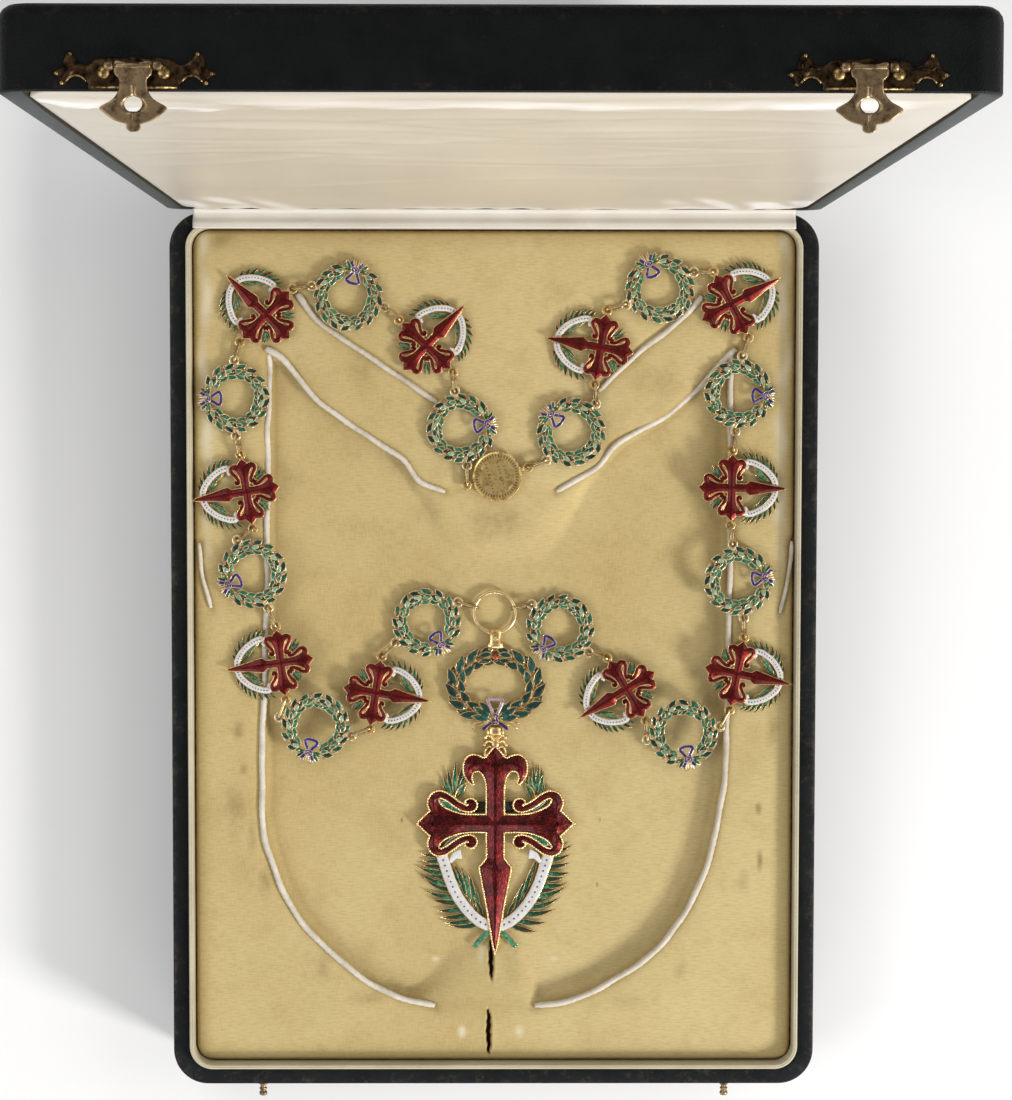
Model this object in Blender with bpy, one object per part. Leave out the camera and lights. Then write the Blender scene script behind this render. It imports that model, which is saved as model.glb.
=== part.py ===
"""Chivalric order collar lying in its open hinged case.

The collar is a closed chain of sword-cross medallions and laurel wreaths joined by oval jump links, with a round
clasp at the back of the neck and a wire ring at the front that carries a laurel wreath and a large sword cross.
The case is a shallow tray with a paper lip and a cloth pad, and a lid that stands open at a right angle.

Frame: +Z up, +Y towards the hinge, origin at the middle of the case's underside. Sizes are in millimetres.
"""

import math

import bmesh
import bpy
from mathutils import Matrix, Vector

MM = 0.001
GAP = 0.3

# Case
TRAY_HEIGHT = 40.0
WALL = 6.2
FLOOR = 4.0
CORNER_RADIUS = 13.5
CORNER_STEPS = 4
LID_DEPTH = 22.0
HINGE_GAP = 0.8
RIM_CHAMFER = 0.8
LIP_THICKNESS = 2.3
LIP_RISE = 3.0
PAD_SETBACK = 1.3
PAD_DROP = 2.0
RECESS_DEPTH = 5.5
LINING_SETBACK = 3.3
LINING_DROP = 2.0

# Hasps and catch posts
HASP_FROM_SIDE = 34.6
HASP_AXIS_HEIGHT = 1.8
HASP_AXIS_TO_RIM = 6.0
HASP_HOLE_DISTANCE = 9.2
HASP_HOLE_RADIUS = 1.95
HASP_THICKNESS = 1.0
POST_RADIUS = 1.25
POST_HEAD_RADIUS = 1.55
POST_LENGTH = 5.4

# Collar
EYE_OUTER = 1.95
EYE_INNER = 1.15
EYE_THICKNESS = 0.7
EYE_SIDES = 8
WREATH_EYE = 14.4
CROSS_EYE = 14.3
CLASP_RADIUS = 9.65
CLASP_EYE = CLASP_RADIUS + 2.65
JUMP_SPAN = 7.6
JUMP_OVERREACH = 0.4
JUMP_WIRE = 0.425
JUMP_HALF_HEIGHT = 1.275
JUMP_ROLL = 20.0
RING_RADIUS = 8.0
RING_WIRE = 0.5
COLLAR_LIFT = 1.95
SMALL_SCALE = 0.41
PALM_CENTRE = 6.5
PALM_TIP = 13.8
PALM_END_TIP = 13.2
WREATH_RADIUS = 12.5
BOW_REACH = 13.9
BOW_HALF_WIDTH = 3.2
PENDANT_X = 0.5
WREATH_CENTRE_Y = -13.8
CROSS_CENTRE_Y = -67.4
PIN_RADIUS = 0.6
STRAP_INNER = 0.9
STRAP_OUTER = 1.5
BAIL_HALF_WIDTH = 1.8
STRAP_HALF_WIDTH = 2.2

RIM_Z = TRAY_HEIGHT
PAD_Z = TRAY_HEIGHT - PAD_DROP
EYE_Z = PAD_Z + COLLAR_LIFT

CLASP = ("clasp", 1.1, 68.0, -74.0, 0.0, 0.0)
RING = ("ring", 0.2, 15.0, 0.0, RECESS_DEPTH, 0.0)

# Chosen stations of the pieces: kind, x, y, heading in degrees, drop into the recess, tilt in degrees.
# Heading is the direction of a cross's blade or of a wreath's bow.
LEFT_ROUTE = (
    ("wreath", -12.9, 86.4, 8.0, 0.0, 0.0),
    ("cross", -25.4, 116.4, 44.0, 0.0, 0.0),
    ("wreath", -55.5, 137.9, 75.0, 0.0, 0.0),
    ("cross", -88.5, 131.2, 134.0, 0.0, 0.0),
    ("wreath", -100.7, 98.2, 180.0, 0.0, 0.0),
    ("cross", -94.2, 60.4, 193.0, 0.0, 0.0),
    ("wreath", -93.8, 30.3, 210.0, 0.0, 0.0),
    ("cross", -82.1, -4.0, 189.0, 0.0, 0.0),
    ("wreath", -68.9, -29.3, 262.0, 1.6, -3.2),
    ("cross", -45.9, -15.8, -16.0, 3.75, -2.6),
    ("wreath", -25.4, 10.3, -62.0, 5.15, -1.0),
)
RIGHT_ROUTE = (
    ("wreath", 27.5, 84.8, 137.0, 0.0, 0.0),
    ("cross", 41.1, 116.8, 169.0, 0.0, 0.0),
    ("wreath", 63.1, 140.0, 116.0, 0.0, 0.0),
    ("cross", 91.0, 134.3, 30.0, 0.0, 0.0),
    ("wreath", 94.5, 101.5, 0.0, 0.0, 0.0),
    ("cross", 90.6, 64.4, 0.0, 0.0, 0.0),
    ("wreath", 94.6, 27.3, 15.0, 0.0, 0.0),
    ("cross", 94.4, -9.7, -14.0, 0.0, 0.0),
    ("wreath", 73.1, -32.8, -83.0, 1.6, 3.2),
    ("cross", 51.2, -14.2, 215.0, 3.75, 2.6),
    ("wreath", 24.6, 8.6, 238.0, 5.15, 1.0),
)
# Room between the laid collar's outermost points and the lip.
SIDE_ROOM = 0.1
BACK_ROOM = 6.2
FRONT_ROOM = 42.4

# Corner points of the pad's sunken field, anticlockwise from the upper left.
RECESS_OUTLINE = (
    (-88, 115), (-88, 19), (-90, -64), (-86, -82), (-81, -96), (-72, -109), (-62, -119), (-52, -127), (-42, -133),
    (-23, -139), (16, -139), (28, -137), (45, -130), (54, -124), (63, -117), (70, -109), (76, -100), (84, -80),
    (89, -55), (91, -6), (91, 115), (81, 105), (66, 92), (48, 81), (39, 71), (24, 62), (-19, 62), (-29, 66),
    (-36, 75), (-48, 83), (-67, 96), (-80, 111),
)

# Half outline of a fleury arm: distance from the crossing, half width, kept on the small medallions.
SIDE_ARM = (
    (3.15, 3.15, False), (7.6, 3.3, True), (7.4, 6.4, False), (8.8, 8.3, True), (11.2, 8.0, False),
    (12.0, 6.4, True), (14.8, 7.6, False), (18.2, 10.6, False), (21.9, 12.3, True), (25.0, 11.0, False),
    (25.9, 8.4, True), (24.6, 6.2, True), (26.8, 3.8, False),
)
SIDE_TIP = 30.3
TOP_ARM = (
    (3.15, 3.15, False), (15.8, 3.15, True), (18.4, 3.9, False), (20.4, 5.6, True), (19.4, 7.4, False),
    (17.4, 8.4, True), (17.6, 10.0, False), (19.2, 11.3, True), (21.8, 11.7, False), (24.8, 10.2, True),
    (25.8, 8.0, False), (25.0, 5.6, False), (24.0, 3.6, True), (26.2, 2.2, False),
)
TOP_TIP = 29.4
BLADE = ((14.0, 2.9), (17.4, 5.9))
BLADE_TIP = 50.4
BAR_HALF_WIDTH = 3.15


def clear_scene():
    """Remove whatever the new scene holds."""
    for item in list(bpy.data.objects):
        bpy.data.objects.remove(item, do_unlink=True)


def make_material(name, colour, metallic, roughness):
    """One Principled material."""
    material = bpy.data.materials.new(name)
    material.use_nodes = True
    shader = material.node_tree.nodes["Principled BSDF"]
    shader.inputs["Base Color"].default_value = (*colour, 1.0)
    shader.inputs["Metallic"].default_value = metallic
    shader.inputs["Roughness"].default_value = roughness
    material.diffuse_color = (*colour, 1.0)
    return material


def polar(radius, degrees):
    """Point at a radius and an angle."""
    angle = math.radians(degrees)
    return (radius * math.cos(angle), radius * math.sin(angle))


def mesh_from(points, faces, name):
    """Closed mesh from points in millimetres, with its faces turned outwards."""
    mesh = bpy.data.meshes.new(name)
    mesh.from_pydata([tuple(c * MM for c in p) for p in points], [], faces)
    work = bmesh.new()
    work.from_mesh(mesh)
    bmesh.ops.recalc_face_normals(work, faces=work.faces)
    work.to_mesh(mesh)
    work.free()
    return mesh


def loft(loops, name, closed=False):
    """Skin a row of loops of equal length, capped at both ends unless the row is closed."""
    count = len(loops[0])
    points = [p for loop in loops for p in loop]
    faces = []
    rows = len(loops) if closed else len(loops) - 1
    for row in range(rows):
        a = row * count
        b = ((row + 1) % len(loops)) * count
        for i in range(count):
            j = (i + 1) % count
            faces.append((a + i, a + j, b + j, b + i))
    if not closed:
        faces.append(tuple(reversed(range(count))))
        faces.append(tuple(range(len(points) - count, len(points))))
    return mesh_from(points, faces, name)


def at_height(outline, z):
    """Lift a flat outline to a height."""
    return [(x, y, z) for x, y in outline]


def prism(outline, low, high, name):
    """Straight extrusion of an outline."""
    return loft([at_height(outline, low), at_height(outline, high)], name)


def ring_prism(outer, inner, low, high, name):
    """Straight extrusion of a band between two outlines with equal numbers of points."""
    loops = [at_height(outer, low), at_height(outer, high), at_height(inner, high), at_height(inner, low)]
    return loft(loops, name, closed=True)


def circle(radius, sides, centre=(0.0, 0.0), turn=0.0):
    """Regular outline."""
    return [(centre[0] + polar(radius, turn + 360.0 * i / sides)[0],
             centre[1] + polar(radius, turn + 360.0 * i / sides)[1]) for i in range(sides)]


def rounded_rectangle(half_x, half_y, radius):
    """Rectangle with round corners, anticlockwise."""
    outline = []
    for corner, (sx, sy) in enumerate(((1, 1), (-1, 1), (-1, -1), (1, -1))):
        for step in range(CORNER_STEPS + 1):
            dx, dy = polar(radius, 90.0 * corner + 90.0 * step / CORNER_STEPS)
            outline.append((sx * (half_x - radius) + dx, sy * (half_y - radius) + dy))
    return outline


def racetrack(reach, radius, steps):
    """Two half circles whose centres lie at zero and at reach along the first axis."""
    outline = []
    for i in range(steps + 1):
        dx, dy = polar(radius, -90.0 + 180.0 * i / steps)
        outline.append((reach + dx, dy))
    for i in range(steps + 1):
        dx, dy = polar(radius, 90.0 + 180.0 * i / steps)
        outline.append((dx, dy))
    return outline


def wire_loop(path, radius, sides, name):
    """Round wire along a closed path that lies in one plane."""
    loops = []
    count = len(path)
    for i, (x, y) in enumerate(path):
        before = Vector(path[i - 1])
        after = Vector(path[(i + 1) % count])
        along = (after - before).normalized()
        outward = Vector((along.y, -along.x))
        loop = []
        for k in range(sides):
            u, v = polar(radius, 360.0 * (k + 0.5) / sides)
            loop.append((x + outward.x * u, y + outward.y * u, v))
        loops.append(loop)
    return loft(loops, name, closed=True)


def moved(mesh, matrix):
    """Copy of a mesh under a matrix given in millimetres."""
    copy = mesh.copy()
    matrix = matrix.copy()
    matrix.translation = matrix.translation * MM
    copy.transform(matrix)
    return copy


def fuse(meshes, name):
    """Union of closed meshes as one body."""
    base = bpy.data.objects.new(name + "_base", meshes[0])
    bpy.context.scene.collection.objects.link(base)
    cutters = []
    for number, mesh in enumerate(meshes[1:]):
        other = bpy.data.objects.new(f"{name}_piece{number}", mesh)
        bpy.context.scene.collection.objects.link(other)
        cutters.append(other)
        union = base.modifiers.new(f"union{number}", "BOOLEAN")
        union.operation = "UNION"
        union.solver = "EXACT"
        union.object = other
    return baked(base, cutters, name)


def cut(mesh, tools, name):
    """A closed mesh less the space of some tools."""
    base = bpy.data.objects.new(name + "_base", mesh)
    bpy.context.scene.collection.objects.link(base)
    cutters = []
    for number, tool in enumerate(tools):
        other = bpy.data.objects.new(f"{name}_tool{number}", tool)
        bpy.context.scene.collection.objects.link(other)
        cutters.append(other)
        difference = base.modifiers.new(f"cut{number}", "BOOLEAN")
        difference.operation = "DIFFERENCE"
        difference.solver = "EXACT"
        difference.object = other
    return baked(base, cutters, name)


def baked(base, helpers, name):
    """Mesh of an object with its modifiers, after which the object and its helpers go."""
    bpy.context.view_layer.update()
    graph = bpy.context.evaluated_depsgraph_get()
    result = bpy.data.meshes.new_from_object(base.evaluated_get(graph))
    result.name = name
    work = bmesh.new()
    work.from_mesh(result)
    bmesh.ops.remove_doubles(work, verts=work.verts, dist=0.00002)
    bmesh.ops.dissolve_limit(work, angle_limit=0.002, verts=work.verts, edges=work.edges)
    work.to_mesh(result)
    work.free()
    for item in [base] + helpers:
        bpy.data.objects.remove(item, do_unlink=True)
    return result


def place(name, mesh, material, matrix=None, parent=None):
    """Named object with its own material, placed by a matrix given in millimetres."""
    data = mesh.copy() if mesh.materials else mesh
    data.materials.clear()
    item = bpy.data.objects.new(name, data)
    bpy.context.scene.collection.objects.link(item)
    data.materials.append(material)
    if parent is not None:
        item.parent = parent
    if matrix is not None:
        matrix = matrix.copy()
        matrix.translation = matrix.translation * MM
        item.matrix_local = matrix
    return item


def eye(distance, outer, inner, name):
    """Flat ring with its neck, standing out along +Y."""
    half = EYE_THICKNESS / 2
    turn = 180.0 / EYE_SIDES
    return ring_prism(circle(outer, EYE_SIDES, (0.0, distance), turn), circle(inner, EYE_SIDES, (0.0, distance), turn),
                      -half, half, name)


def neck(start, end, half_width, name):
    """Short flat bar along +Y that joins an eye to its piece."""
    half = EYE_THICKNESS / 2
    outline = [(-half_width, start), (half_width, start), (half_width, end), (-half_width, end)]
    return prism(outline, -half * 0.9, half * 0.9, name)


def mirrored(mesh):
    """Copy turned half round, for the eye on the other side."""
    return moved(mesh, Matrix.Rotation(math.pi, 4, "Z"))


def arm_outline(points, tip, coarse):
    """Half outline of an arm as pairs from the crossing to the tip."""
    kept = [(a, w) for a, w, small in points if small or not coarse]
    return kept + [(tip, 0.0)]


def cross_outline(scale, coarse, top_points, top_tip):
    """Sword cross with its blade along +X, its head along -X and its side arms along Y."""
    side = arm_outline(SIDE_ARM, SIDE_TIP, coarse)
    top = arm_outline(top_points, top_tip, coarse)
    crotch = BAR_HALF_WIDTH
    outline = [(BLADE_TIP, 0.0)]
    outline += [(a, w) for a, w in reversed(BLADE)]
    outline.append((crotch, crotch))
    start = 1 if not coarse else 0
    outline += [(w, a) for a, w in side[start:]]
    outline += [(-w, a) for a, w in reversed(side[start:-1])]
    outline.append((-crotch, crotch))
    outline += [(-a, w) for a, w in top[start:]]
    outline += [(-a, -w) for a, w in reversed(top[start:-1])]
    outline.append((-crotch, -crotch))
    outline += [(-w, -a) for a, w in side[start:]]
    outline += [(w, -a) for a, w in reversed(side[start:-1])]
    outline.append((crotch, -crotch))
    outline += [(a, -w) for a, w in BLADE]
    return [(x * scale, y * scale) for x, y in outline]


def palm_outline(centre, tips, valleys, inner, spread, count, lean):
    """Two feathered branches joined in a U round the blade, which runs along +X.

    Each branch is a band between an inner and an outer ellipse, and its outer edge rises into leaning leaf tips.
    """
    outer_edge = []
    total = 2 * count
    for i in range(total):
        side = 1 if i < count else -1
        angle = spread - 2 * spread * (i + 0.5) / total
        tip = angle + side * lean
        tip = max(-spread, min(spread, tip))
        valley = spread - 2 * spread * (i + 1) / total
        peak = (centre + tips[0] * math.cos(math.radians(tip)), tips[1] * math.sin(math.radians(tip)))
        dip = (centre + valleys[0] * math.cos(math.radians(valley)), valleys[1] * math.sin(math.radians(valley)))
        outer_edge.append(peak)
        outer_edge.append(dip)
    steps = max(6, count)
    inner_edge = []
    for i in range(steps + 1):
        angle = math.radians(-spread + 2 * spread * i / steps)
        inner_edge.append((centre + inner[0] * math.cos(angle), inner[1] * math.sin(angle)))
    return inner_edge + outer_edge


def cross_link_mesh():
    """Small sword-cross medallion with palms and two eyes."""
    arms = tuple(SIDE_ARM)
    body = prism(cross_outline(SMALL_SCALE, True, arms, SIDE_TIP), -0.55, 1.5, "cross")
    palms = prism(palm_outline(PALM_CENTRE, (PALM_TIP, PALM_END_TIP), (11.9, 11.5), (8.4, 7.8), 84.0, 6, 4.0), -1.55, 0.35,
                  "palms")
    ring = eye(CROSS_EYE, EYE_OUTER, EYE_INNER, "eye")
    bar = neck(SIDE_TIP * SMALL_SCALE - 1.2, CROSS_EYE - EYE_OUTER + 0.5, 0.6, "neck")
    return fuse([body, palms, ring, mirrored(ring), bar, mirrored(bar)], "cross_link")


def wreath_outline(outer, notch, inner, inner_notch, clusters):
    """Outer and inner edges of a leafy band, three points to a cluster of leaves."""
    outside = []
    inside = []
    for i in range(clusters):
        for part in range(3):
            angle = math.radians(90.0 + 360.0 * (i + part / 3.0) / clusters)
            rim = notch if part == 0 else outer
            hole = inner_notch if part == 0 else inner
            outside.append((rim[0] * math.cos(angle), rim[1] * math.sin(angle)))
            inside.append((hole[0] * math.cos(angle), hole[1] * math.sin(angle)))
    return outside, inside


def wreath_link_mesh():
    """Laurel wreath with its bow along +X and two eyes along Y."""
    outside, inside = wreath_outline((WREATH_RADIUS, WREATH_RADIUS), (11.0, 11.0), (7.8, 7.8), (8.7, 8.7), 11)
    band = ring_prism(outside, inside, -1.4, 1.3, "band")
    bow = prism([(5.3, -2.3), (9.6, -1.2), (BOW_REACH, -BOW_HALF_WIDTH), (12.6, 0.0),
                 (BOW_REACH, BOW_HALF_WIDTH), (9.6, 1.2), (5.3, 2.3)],
                0.0, 1.6, "bow")
    ring = eye(WREATH_EYE, EYE_OUTER, EYE_INNER, "eye")
    bar = neck(10.4, WREATH_EYE - EYE_OUTER + 0.5, 0.6, "neck")
    return fuse([band, bow, ring, mirrored(ring), bar, mirrored(bar)], "wreath_link")


def jump_link_mesh():
    """Oval wire link, long along X and standing along Y."""
    reach = JUMP_SPAN / 2 + JUMP_OVERREACH - JUMP_HALF_HEIGHT
    path = [(x - reach, y) for x, y in racetrack(2 * reach, JUMP_HALF_HEIGHT, 4)]
    return wire_loop(path, JUMP_WIRE, 5, "jump_link")


def clasp_mesh():
    """Round seal with a small and a large eye."""
    rim = loft([at_height(circle(CLASP_RADIUS - 0.5, 22), -1.0), at_height(circle(CLASP_RADIUS, 22), -0.5),
                at_height(circle(CLASP_RADIUS, 22), 0.7), at_height(circle(CLASP_RADIUS - 0.5, 22), 1.1)], "seal")
    ring = eye(CLASP_EYE, EYE_OUTER, EYE_INNER, "eye")
    bar = neck(CLASP_RADIUS - 0.7, CLASP_EYE - EYE_OUTER + 0.5, 0.8, "neck")
    return fuse([rim, ring, mirrored(ring), bar, mirrored(bar)], "clasp_seal")


def ring_mesh():
    """Wire ring at the front of the collar."""
    return wire_loop(circle(RING_RADIUS, 20), RING_WIRE, 6, "centre_ring")


def strap_mesh(reach, half_width, name):
    """Strap bent into a closed loop: long along -Y, wide along X."""
    outer = racetrack(reach, STRAP_OUTER, 5)
    inner = racetrack(reach, STRAP_INNER, 5)
    flat = ring_prism(outer, inner, -half_width, half_width, name)
    turn = Matrix(((0.0, 0.0, 1.0, 0.0), (-1.0, 0.0, 0.0, 0.0), (0.0, -1.0, 0.0, 0.0), (0.0, 0.0, 0.0, 1.0)))
    return moved(flat, turn)


def cross_rod(half_length, radius, y, sides, name):
    """Round rod along X."""
    outline = circle(radius, sides, (y, 0.0), 180.0 / sides)
    return loft([[(-half_length, a, b) for a, b in outline], [(half_length, a, b) for a, b in outline]], name)


def lug(x_low, x_high, y_low, y_high, half_thickness, name):
    """Flat ear that carries a rod."""
    outline = [(x_low, y_low), (x_high, y_low), (x_high, y_high), (x_low, y_high)]
    return prism(outline, -half_thickness, half_thickness, name)


def pendant_wreath_mesh(pin_y, bar_y):
    """Oval wreath with a pin above and a bar below, each between two ears."""
    outside, inside = wreath_outline((19.3, 14.0), (17.6, 12.6), (10.6, 9.0), (11.6, 9.9), 16)
    band = ring_prism(outside, inside, -1.6, 1.5, "band")
    bow = prism([(-2.9, -4.9), (-1.3, -10.2), (-7.6, -17.2), (-4.6, -17.6), (0.0, -13.4), (4.6, -17.6),
                 (7.6, -17.2), (1.3, -10.2), (2.9, -4.9)], 0.2, 2.2, "bow")
    pieces = [band, bow]
    top_inner = BAIL_HALF_WIDTH + GAP
    low_inner = STRAP_HALF_WIDTH + GAP
    pieces.append(cross_rod(top_inner + 1.0, PIN_RADIUS, pin_y, 8, "pin"))
    pieces.append(cross_rod(low_inner + 1.1, PIN_RADIUS, bar_y, 8, "bar"))
    for side in (-1, 1):
        for inner, y_low, y_high in ((top_inner, 12.0, pin_y + 0.9), (low_inner, bar_y - 0.9, -11.8)):
            x_low, x_high = sorted((side * inner, side * (inner + 0.8)))
            pieces.append(lug(x_low, x_high, y_low, y_high, 0.9, "ear"))
    return fuse(pieces, "pendant_wreath")


def pendant_cross_mesh(strap_y):
    """Large sword cross with its blade along -Y, palms behind it and a strap loop above it."""
    turn = Matrix.Rotation(-math.pi / 2, 4, "Z")
    body = moved(prism(cross_outline(1.0, False, TOP_ARM, TOP_TIP), -0.9, 2.3, "cross"), turn)
    branches = palm_outline(20.0, (21.0, 27.3), (18.0, 24.0), (14.3, 16.6), 112.0, 9, 5.0)
    palms = moved(prism(branches, -1.6, 0.5, "palms"), turn)
    pieces = [body, palms]
    spray = [(10.5, 8.6), (19.0, 9.6), (20.2, 15.2), (16.8, 16.2), (16.4, 20.6), (13.4, 19.8), (11.6, 23.8),
             (9.4, 18.0)]
    for side in (-1, 1):
        pieces.append(prism([(side * x, y) for x, y in spray], -1.5, 0.4, "spray"))
        stem = [(side * 2.5, -40.0), (side * 6.2, -49.0), (side * 10.2, -48.0), (side * 6.5, -38.5)]
        pieces.append(prism(stem, -1.2, 0.2, "stem"))
    pieces.append(moved(strap_mesh(0.6, STRAP_HALF_WIDTH, "strap"), Matrix.Translation((0.0, strap_y, 0.0))))
    collar = [(-1.6, 27.0), (1.6, 27.0), (5.4, 29.4), (5.0, 31.6), (2.2, 32.4), (2.0, strap_y - 1.7),
              (-2.0, strap_y - 1.7), (-2.2, 32.4), (-5.0, 31.6), (-5.4, 29.4)]
    pieces.append(prism(collar, -0.8, 0.8, "scrolls"))
    return fuse(pieces, "pendant_cross")


def shell_mesh(height, wall, floor, edge, name):
    """Open tray with rounded corners: its underside at zero and its rim at the height."""
    half_x = CASE_WIDTH / 2
    half_y = CASE_LENGTH / 2
    inner_radius = CORNER_RADIUS - wall + 2.0

    def outer(inset, z):
        return at_height(rounded_rectangle(half_x - inset, half_y - inset, CORNER_RADIUS - inset), z)

    def inner(z):
        return at_height(rounded_rectangle(half_x - wall, half_y - wall, inner_radius), z)

    loops = [outer(edge, 0.0), outer(edge * 0.3, edge * 0.3), outer(0.0, edge), outer(0.0, height - RIM_CHAMFER),
             outer(RIM_CHAMFER, height), inner(height), inner(floor)]
    return loft(loops, name)


def hinge_bead_mesh(axis_y, axis_z):
    """Rolled leatherette bead on the lid's axis, with a web into the tray's rim."""
    radius = (HINGE_GAP + RIM_CHAMFER) / math.sqrt(2.0) - GAP
    half_length = CASE_WIDTH / 2 - CORNER_RADIUS
    profile = [(axis_y + y, axis_z + z) for y, z in (polar(radius, -75.0 + 40.0 * i) for i in range(7))]
    into_y, into_z = polar(2.0 * radius, 225.0)
    profile.append((profile[6][0] + into_y, profile[6][1] + into_z))
    profile.append((profile[0][0] + into_y, profile[0][1] + into_z))
    return loft([[(x, y, z) for y, z in profile] for x in (-half_length, half_length)], "bead")


def tray_mesh():
    """The case's lower shell with the bead along its back rim."""
    bead = hinge_bead_mesh((CASE_LENGTH + HINGE_GAP) / 2, RIM_Z + HINGE_GAP / 2)
    return fuse([shell_mesh(TRAY_HEIGHT, WALL, FLOOR, 2.0, "tray"), bead], "case_tray")


def pad_mesh():
    """Padded block with a sunken field."""
    half_x = CASE_WIDTH / 2 - WALL - GAP - LIP_THICKNESS - PAD_SETBACK
    half_y = CASE_LENGTH / 2 - WALL - GAP - LIP_THICKNESS - PAD_SETBACK
    low = FLOOR + GAP

    def level(inset, z):
        return at_height(rounded_rectangle(half_x - inset, half_y - inset, 6.5 - inset), z)

    block = loft([level(0.0, low), level(0.0, PAD_Z - 3.0), level(0.9, PAD_Z - 0.9), level(3.0, PAD_Z)], "block")
    outline = [(x, y + COLLAR_Y) for x, y in RECESS_OUTLINE]
    field = prism(outline, PAD_Z - RECESS_DEPTH, PAD_Z + 5.0, "field")
    return cut(block, [field], "case_pad")


def lip_mesh():
    """Paper-covered band that stands inside the walls and above the rim."""
    outer_x = CASE_WIDTH / 2 - WALL - GAP
    outer_y = CASE_LENGTH / 2 - WALL - GAP
    low = FLOOR + GAP
    high = RIM_Z + LIP_RISE
    inner_x = outer_x - LIP_THICKNESS
    inner_y = outer_y - LIP_THICKNESS
    loops = [at_height(rounded_rectangle(outer_x, outer_y, 9.0), low),
             at_height(rounded_rectangle(outer_x, outer_y, 9.0), high - 0.6),
             at_height(rounded_rectangle(outer_x - 0.7, outer_y - 0.7, 8.3), high),
             at_height(rounded_rectangle(inner_x + 0.5, inner_y + 0.5, 7.2), high),
             at_height(rounded_rectangle(inner_x, inner_y, 6.7), low)]
    return loft(loops, "case_lip", closed=True)


def lining_mesh():
    """Padded satin panel that fills the lid up to the groove round its edge."""
    half_x = CASE_WIDTH / 2 - WALL - LINING_SETBACK
    half_y = CASE_LENGTH / 2 - WALL - LINING_SETBACK
    low = LINING_DROP
    high = LID_DEPTH - FLOOR - GAP

    def level(inset, z):
        return at_height(rounded_rectangle(half_x - inset, half_y - inset, 6.0 - inset), z)

    return loft([level(3.0, low), level(0.9, low + 0.9), level(0.0, low + 3.0), level(0.0, high)], "lid_lining")


def hasp_mesh():
    """Fan-shaped tongue with a hole, hanging along -Z from its axis and flat along Y."""
    half = HASP_THICKNESS / 2
    right = [(4.6, 1.2), (4.6, -1.9), (3.0, -2.5), (2.9, -5.0), (4.2, -7.4), (7.7, -9.4), (5.6, -11.5), (1.5, -12.9),
             (1.5, -15.0)]
    outline = right + [(-x, z) for x, z in reversed(right)]
    flat = prism(outline, -half, half, "tongue")
    hole = prism(circle(HASP_HOLE_RADIUS, 12, (0.0, -HASP_HOLE_DISTANCE)), -5.0, 5.0, "hole")
    upright = Matrix.Rotation(math.pi / 2, 4, "X")
    return moved(cut(flat, [hole], "hasp"), upright)


def post_mesh():
    """Catch post along -Y with a slightly larger head."""
    levels = ((GAP, POST_RADIUS + 0.5), (GAP + 0.5, POST_RADIUS + 0.5), (GAP + 0.9, POST_RADIUS),
              (POST_LENGTH - 1.2, POST_RADIUS), (POST_LENGTH - 0.9, POST_HEAD_RADIUS),
              (POST_LENGTH - 0.2, POST_HEAD_RADIUS), (POST_LENGTH, POST_HEAD_RADIUS - 0.5))
    loops = [[(x, -distance, z) for x, z in circle(radius, 10)] for distance, radius in levels]
    return loft(loops, "catch_post")


def knuckle_mesh(x_low, x_high, wall_y, axis_y, axis_z):
    """Half-round ear on the lid's front wall that carries a hasp's axis."""
    radius = 1.2
    profile = [(wall_y + 1.0, axis_z - radius), (axis_y, axis_z - radius)]
    for i in range(1, 4):
        angle = math.radians(-90.0 - 45.0 * i)
        profile.append((axis_y + radius * math.cos(angle), axis_z + radius * math.sin(angle)))
    profile += [(axis_y, axis_z + radius), (wall_y + 1.0, axis_z + radius)]
    return loft([[(x_low, y, z) for y, z in profile], [(x_high, y, z) for y, z in profile]], "knuckle")


def lid_mesh(rim_z, wall_y, axis_z):
    """Lid with its rim facing down at a height, and the hasps' ears on its front wall."""
    shell = shell_mesh(LID_DEPTH, WALL, FLOOR, 4.0, "lid")
    turn = Matrix.Translation((0.0, wall_y + CASE_LENGTH / 2, rim_z + LID_DEPTH)) @ Matrix.Rotation(math.pi, 4, "Y")
    pieces = [moved(shell, turn)]
    axis_y = wall_y - HASP_AXIS_HEIGHT
    for centre in (HASP_FROM_SIDE - CASE_WIDTH / 2, CASE_WIDTH / 2 - HASP_FROM_SIDE):
        for side in (-1, 1):
            x_low, x_high = sorted((centre + side * 4.9, centre + side * 7.0))
            pieces.append(knuckle_mesh(x_low, x_high, wall_y, axis_y, axis_z))
    return fuse(pieces, "case_lid")


def eye_radius(kind):
    """Distance of a piece's eyes from its middle."""
    return {"wreath": WREATH_EYE, "cross": CROSS_EYE, "clasp": CLASP_EYE}[kind]


def lay_out_chain():
    """Settle both sides of the collar until each pair of facing eyes is one jump link apart.

    The clasp and the ring stay where they are, and the other pieces start from their chosen stations. Each pass
    moves and turns two neighbours by as little as brings their eyes to the right distance.
    """
    sides = []
    for route, out_sign in ((LEFT_ROUTE, 1), (RIGHT_ROUTE, -1)):
        pieces = [list(piece) for piece in route]
        start = eye_point(CLASP, -out_sign)
        end = ring_point(eye_point(pieces[-1], out_sign))
        for _ in range(400):
            end = ring_point(eye_point(pieces[-1], out_sign))
            for i in range(len(pieces) + 1):
                first = pieces[i - 1] if i > 0 else None
                second = pieces[i] if i < len(pieces) else None
                a = eye_point(first, out_sign) if first else start
                b = eye_point(second, -out_sign) if second else end
                draw_together(first, a, second, b)
        sides.append((pieces, start, end))
    return sides


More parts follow.
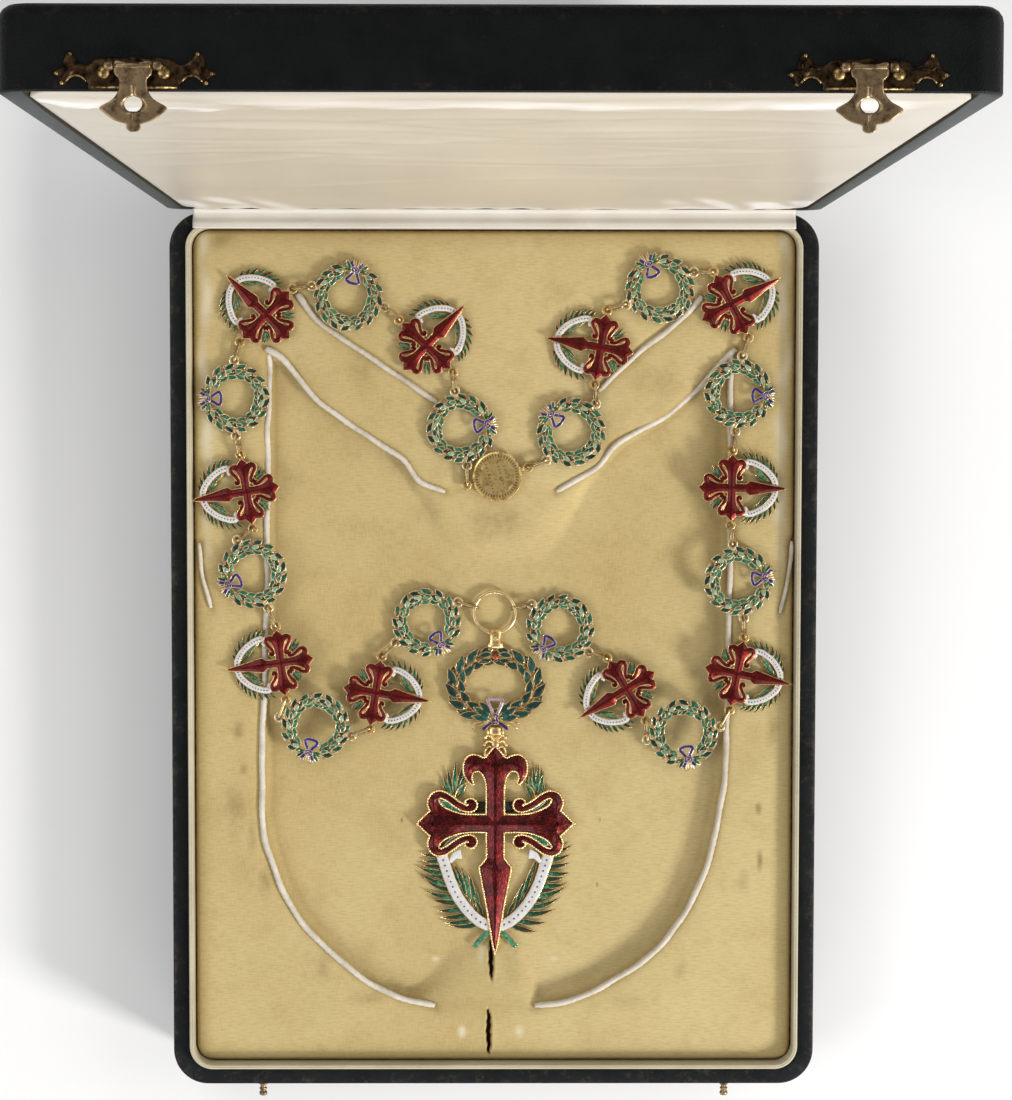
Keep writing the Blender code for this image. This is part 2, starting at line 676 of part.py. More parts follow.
def ring_point(neighbour):
    """Where a jump link that leads to a neighbouring eye hangs on the ring's wire."""
    reach = RING_RADIUS - RING_WIRE - GAP - JUMP_WIRE + JUMP_OVERREACH
    angle = math.degrees(math.atan2(neighbour.y - RING[2], neighbour.x - RING[1]))
    dx, dy = polar(reach, angle)
    return Vector((RING[1] + dx, RING[2] + dy, EYE_Z - RING[4]))


def eye_point(piece, sign):
    """World place of an eye, at heading plus 90 degrees for sign 1 and minus 90 for sign -1."""
    kind, x, y, heading, drop, tilt = piece
    radius = eye_radius(kind)
    dx, dy = polar(radius * math.cos(math.radians(tilt)), heading + 90.0 * sign)
    rise = sign * radius * math.sin(math.radians(tilt))
    return Vector((x + dx, y + dy, EYE_Z - drop + rise))


def draw_together(first, a, second, b):
    """Move and turn one or two pieces so that two eyes end up one jump link apart."""
    apart = b - a
    flat = math.hypot(apart.x, apart.y)
    wanted = math.sqrt(JUMP_SPAN ** 2 - apart.z ** 2)
    excess = flat - wanted
    nx = apart.x / flat
    ny = apart.y / flat
    inertia = 90.0
    shares = []
    for piece, point in ((first, a), (second, b)):
        if piece is None:
            shares.append((0.0, 0.0))
            continue
        lever = (point.x - piece[1]) * ny - (point.y - piece[2]) * nx
        shares.append((1.0 + lever * lever / inertia, lever / inertia))
    push = excess / (shares[0][0] + shares[1][0])
    for piece, share, sign in ((first, shares[0], 1.0), (second, shares[1], -1.0)):
        if piece is not None:
            piece[1] += sign * push * nx
            piece[2] += sign * push * ny
            piece[3] += sign * math.degrees(push * share[1])


def piece_reach(piece, degrees):
    """How far a laid piece reaches from the collar's origin in a direction."""
    kind, x, y, heading, drop, tilt = piece
    dx, dy = polar(1.0, degrees)
    turn = math.cos(math.radians(heading - degrees))
    if kind == "cross":
        own = max(BLADE_TIP * SMALL_SCALE * turn, PALM_CENTRE * turn + PALM_TIP, SIDE_TIP * SMALL_SCALE)
    else:
        own = max(BOW_REACH * turn + BOW_HALF_WIDTH * math.sqrt(1.0 - turn * turn), WREATH_RADIUS)
    return x * dx + y * dy + own


def fitted_case():
    """Width and length of the case that take the laid collar, and the collar's place along the case."""
    pieces = [piece for side, start, end in LAID_SIDES for piece in side]
    walls = LIP_THICKNESS + GAP + WALL
    side = max(max(piece_reach(piece, degrees) for piece in pieces) for degrees in (0.0, 180.0))
    back = max(piece_reach(piece, 90.0) for piece in pieces) + BACK_ROOM
    front = BLADE_TIP - CROSS_CENTRE_Y + FRONT_ROOM
    return 2.0 * (side + SIDE_ROOM + walls), back + front + 2.0 * walls, (front - back) / 2


def piece_matrix(piece):
    """Placement of a medallion, wreath or seal."""
    kind, x, y, heading, drop, tilt = piece
    return (Matrix.Translation((x, y, EYE_Z - drop)) @ Matrix.Rotation(math.radians(heading), 4, "Z")
            @ Matrix.Rotation(math.radians(tilt), 4, "X"))


def jump_matrix(a, b, number):
    """Placement of a jump link between two eyes, rolled a little to either side."""
    along = (b - a).normalized()
    up = Vector((0.0, 0.0, 1.0))
    up = (up - along * up.dot(along)).normalized()
    roll = math.radians(JUMP_ROLL * math.sin(2.4 * number))
    up = Matrix.Rotation(roll, 3, along) @ up
    side = along.cross(up)
    matrix = Matrix((along, up, side)).transposed().to_4x4()
    matrix.translation = (a + b) / 2
    return matrix


def build_collar():
    """All pieces of the collar."""
    gilt = (0.62, 0.44, 0.16)
    cross_mesh = cross_link_mesh()
    wreath_mesh = wreath_link_mesh()
    jump_mesh = jump_link_mesh()
    counts = {"cross": 0, "wreath": 0, "jump": 0}
    laid = Matrix.Translation((0.0, COLLAR_Y, 0.0))
    place("clasp_seal", clasp_mesh(), make_material("clasp_seal", (0.6, 0.47, 0.2), 1.0, 0.35),
          laid @ piece_matrix(CLASP))
    for (pieces, start, end), out_sign in zip(LAID_SIDES, (1, -1)):
        for piece in pieces:
            kind = piece[0]
            counts[kind] += 1
            name = f"{kind}_link_{counts[kind]:02d}"
            colour = (0.33, 0.03, 0.03) if kind == "cross" else (0.05, 0.22, 0.12)
            mesh = cross_mesh if kind == "cross" else wreath_mesh
            place(name, mesh, make_material(name, colour, 0.3, 0.25), laid @ piece_matrix(piece))
        for i in range(len(pieces) + 1):
            a = eye_point(pieces[i - 1], out_sign) if i > 0 else start
            b = eye_point(pieces[i], -out_sign) if i < len(pieces) else end
            counts["jump"] += 1
            name = f"jump_link_{counts['jump']:02d}"
            place(name, jump_mesh, make_material(name, gilt, 1.0, 0.3), laid @ jump_matrix(a, b, counts["jump"]))


def build_pendant():
    """Ring, bail, wreath and cross at the front of the collar."""
    gilt = (0.65, 0.47, 0.18)
    z = EYE_Z - RING[4]
    place("centre_ring", ring_mesh(), make_material("centre_ring", gilt, 1.0, 0.25),
          Matrix.Translation((RING[1], RING[2] + COLLAR_Y, z)))
    wire_y = RING[2] - RING_RADIUS + 0.15
    pin_y = 2.2
    bar_y = -31.6
    place("pendant_bail", strap_mesh(wire_y - pin_y, BAIL_HALF_WIDTH, "bail"),
          make_material("pendant_bail", gilt, 1.0, 0.25), Matrix.Translation((PENDANT_X, wire_y + COLLAR_Y, z)))
    place("pendant_wreath", pendant_wreath_mesh(pin_y - WREATH_CENTRE_Y, bar_y - WREATH_CENTRE_Y),
          make_material("pendant_wreath", (0.03, 0.15, 0.1), 0.3, 0.25),
          Matrix.Translation((PENDANT_X, WREATH_CENTRE_Y + COLLAR_Y, z)))
    place("pendant_cross", pendant_cross_mesh(bar_y - CROSS_CENTRE_Y + 0.3),
          make_material("pendant_cross", (0.27, 0.01, 0.02), 0.3, 0.2),
          Matrix.Translation((PENDANT_X, CROSS_CENTRE_Y + COLLAR_Y, z)))


def build_case():
    """Tray, lip, pad, lid, lining, hasps and catch posts."""
    leatherette = (0.02, 0.022, 0.026)
    brass = (0.32, 0.22, 0.1)
    place("case_tray", tray_mesh(), make_material("case_tray", leatherette, 0.0, 0.5))
    place("case_lip", lip_mesh(), make_material("case_lip", (0.75, 0.7, 0.6), 0.0, 0.7))
    place("case_pad", pad_mesh(), make_material("case_pad", (0.55, 0.44, 0.23), 0.0, 0.85))
    hasp_x = CASE_WIDTH / 2 - HASP_FROM_SIDE
    for name, x in (("catch_post_left", -hasp_x), ("catch_post_right", hasp_x)):
        z = RIM_Z + HINGE_GAP + HASP_AXIS_TO_RIM - HASP_HOLE_DISTANCE
        place(name, post_mesh(), make_material(name, brass, 1.0, 0.35),
              Matrix.Translation((x, -CASE_LENGTH / 2, z)))

    hinge = bpy.data.objects.new("lid_hinge", None)
    bpy.context.scene.collection.objects.link(hinge)
    hinge.location = (0.0, (CASE_LENGTH + HINGE_GAP) / 2 * MM, (RIM_Z + HINGE_GAP / 2) * MM)
    hinge.rotation_euler = (-math.pi / 2, 0.0, 0.0)
    rim = HINGE_GAP / 2
    wall_y = -CASE_LENGTH - HINGE_GAP / 2
    axis_z = rim + HASP_AXIS_TO_RIM
    place("case_lid", lid_mesh(rim, wall_y, axis_z), make_material("case_lid", leatherette, 0.0, 0.5),
          Matrix.Identity(4), hinge)
    place("lid_lining", lining_mesh(), make_material("lid_lining", (0.8, 0.76, 0.66), 0.0, 0.45),
          Matrix.Translation((0.0, wall_y + CASE_LENGTH / 2, rim)), hinge)
    for name, x in (("hasp_left", -hasp_x), ("hasp_right", hasp_x)):
        place(name, hasp_mesh(), make_material(name, brass, 1.0, 0.4),
              Matrix.Translation((x, wall_y - HASP_AXIS_HEIGHT, axis_z)), hinge)


def main():
    """Build the whole object."""
    clear_scene()
    build_case()
    build_collar()
    build_pendant()
    bpy.context.view_layer.update()


LAID_SIDES = lay_out_chain()
CASE_WIDTH, CASE_LENGTH, COLLAR_Y = fitted_case()

main()
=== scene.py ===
"""Looks of the enamelled order collar that lies in its open fitted case.

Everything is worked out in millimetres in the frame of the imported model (+Z up, +Y towards the hinge,
origin at the middle of the case's underside) and put into the meshes in metres. A shape is a grid of points
over two parameters, or a profile carried along a path.
"""

import logging
import math
from dataclasses import dataclass, field
from enum import Enum

import bpy
import bmesh
import numpy as np
from mathutils import Matrix, Vector


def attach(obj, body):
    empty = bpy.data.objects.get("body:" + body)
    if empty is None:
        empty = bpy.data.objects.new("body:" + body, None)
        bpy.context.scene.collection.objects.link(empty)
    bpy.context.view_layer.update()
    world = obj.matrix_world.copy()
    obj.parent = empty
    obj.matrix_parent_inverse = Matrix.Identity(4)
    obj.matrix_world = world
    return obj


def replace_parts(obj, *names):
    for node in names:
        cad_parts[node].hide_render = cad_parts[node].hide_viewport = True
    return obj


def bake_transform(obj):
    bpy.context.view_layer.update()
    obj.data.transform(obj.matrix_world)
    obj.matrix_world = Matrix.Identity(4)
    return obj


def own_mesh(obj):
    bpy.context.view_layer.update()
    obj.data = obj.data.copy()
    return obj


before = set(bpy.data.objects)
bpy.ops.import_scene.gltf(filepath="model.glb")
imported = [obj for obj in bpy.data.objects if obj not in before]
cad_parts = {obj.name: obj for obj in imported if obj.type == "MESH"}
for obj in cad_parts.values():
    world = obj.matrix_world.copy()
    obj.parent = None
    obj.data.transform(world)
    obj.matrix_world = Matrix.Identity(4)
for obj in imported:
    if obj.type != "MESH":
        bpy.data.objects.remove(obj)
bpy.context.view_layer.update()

LOG = logging.getLogger("collar")
MM = 0.001

# Sizes of the case and the collar, the same as in the part's source.
CASE_WIDTH = 249.2
CASE_LENGTH = 338.0
TRAY_HEIGHT = 40.0
WALL = 6.2
FLOOR = 4.0
LID_DEPTH = 22.0
HINGE_GAP = 0.8
LIP_RISE = 3.0
PAD_TOP = 38.0
FIELD_DEPTH = 5.5
EYE_HEIGHT = 39.95
COLLAR_SHIFT = -0.002
HINGE_Y = (CASE_LENGTH + HINGE_GAP) / 2
LID_RIM_Y = HINGE_Y + HINGE_GAP / 2
LID_MIDDLE_Z = TRAY_HEIGHT + HINGE_GAP + CASE_LENGTH / 2
HASP_X = 90.015
HASP_Y = 175.8
HASP_Z = 380.6
EYE_RADIUS = 1.55
EYE_REACH = {"wreath": 14.4, "cross": 14.3, "clasp": 12.3}

# Sizes of the scene alone: how much thinner the walls by the hinge are, the lip, and the gaps beside it.
BACK_SHIFT = 2.0
LIP_THICKNESS = 1.7
LIP_GAP = 0.3
PAD_GAP = 0.35

UP = (0.0, 0.0, 1.0)


# Surfaces

CORNER_STEPS = 14
SIDE_STEPS = 10
LEAF_ROWS = 6


def circle_profile(sides: int) -> np.ndarray:
    """Round closed profile: cosine across, sine up, at even angles."""
    angle = 2.0 * math.pi * np.arange(sides) / sides
    return np.stack([np.cos(angle), np.sin(angle)], axis=1)


DOME = np.array([(-1.0, 0.0), (-0.85, 0.5), (-0.45, 0.9), (0.0, 1.0), (0.45, 0.9), (0.85, 0.5), (1.0, 0.0),
                 (0.5, -0.35), (-0.5, -0.35)])
VEINED = np.array([(-1.0, 0.0), (-0.5, 0.95), (0.0, 0.6), (0.5, 0.95), (1.0, 0.0), (0.0, -0.5)])
FLAT_BAND = np.array(
    [(-1.0, -0.5), (-1.0, 0.3), (-0.8, 0.5), (-0.3, 0.62), (0.3, 0.62), (0.8, 0.5), (1.0, 0.3), (1.0, -0.5)])
ROUND_4 = circle_profile(4)
ROUND_5 = circle_profile(5)
ROUND_6 = circle_profile(6)
ROUND_8 = circle_profile(8)
ROUND_12 = circle_profile(12)


def smoothstep(values: np.ndarray, low: float, high: float) -> np.ndarray:
    """Rise from zero at low to one at high along 3t^2 - 2t^3."""
    t = np.clip((values - low) / (high - low), 0.0, 1.0)
    return t * t * (3.0 - 2.0 * t)


def smooth_path(points: np.ndarray, step: float, closed: bool = False) -> np.ndarray:
    """Curve through chosen points at even spacing.

    Each span between two points is the cubic whose end slopes are half the difference of the neighbouring
    points (Catmull and Rom's rule). The dense curve is then resampled at equal distances along itself.

    Args:
        points: Chosen points, one row each, in two or three coordinates.
        step: Distance between the samples.
        closed: Whether the last point joins the first.

    Returns:
        Points along the curve; a closed curve doesn't repeat its first point.
    """
    chosen = np.asarray(points, float)
    if closed:
        before, start = np.roll(chosen, 1, axis=0), chosen
        end, after = np.roll(chosen, -1, axis=0), np.roll(chosen, -2, axis=0)
    else:
        padded = np.concatenate([2 * chosen[:1] - chosen[1:2], chosen, 2 * chosen[-1:] - chosen[-2:-1]])
        before, start, end, after = padded[:-3], padded[1:-2], padded[2:-1], padded[3:]
    t = np.linspace(0.0, 1.0, 12, endpoint=False)[None, :, None]
    before, start, end, after = (a[:, None, :] for a in (before, start, end, after))
    dense = 0.5 * (2 * start + (end - before) * t + (2 * before - 5 * start + 4 * end - after) * t ** 2
                   + (3 * start - before - 3 * end + after) * t ** 3)
    dense = dense.reshape(-1, chosen.shape[1])
    dense = np.concatenate([dense, chosen[:1] if closed else chosen[-1:]])
    length = np.concatenate([[0.0], np.cumsum(np.linalg.norm(np.diff(dense, axis=0), axis=1))])
    count = max(int(round(length[-1] / step)), 3)
    wanted = np.linspace(0.0, length[-1], count + 1)
    even = np.stack([np.interp(wanted, length, dense[:, k]) for k in range(chosen.shape[1])], axis=1)
    return even[:-1] if closed else even


def cornered_path(runs: tuple, step: float) -> np.ndarray:
    """Smooth runs of chosen points joined with a sharp corner where one ends and the next starts."""
    parts = [smooth_path(np.array(run, float), step)[:-1] for run in runs]
    return np.concatenate(parts + [np.array(runs[-1][-1:], float)])


def directions(path: np.ndarray, closed: bool) -> np.ndarray:
    """Unit directions along a path: the difference of the points on either side."""
    if closed:
        along = np.roll(path, -1, axis=0) - np.roll(path, 1, axis=0)
    else:
        along = np.gradient(path, axis=0)
    return along / np.maximum(np.linalg.norm(along, axis=-1, keepdims=True), 1e-9)


def sweep(path: np.ndarray, profile: np.ndarray, width: np.ndarray | float, height: np.ndarray | float,
          closed: bool = False) -> np.ndarray:
    """Carry a profile along a path.

    Each point is path + side * profile_x * width + top * profile_y * height, where side is level and at right
    angles to the path, and top is at right angles to the path and to side.

    Args:
        path: Points of the centre line.
        profile: Closed outline, across and up, for a half width and a height of one.
        width: Half width at each point of the path, or one for all.
        height: Height at each point of the path, or one for all.
        closed: Whether the path is a loop.

    Returns:
        Grid with a row for each point of the path and a column for each point of the profile.
    """
    along = directions(path, closed)
    side = np.cross(UP, along)
    side /= np.maximum(np.linalg.norm(side, axis=1, keepdims=True), 1e-9)
    top = np.cross(along, side)
    count = len(path)
    wide = np.broadcast_to(np.asarray(width, float), (count,))[:, None, None]
    high = np.broadcast_to(np.asarray(height, float), (count,))[:, None, None]
    return (path[:, None, :] + side[:, None, :] * profile[None, :, 0, None] * wide
            + top[:, None, :] * profile[None, :, 1, None] * high)


def capped(grid: np.ndarray) -> np.ndarray:
    """Close both ends of a swept grid with a pole at the middle of its first and last rows."""
    first = np.broadcast_to(grid[:1].mean(axis=1, keepdims=True), grid[:1].shape)
    last = np.broadcast_to(grid[-1:].mean(axis=1, keepdims=True), grid[-1:].shape)
    return np.concatenate([first, grid, last])


def flat_to_space(outline: np.ndarray, height: float | np.ndarray = 0.0) -> np.ndarray:
    """Lift flat points to a height."""
    lifted = np.broadcast_to(np.asarray(height, float), outline.shape[:-1])
    return np.concatenate([outline, lifted[..., None]], axis=-1)


def curve(points: tuple | np.ndarray, step: float, height: float | np.ndarray = 0.0,
          mirror: tuple = (1.0, 1.0)) -> np.ndarray:
    """Smooth curve through flat points, multiplied by a pair of signs and lifted to a height."""
    return flat_to_space(smooth_path(np.array(points, float) * mirror, step), height)


def ring_of(count: int) -> np.ndarray:
    """Even angles once round, in radians."""
    return np.linspace(0.0, 2.0 * math.pi, count, endpoint=False)


def around(angle: np.ndarray, radius: np.ndarray | float = 1.0) -> np.ndarray:
    """Flat points at angles: radius times cosine and sine."""
    return np.stack([radius * np.cos(angle), radius * np.sin(angle)], axis=1)


def rounded_rectangle(half_x: float, half_y: float, radius: float) -> np.ndarray:
    """Rectangle with quarter-circle corners, anticlockwise, with the same number of points for any size.

    Args:
        half_x: Half width.
        half_y: Half length.
        radius: Radius of the corners.

    Returns:
        Flat points.
    """
    parts = []
    for number, (sx, sy) in enumerate(((1, 1), (-1, 1), (-1, -1), (1, -1))):
        angle = np.radians(90.0 * number + np.linspace(0.0, 90.0, CORNER_STEPS + 1))
        centre = np.array([sx * (half_x - radius), sy * (half_y - radius)])
        parts.append(centre + around(angle, radius))
    result = []
    for number in range(4):
        here, after = parts[number], parts[(number + 1) % 4]
        t = np.linspace(0.0, 1.0, SIDE_STEPS + 1)[1:-1, None]
        result += [here, here[-1] * (1 - t) + after[0] * t]
    return np.concatenate(result)


def turn_matrix(x: float, y: float, z: float, heading: float, tilt: float = 0.0) -> np.ndarray:
    """Placement of a piece: tilt about its own X, then heading about Z, in degrees, then the shift."""
    matrix = (Matrix.Translation((x, y, z)) @ Matrix.Rotation(math.radians(heading), 4, "Z")
              @ Matrix.Rotation(math.radians(tilt), 4, "X"))
    return np.array(matrix)


def transformed(points: np.ndarray, matrix: np.ndarray) -> np.ndarray:
    """Points under a placement: rotation times the point, plus the shift."""
    return points @ matrix[:3, :3].T + matrix[:3, 3]


@dataclass
class Draft:
    """Surfaces in millimetres that together become one mesh."""

    points: list = field(default_factory=list)
    quads: list = field(default_factory=list)
    finish: list = field(default_factory=list)
    tone: list = field(default_factory=list)
    chart: list = field(default_factory=list)
    count: int = 0

    def add(self, grids: np.ndarray, finish: int = 0, rows_close: bool = False, columns_close: bool = True,
            solid: bool = True, tone: np.ndarray | float = 0.5, chart: np.ndarray | None = None,
            faces_up: bool = False) -> "Draft":
        """Add one grid, or many of one size at once.

        Args:
            grids: Points over (row, column), or over (piece, row, column).
            finish: Index of the finish in the mesh's list.
            rows_close: Whether the last row joins the first.
            columns_close: Whether the last column joins the first.
            solid: Whether the surface is closed; it is then turned so that its enclosed volume is positive.
            tone: Number from zero to one kept with each point, for variation in the finish.
            chart: Two coordinates in millimetres for each point, for patterns that follow the surface.
            faces_up: For an open surface, whether its faces look up.

        Returns:
            The draft itself.
        """
        grids = np.asarray(grids, float)
        if grids.ndim == 3:
            grids = grids[None]
        pieces, rows, columns = grids.shape[:3]
        index = np.arange(rows * columns).reshape(rows, columns)
        down, right = np.roll(index, -1, axis=0), np.roll(index, -1, axis=1)
        corner = np.roll(down, -1, axis=1)
        quads = np.stack([index, right, corner, down], axis=-1)
        down_to, right_to = rows if rows_close else rows - 1, columns if columns_close else columns - 1
        quads = quads[:down_to, :right_to].reshape(-1, 4)
        flat = grids.reshape(pieces, rows * columns, 3)
        if solid or faces_up:
            a, b, c, d = (flat[:, quads[:, k]] for k in range(4))
            middle = flat.mean(axis=1, keepdims=True)
            if solid:
                normal = np.cross(c - a, d - b)
                volume = ((a + b + c + d) / 4.0 - middle) * normal
                flipped = volume.sum(axis=(1, 2)) < 0.0
            else:
                flipped = np.cross(c - a, d - b)[..., 2].sum(axis=1) < 0.0
        else:
            flipped = np.zeros(pieces, bool)
        every = np.broadcast_to(quads, (pieces, *quads.shape)).copy()
        every[flipped] = every[flipped][..., ::-1]
        every += (self.count + np.arange(pieces) * rows * columns)[:, None, None]
        self.points.append(flat.reshape(-1, 3))
        self.quads.append(every.reshape(-1, 4))
        self.finish.append(np.full(every.shape[0] * every.shape[1], finish))
        tones = np.asarray(tone, float)
        if tones.ndim == 1 and pieces > 1:
            tones = tones[:, None, None]
        self.tone.append(np.broadcast_to(tones, grids.shape[:3]).reshape(-1))
        if chart is None:
            self.chart.append(grids[..., :2].reshape(-1, 2))
        else:
            self.chart.append(np.broadcast_to(chart, (*grids.shape[:3], 2)).reshape(-1, 2))
        self.count += pieces * rows * columns
        return self

    def placed(self, matrix: np.ndarray) -> "Draft":
        """The same draft moved by a placement."""
        return Draft([transformed(p, matrix) for p in self.points], list(self.quads), list(self.finish),
                     list(self.tone), list(self.chart), self.count)

    def turned_over(self) -> "Draft":
        """The same draft with its faces turned the other way."""
        self.quads = [q[:, ::-1] for q in self.quads]
        return self

    def joined(self, other: "Draft") -> "Draft":
        """This draft with another one's surfaces added."""
        self.points += other.points
        self.quads += [q + self.count for q in other.quads]
        self.finish += other.finish
        self.tone += other.tone
        self.chart += other.chart
        self.count += other.count
        return self

    def piece(self, name: str, finishes: tuple, body: str = "case") -> bpy.types.Object:
        """Make the mesh object, shaded smooth, and let it ride on its body.

        Args:
            name: Name of the piece.
            finishes: Finishes in the order of the indices.
            body: Body that the piece moves with, or an empty name for none.

        Returns:
            The new object, at the origin, unturned and unscaled.
        """
        points = np.concatenate(self.points) * MM
        quads = np.concatenate(self.quads)
        mesh = bpy.data.meshes.new(name)
        mesh.vertices.add(len(points))
        mesh.vertices.foreach_set("co", points.ravel().astype(np.float32))
        mesh.loops.add(quads.size)
        mesh.loops.foreach_set("vertex_index", quads.ravel().astype(np.int32))
        mesh.polygons.add(len(quads))
        mesh.polygons.foreach_set("loop_start", np.arange(0, quads.size, 4, dtype=np.int32))
        mesh.polygons.foreach_set("loop_total", np.full(len(quads), 4, dtype=np.int32))
        mesh.polygons.foreach_set("material_index", np.concatenate(self.finish).astype(np.int32))
        mesh.polygons.foreach_set("use_smooth", np.ones(len(quads), bool))
        layer = mesh.uv_layers.new(name="chart")
        chart = np.concatenate(self.chart)[quads.ravel()]
        layer.data.foreach_set("uv", chart.ravel().astype(np.float32))
        attribute = mesh.attributes.new("tone", "FLOAT", "POINT")
        attribute.data.foreach_set("value", np.concatenate(self.tone).astype(np.float32))
        mesh.update(calc_edges=True)
        work = bmesh.new()
        work.from_mesh(mesh)
        bmesh.ops.remove_doubles(work, verts=work.verts, dist=2e-7)
        bmesh.ops.dissolve_degenerate(work, edges=work.edges, dist=1e-8)
        work.to_mesh(mesh)
        work.free()
        for finish in finishes:
            mesh.materials.append(finish.material())
        item = bpy.data.objects.new(name, mesh)
        bpy.context.scene.collection.objects.link(item)
        if body:
            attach(item, body)
        LOG.info("%s: %d faces", name, len(mesh.polygons))
        return item


def leaves(draft: Draft, base: np.ndarray, heading: np.ndarray, length: np.ndarray, width: np.ndarray,
           low: np.ndarray, rise: np.ndarray, bend: np.ndarray, blade_finish: int, edge_finish: int | None,
           wire_radius: float = 0.13, thickness: float = 0.32, tone: np.ndarray | float = 0.5,
           tip_tone: float = 0.0) -> None:
    """Add enamelled leaves with a gilt wire round each.

    The midrib runs from the base along the heading and bows sideways with the square of the way along. The
    half width is the sine of the way along to the power 0.85, and a shallow groove runs down the middle.
    The wire follows the leaf's outline.

    Args:
        draft: Draft that takes the leaves.
        base: Start of each midrib, two coordinates in millimetres.
        heading: Direction of each leaf in degrees.
        length: Length of each leaf.
        width: Half width of each leaf.
        low: Height of each base.
        rise: How far each tip lies above its base.
        bend: Sideways shift of each tip.
        blade_finish: Index of the enamel.
        edge_finish: Index of the wire's metal, or None for no wire.
        wire_radius: Radius of the wire.
        thickness: Height of the enamel's crown.
        tone: Tone of each leaf.
        tip_tone: What is added to the tone towards the tip, with the square of the way along.
    """
    base, heading, length, width, low, rise, bend = (np.asarray(a, float) for a in
                                                     (base, heading, length, width, low, rise, bend))
    count = len(base)
    t = np.linspace(0.0, 1.0, LEAF_ROWS)
    along = around(np.radians(heading))
    side = np.stack([-along[:, 1], along[:, 0]], axis=1)
    length, width, low, rise, bend = (np.broadcast_to(a, (count,)) for a in (length, width, low, rise, bend))
    rib = (base[:, None, :] + along[:, None, :] * (length[:, None] * t)[..., None]
           + side[:, None, :] * (bend[:, None] * t ** 2)[..., None])
    half = width[:, None] * np.sin(math.pi * np.clip(t, 0.0, 1.0) ** 0.85)
    height = low[:, None] + rise[:, None] * t
    beside = half[..., None] * VEINED[:, 0]
    flat = rib[:, :, None, :] + side[:, None, None, :] * beside[..., None]
    fullness = (half / np.maximum(width[:, None], 1e-6))[..., None]
    crown = height[..., None] + thickness * VEINED[:, 1] * fullness
    body = np.concatenate([flat, crown[..., None]], axis=-1)
    chart = np.stack(np.broadcast_arrays((t * length[:, None])[..., None], beside), axis=-1)
    tones = np.broadcast_to(np.asarray(tone, float), (count,))
    draft.add(body, blade_finish, tone=np.broadcast_to((tones[:, None] + tip_tone * t ** 2)[..., None],
                                                       body.shape[:3]), chart=chart)
    if edge_finish is None:
        return
    left = rib + side[:, None, :] * (half + 0.4 * wire_radius)[..., None]
    right = rib - side[:, None, :] * (half + 0.4 * wire_radius)[..., None]
    loop = np.concatenate([left, right[:, -2:0:-1]], axis=1)
    loop_height = np.concatenate([height, height[:, -2:0:-1]], axis=1) + 0.1
    path = np.concatenate([loop, loop_height[..., None]], axis=-1)
    forward = np.roll(path, -1, axis=1) - np.roll(path, 1, axis=1)
    forward /= np.maximum(np.linalg.norm(forward, axis=-1, keepdims=True), 1e-9)
    outward = np.cross(forward, UP)
    outward /= np.maximum(np.linalg.norm(outward, axis=-1, keepdims=True), 1e-9)
    top = np.cross(outward, forward)
    tube = path[:, :, None, :] + wire_radius * (
        outward[:, :, None, :] * ROUND_4[:, 0, None] + top[:, :, None, :] * ROUND_4[:, 1, None])
    draft.add(tube, edge_finish, rows_close=True, tone=tones)


def beads(draft: Draft, centres: np.ndarray, radius: np.ndarray | float, finish: int, rows: int = 5,
          columns: int = 7, flatten: float = 1.0, tone: np.ndarray | float = 0.5) -> None:
    """Add small balls.

    A point is the centre plus the radius times (cos latitude cos longitude, cos latitude sin longitude,
    flatten sin latitude).

    Args:
        draft: Draft that takes the balls.
        centres: Their centres.
        radius: One radius for all, or one for each.
        finish: Index of the finish.
        rows: Number of circles of latitude, poles included.
        columns: Points on each circle.
        flatten: Half height of a ball in radii.
        tone: One tone for all, or one for each.
    """
    centres = np.asarray(centres, float).reshape(-1, 3)
    radius = np.broadcast_to(np.asarray(radius, float), (len(centres),))
    latitude = np.linspace(-math.pi / 2, math.pi / 2, rows)
    longitude = 2.0 * math.pi * np.arange(columns) / columns
    level = np.cos(latitude)[:, None]
    ball = np.stack([level * np.cos(longitude), level * np.sin(longitude),
                     np.broadcast_to(flatten * np.sin(latitude)[:, None], (rows, columns))], axis=-1)
    grids = centres[:, None, None, :] + ball[None] * radius[:, None, None, None]
    tones = np.broadcast_to(np.asarray(tone, float), (len(centres),))
    draft.add(grids, finish, tone=tones)


def wire(draft: Draft, points: np.ndarray, radius: np.ndarray | float, finish: int, closed: bool = False,
         profile: np.ndarray = ROUND_6, tone: float = 0.5) -> None:
    """Add a wire: a round profile along a path, with poles at its ends unless it is a loop.

    Args:
        draft: Draft that takes the wire.
        points: Path of its middle.
        radius: One radius, or one for each point.
        finish: Index of the finish.
        closed: Whether the path is a loop.
        profile: Points once round its section, of radius one.
        tone: Tone of its surface.
    """
    grid = sweep(points, profile, radius, radius, closed)
    draft.add(grid if closed else capped(grid), finish, rows_close=closed, tone=tone)


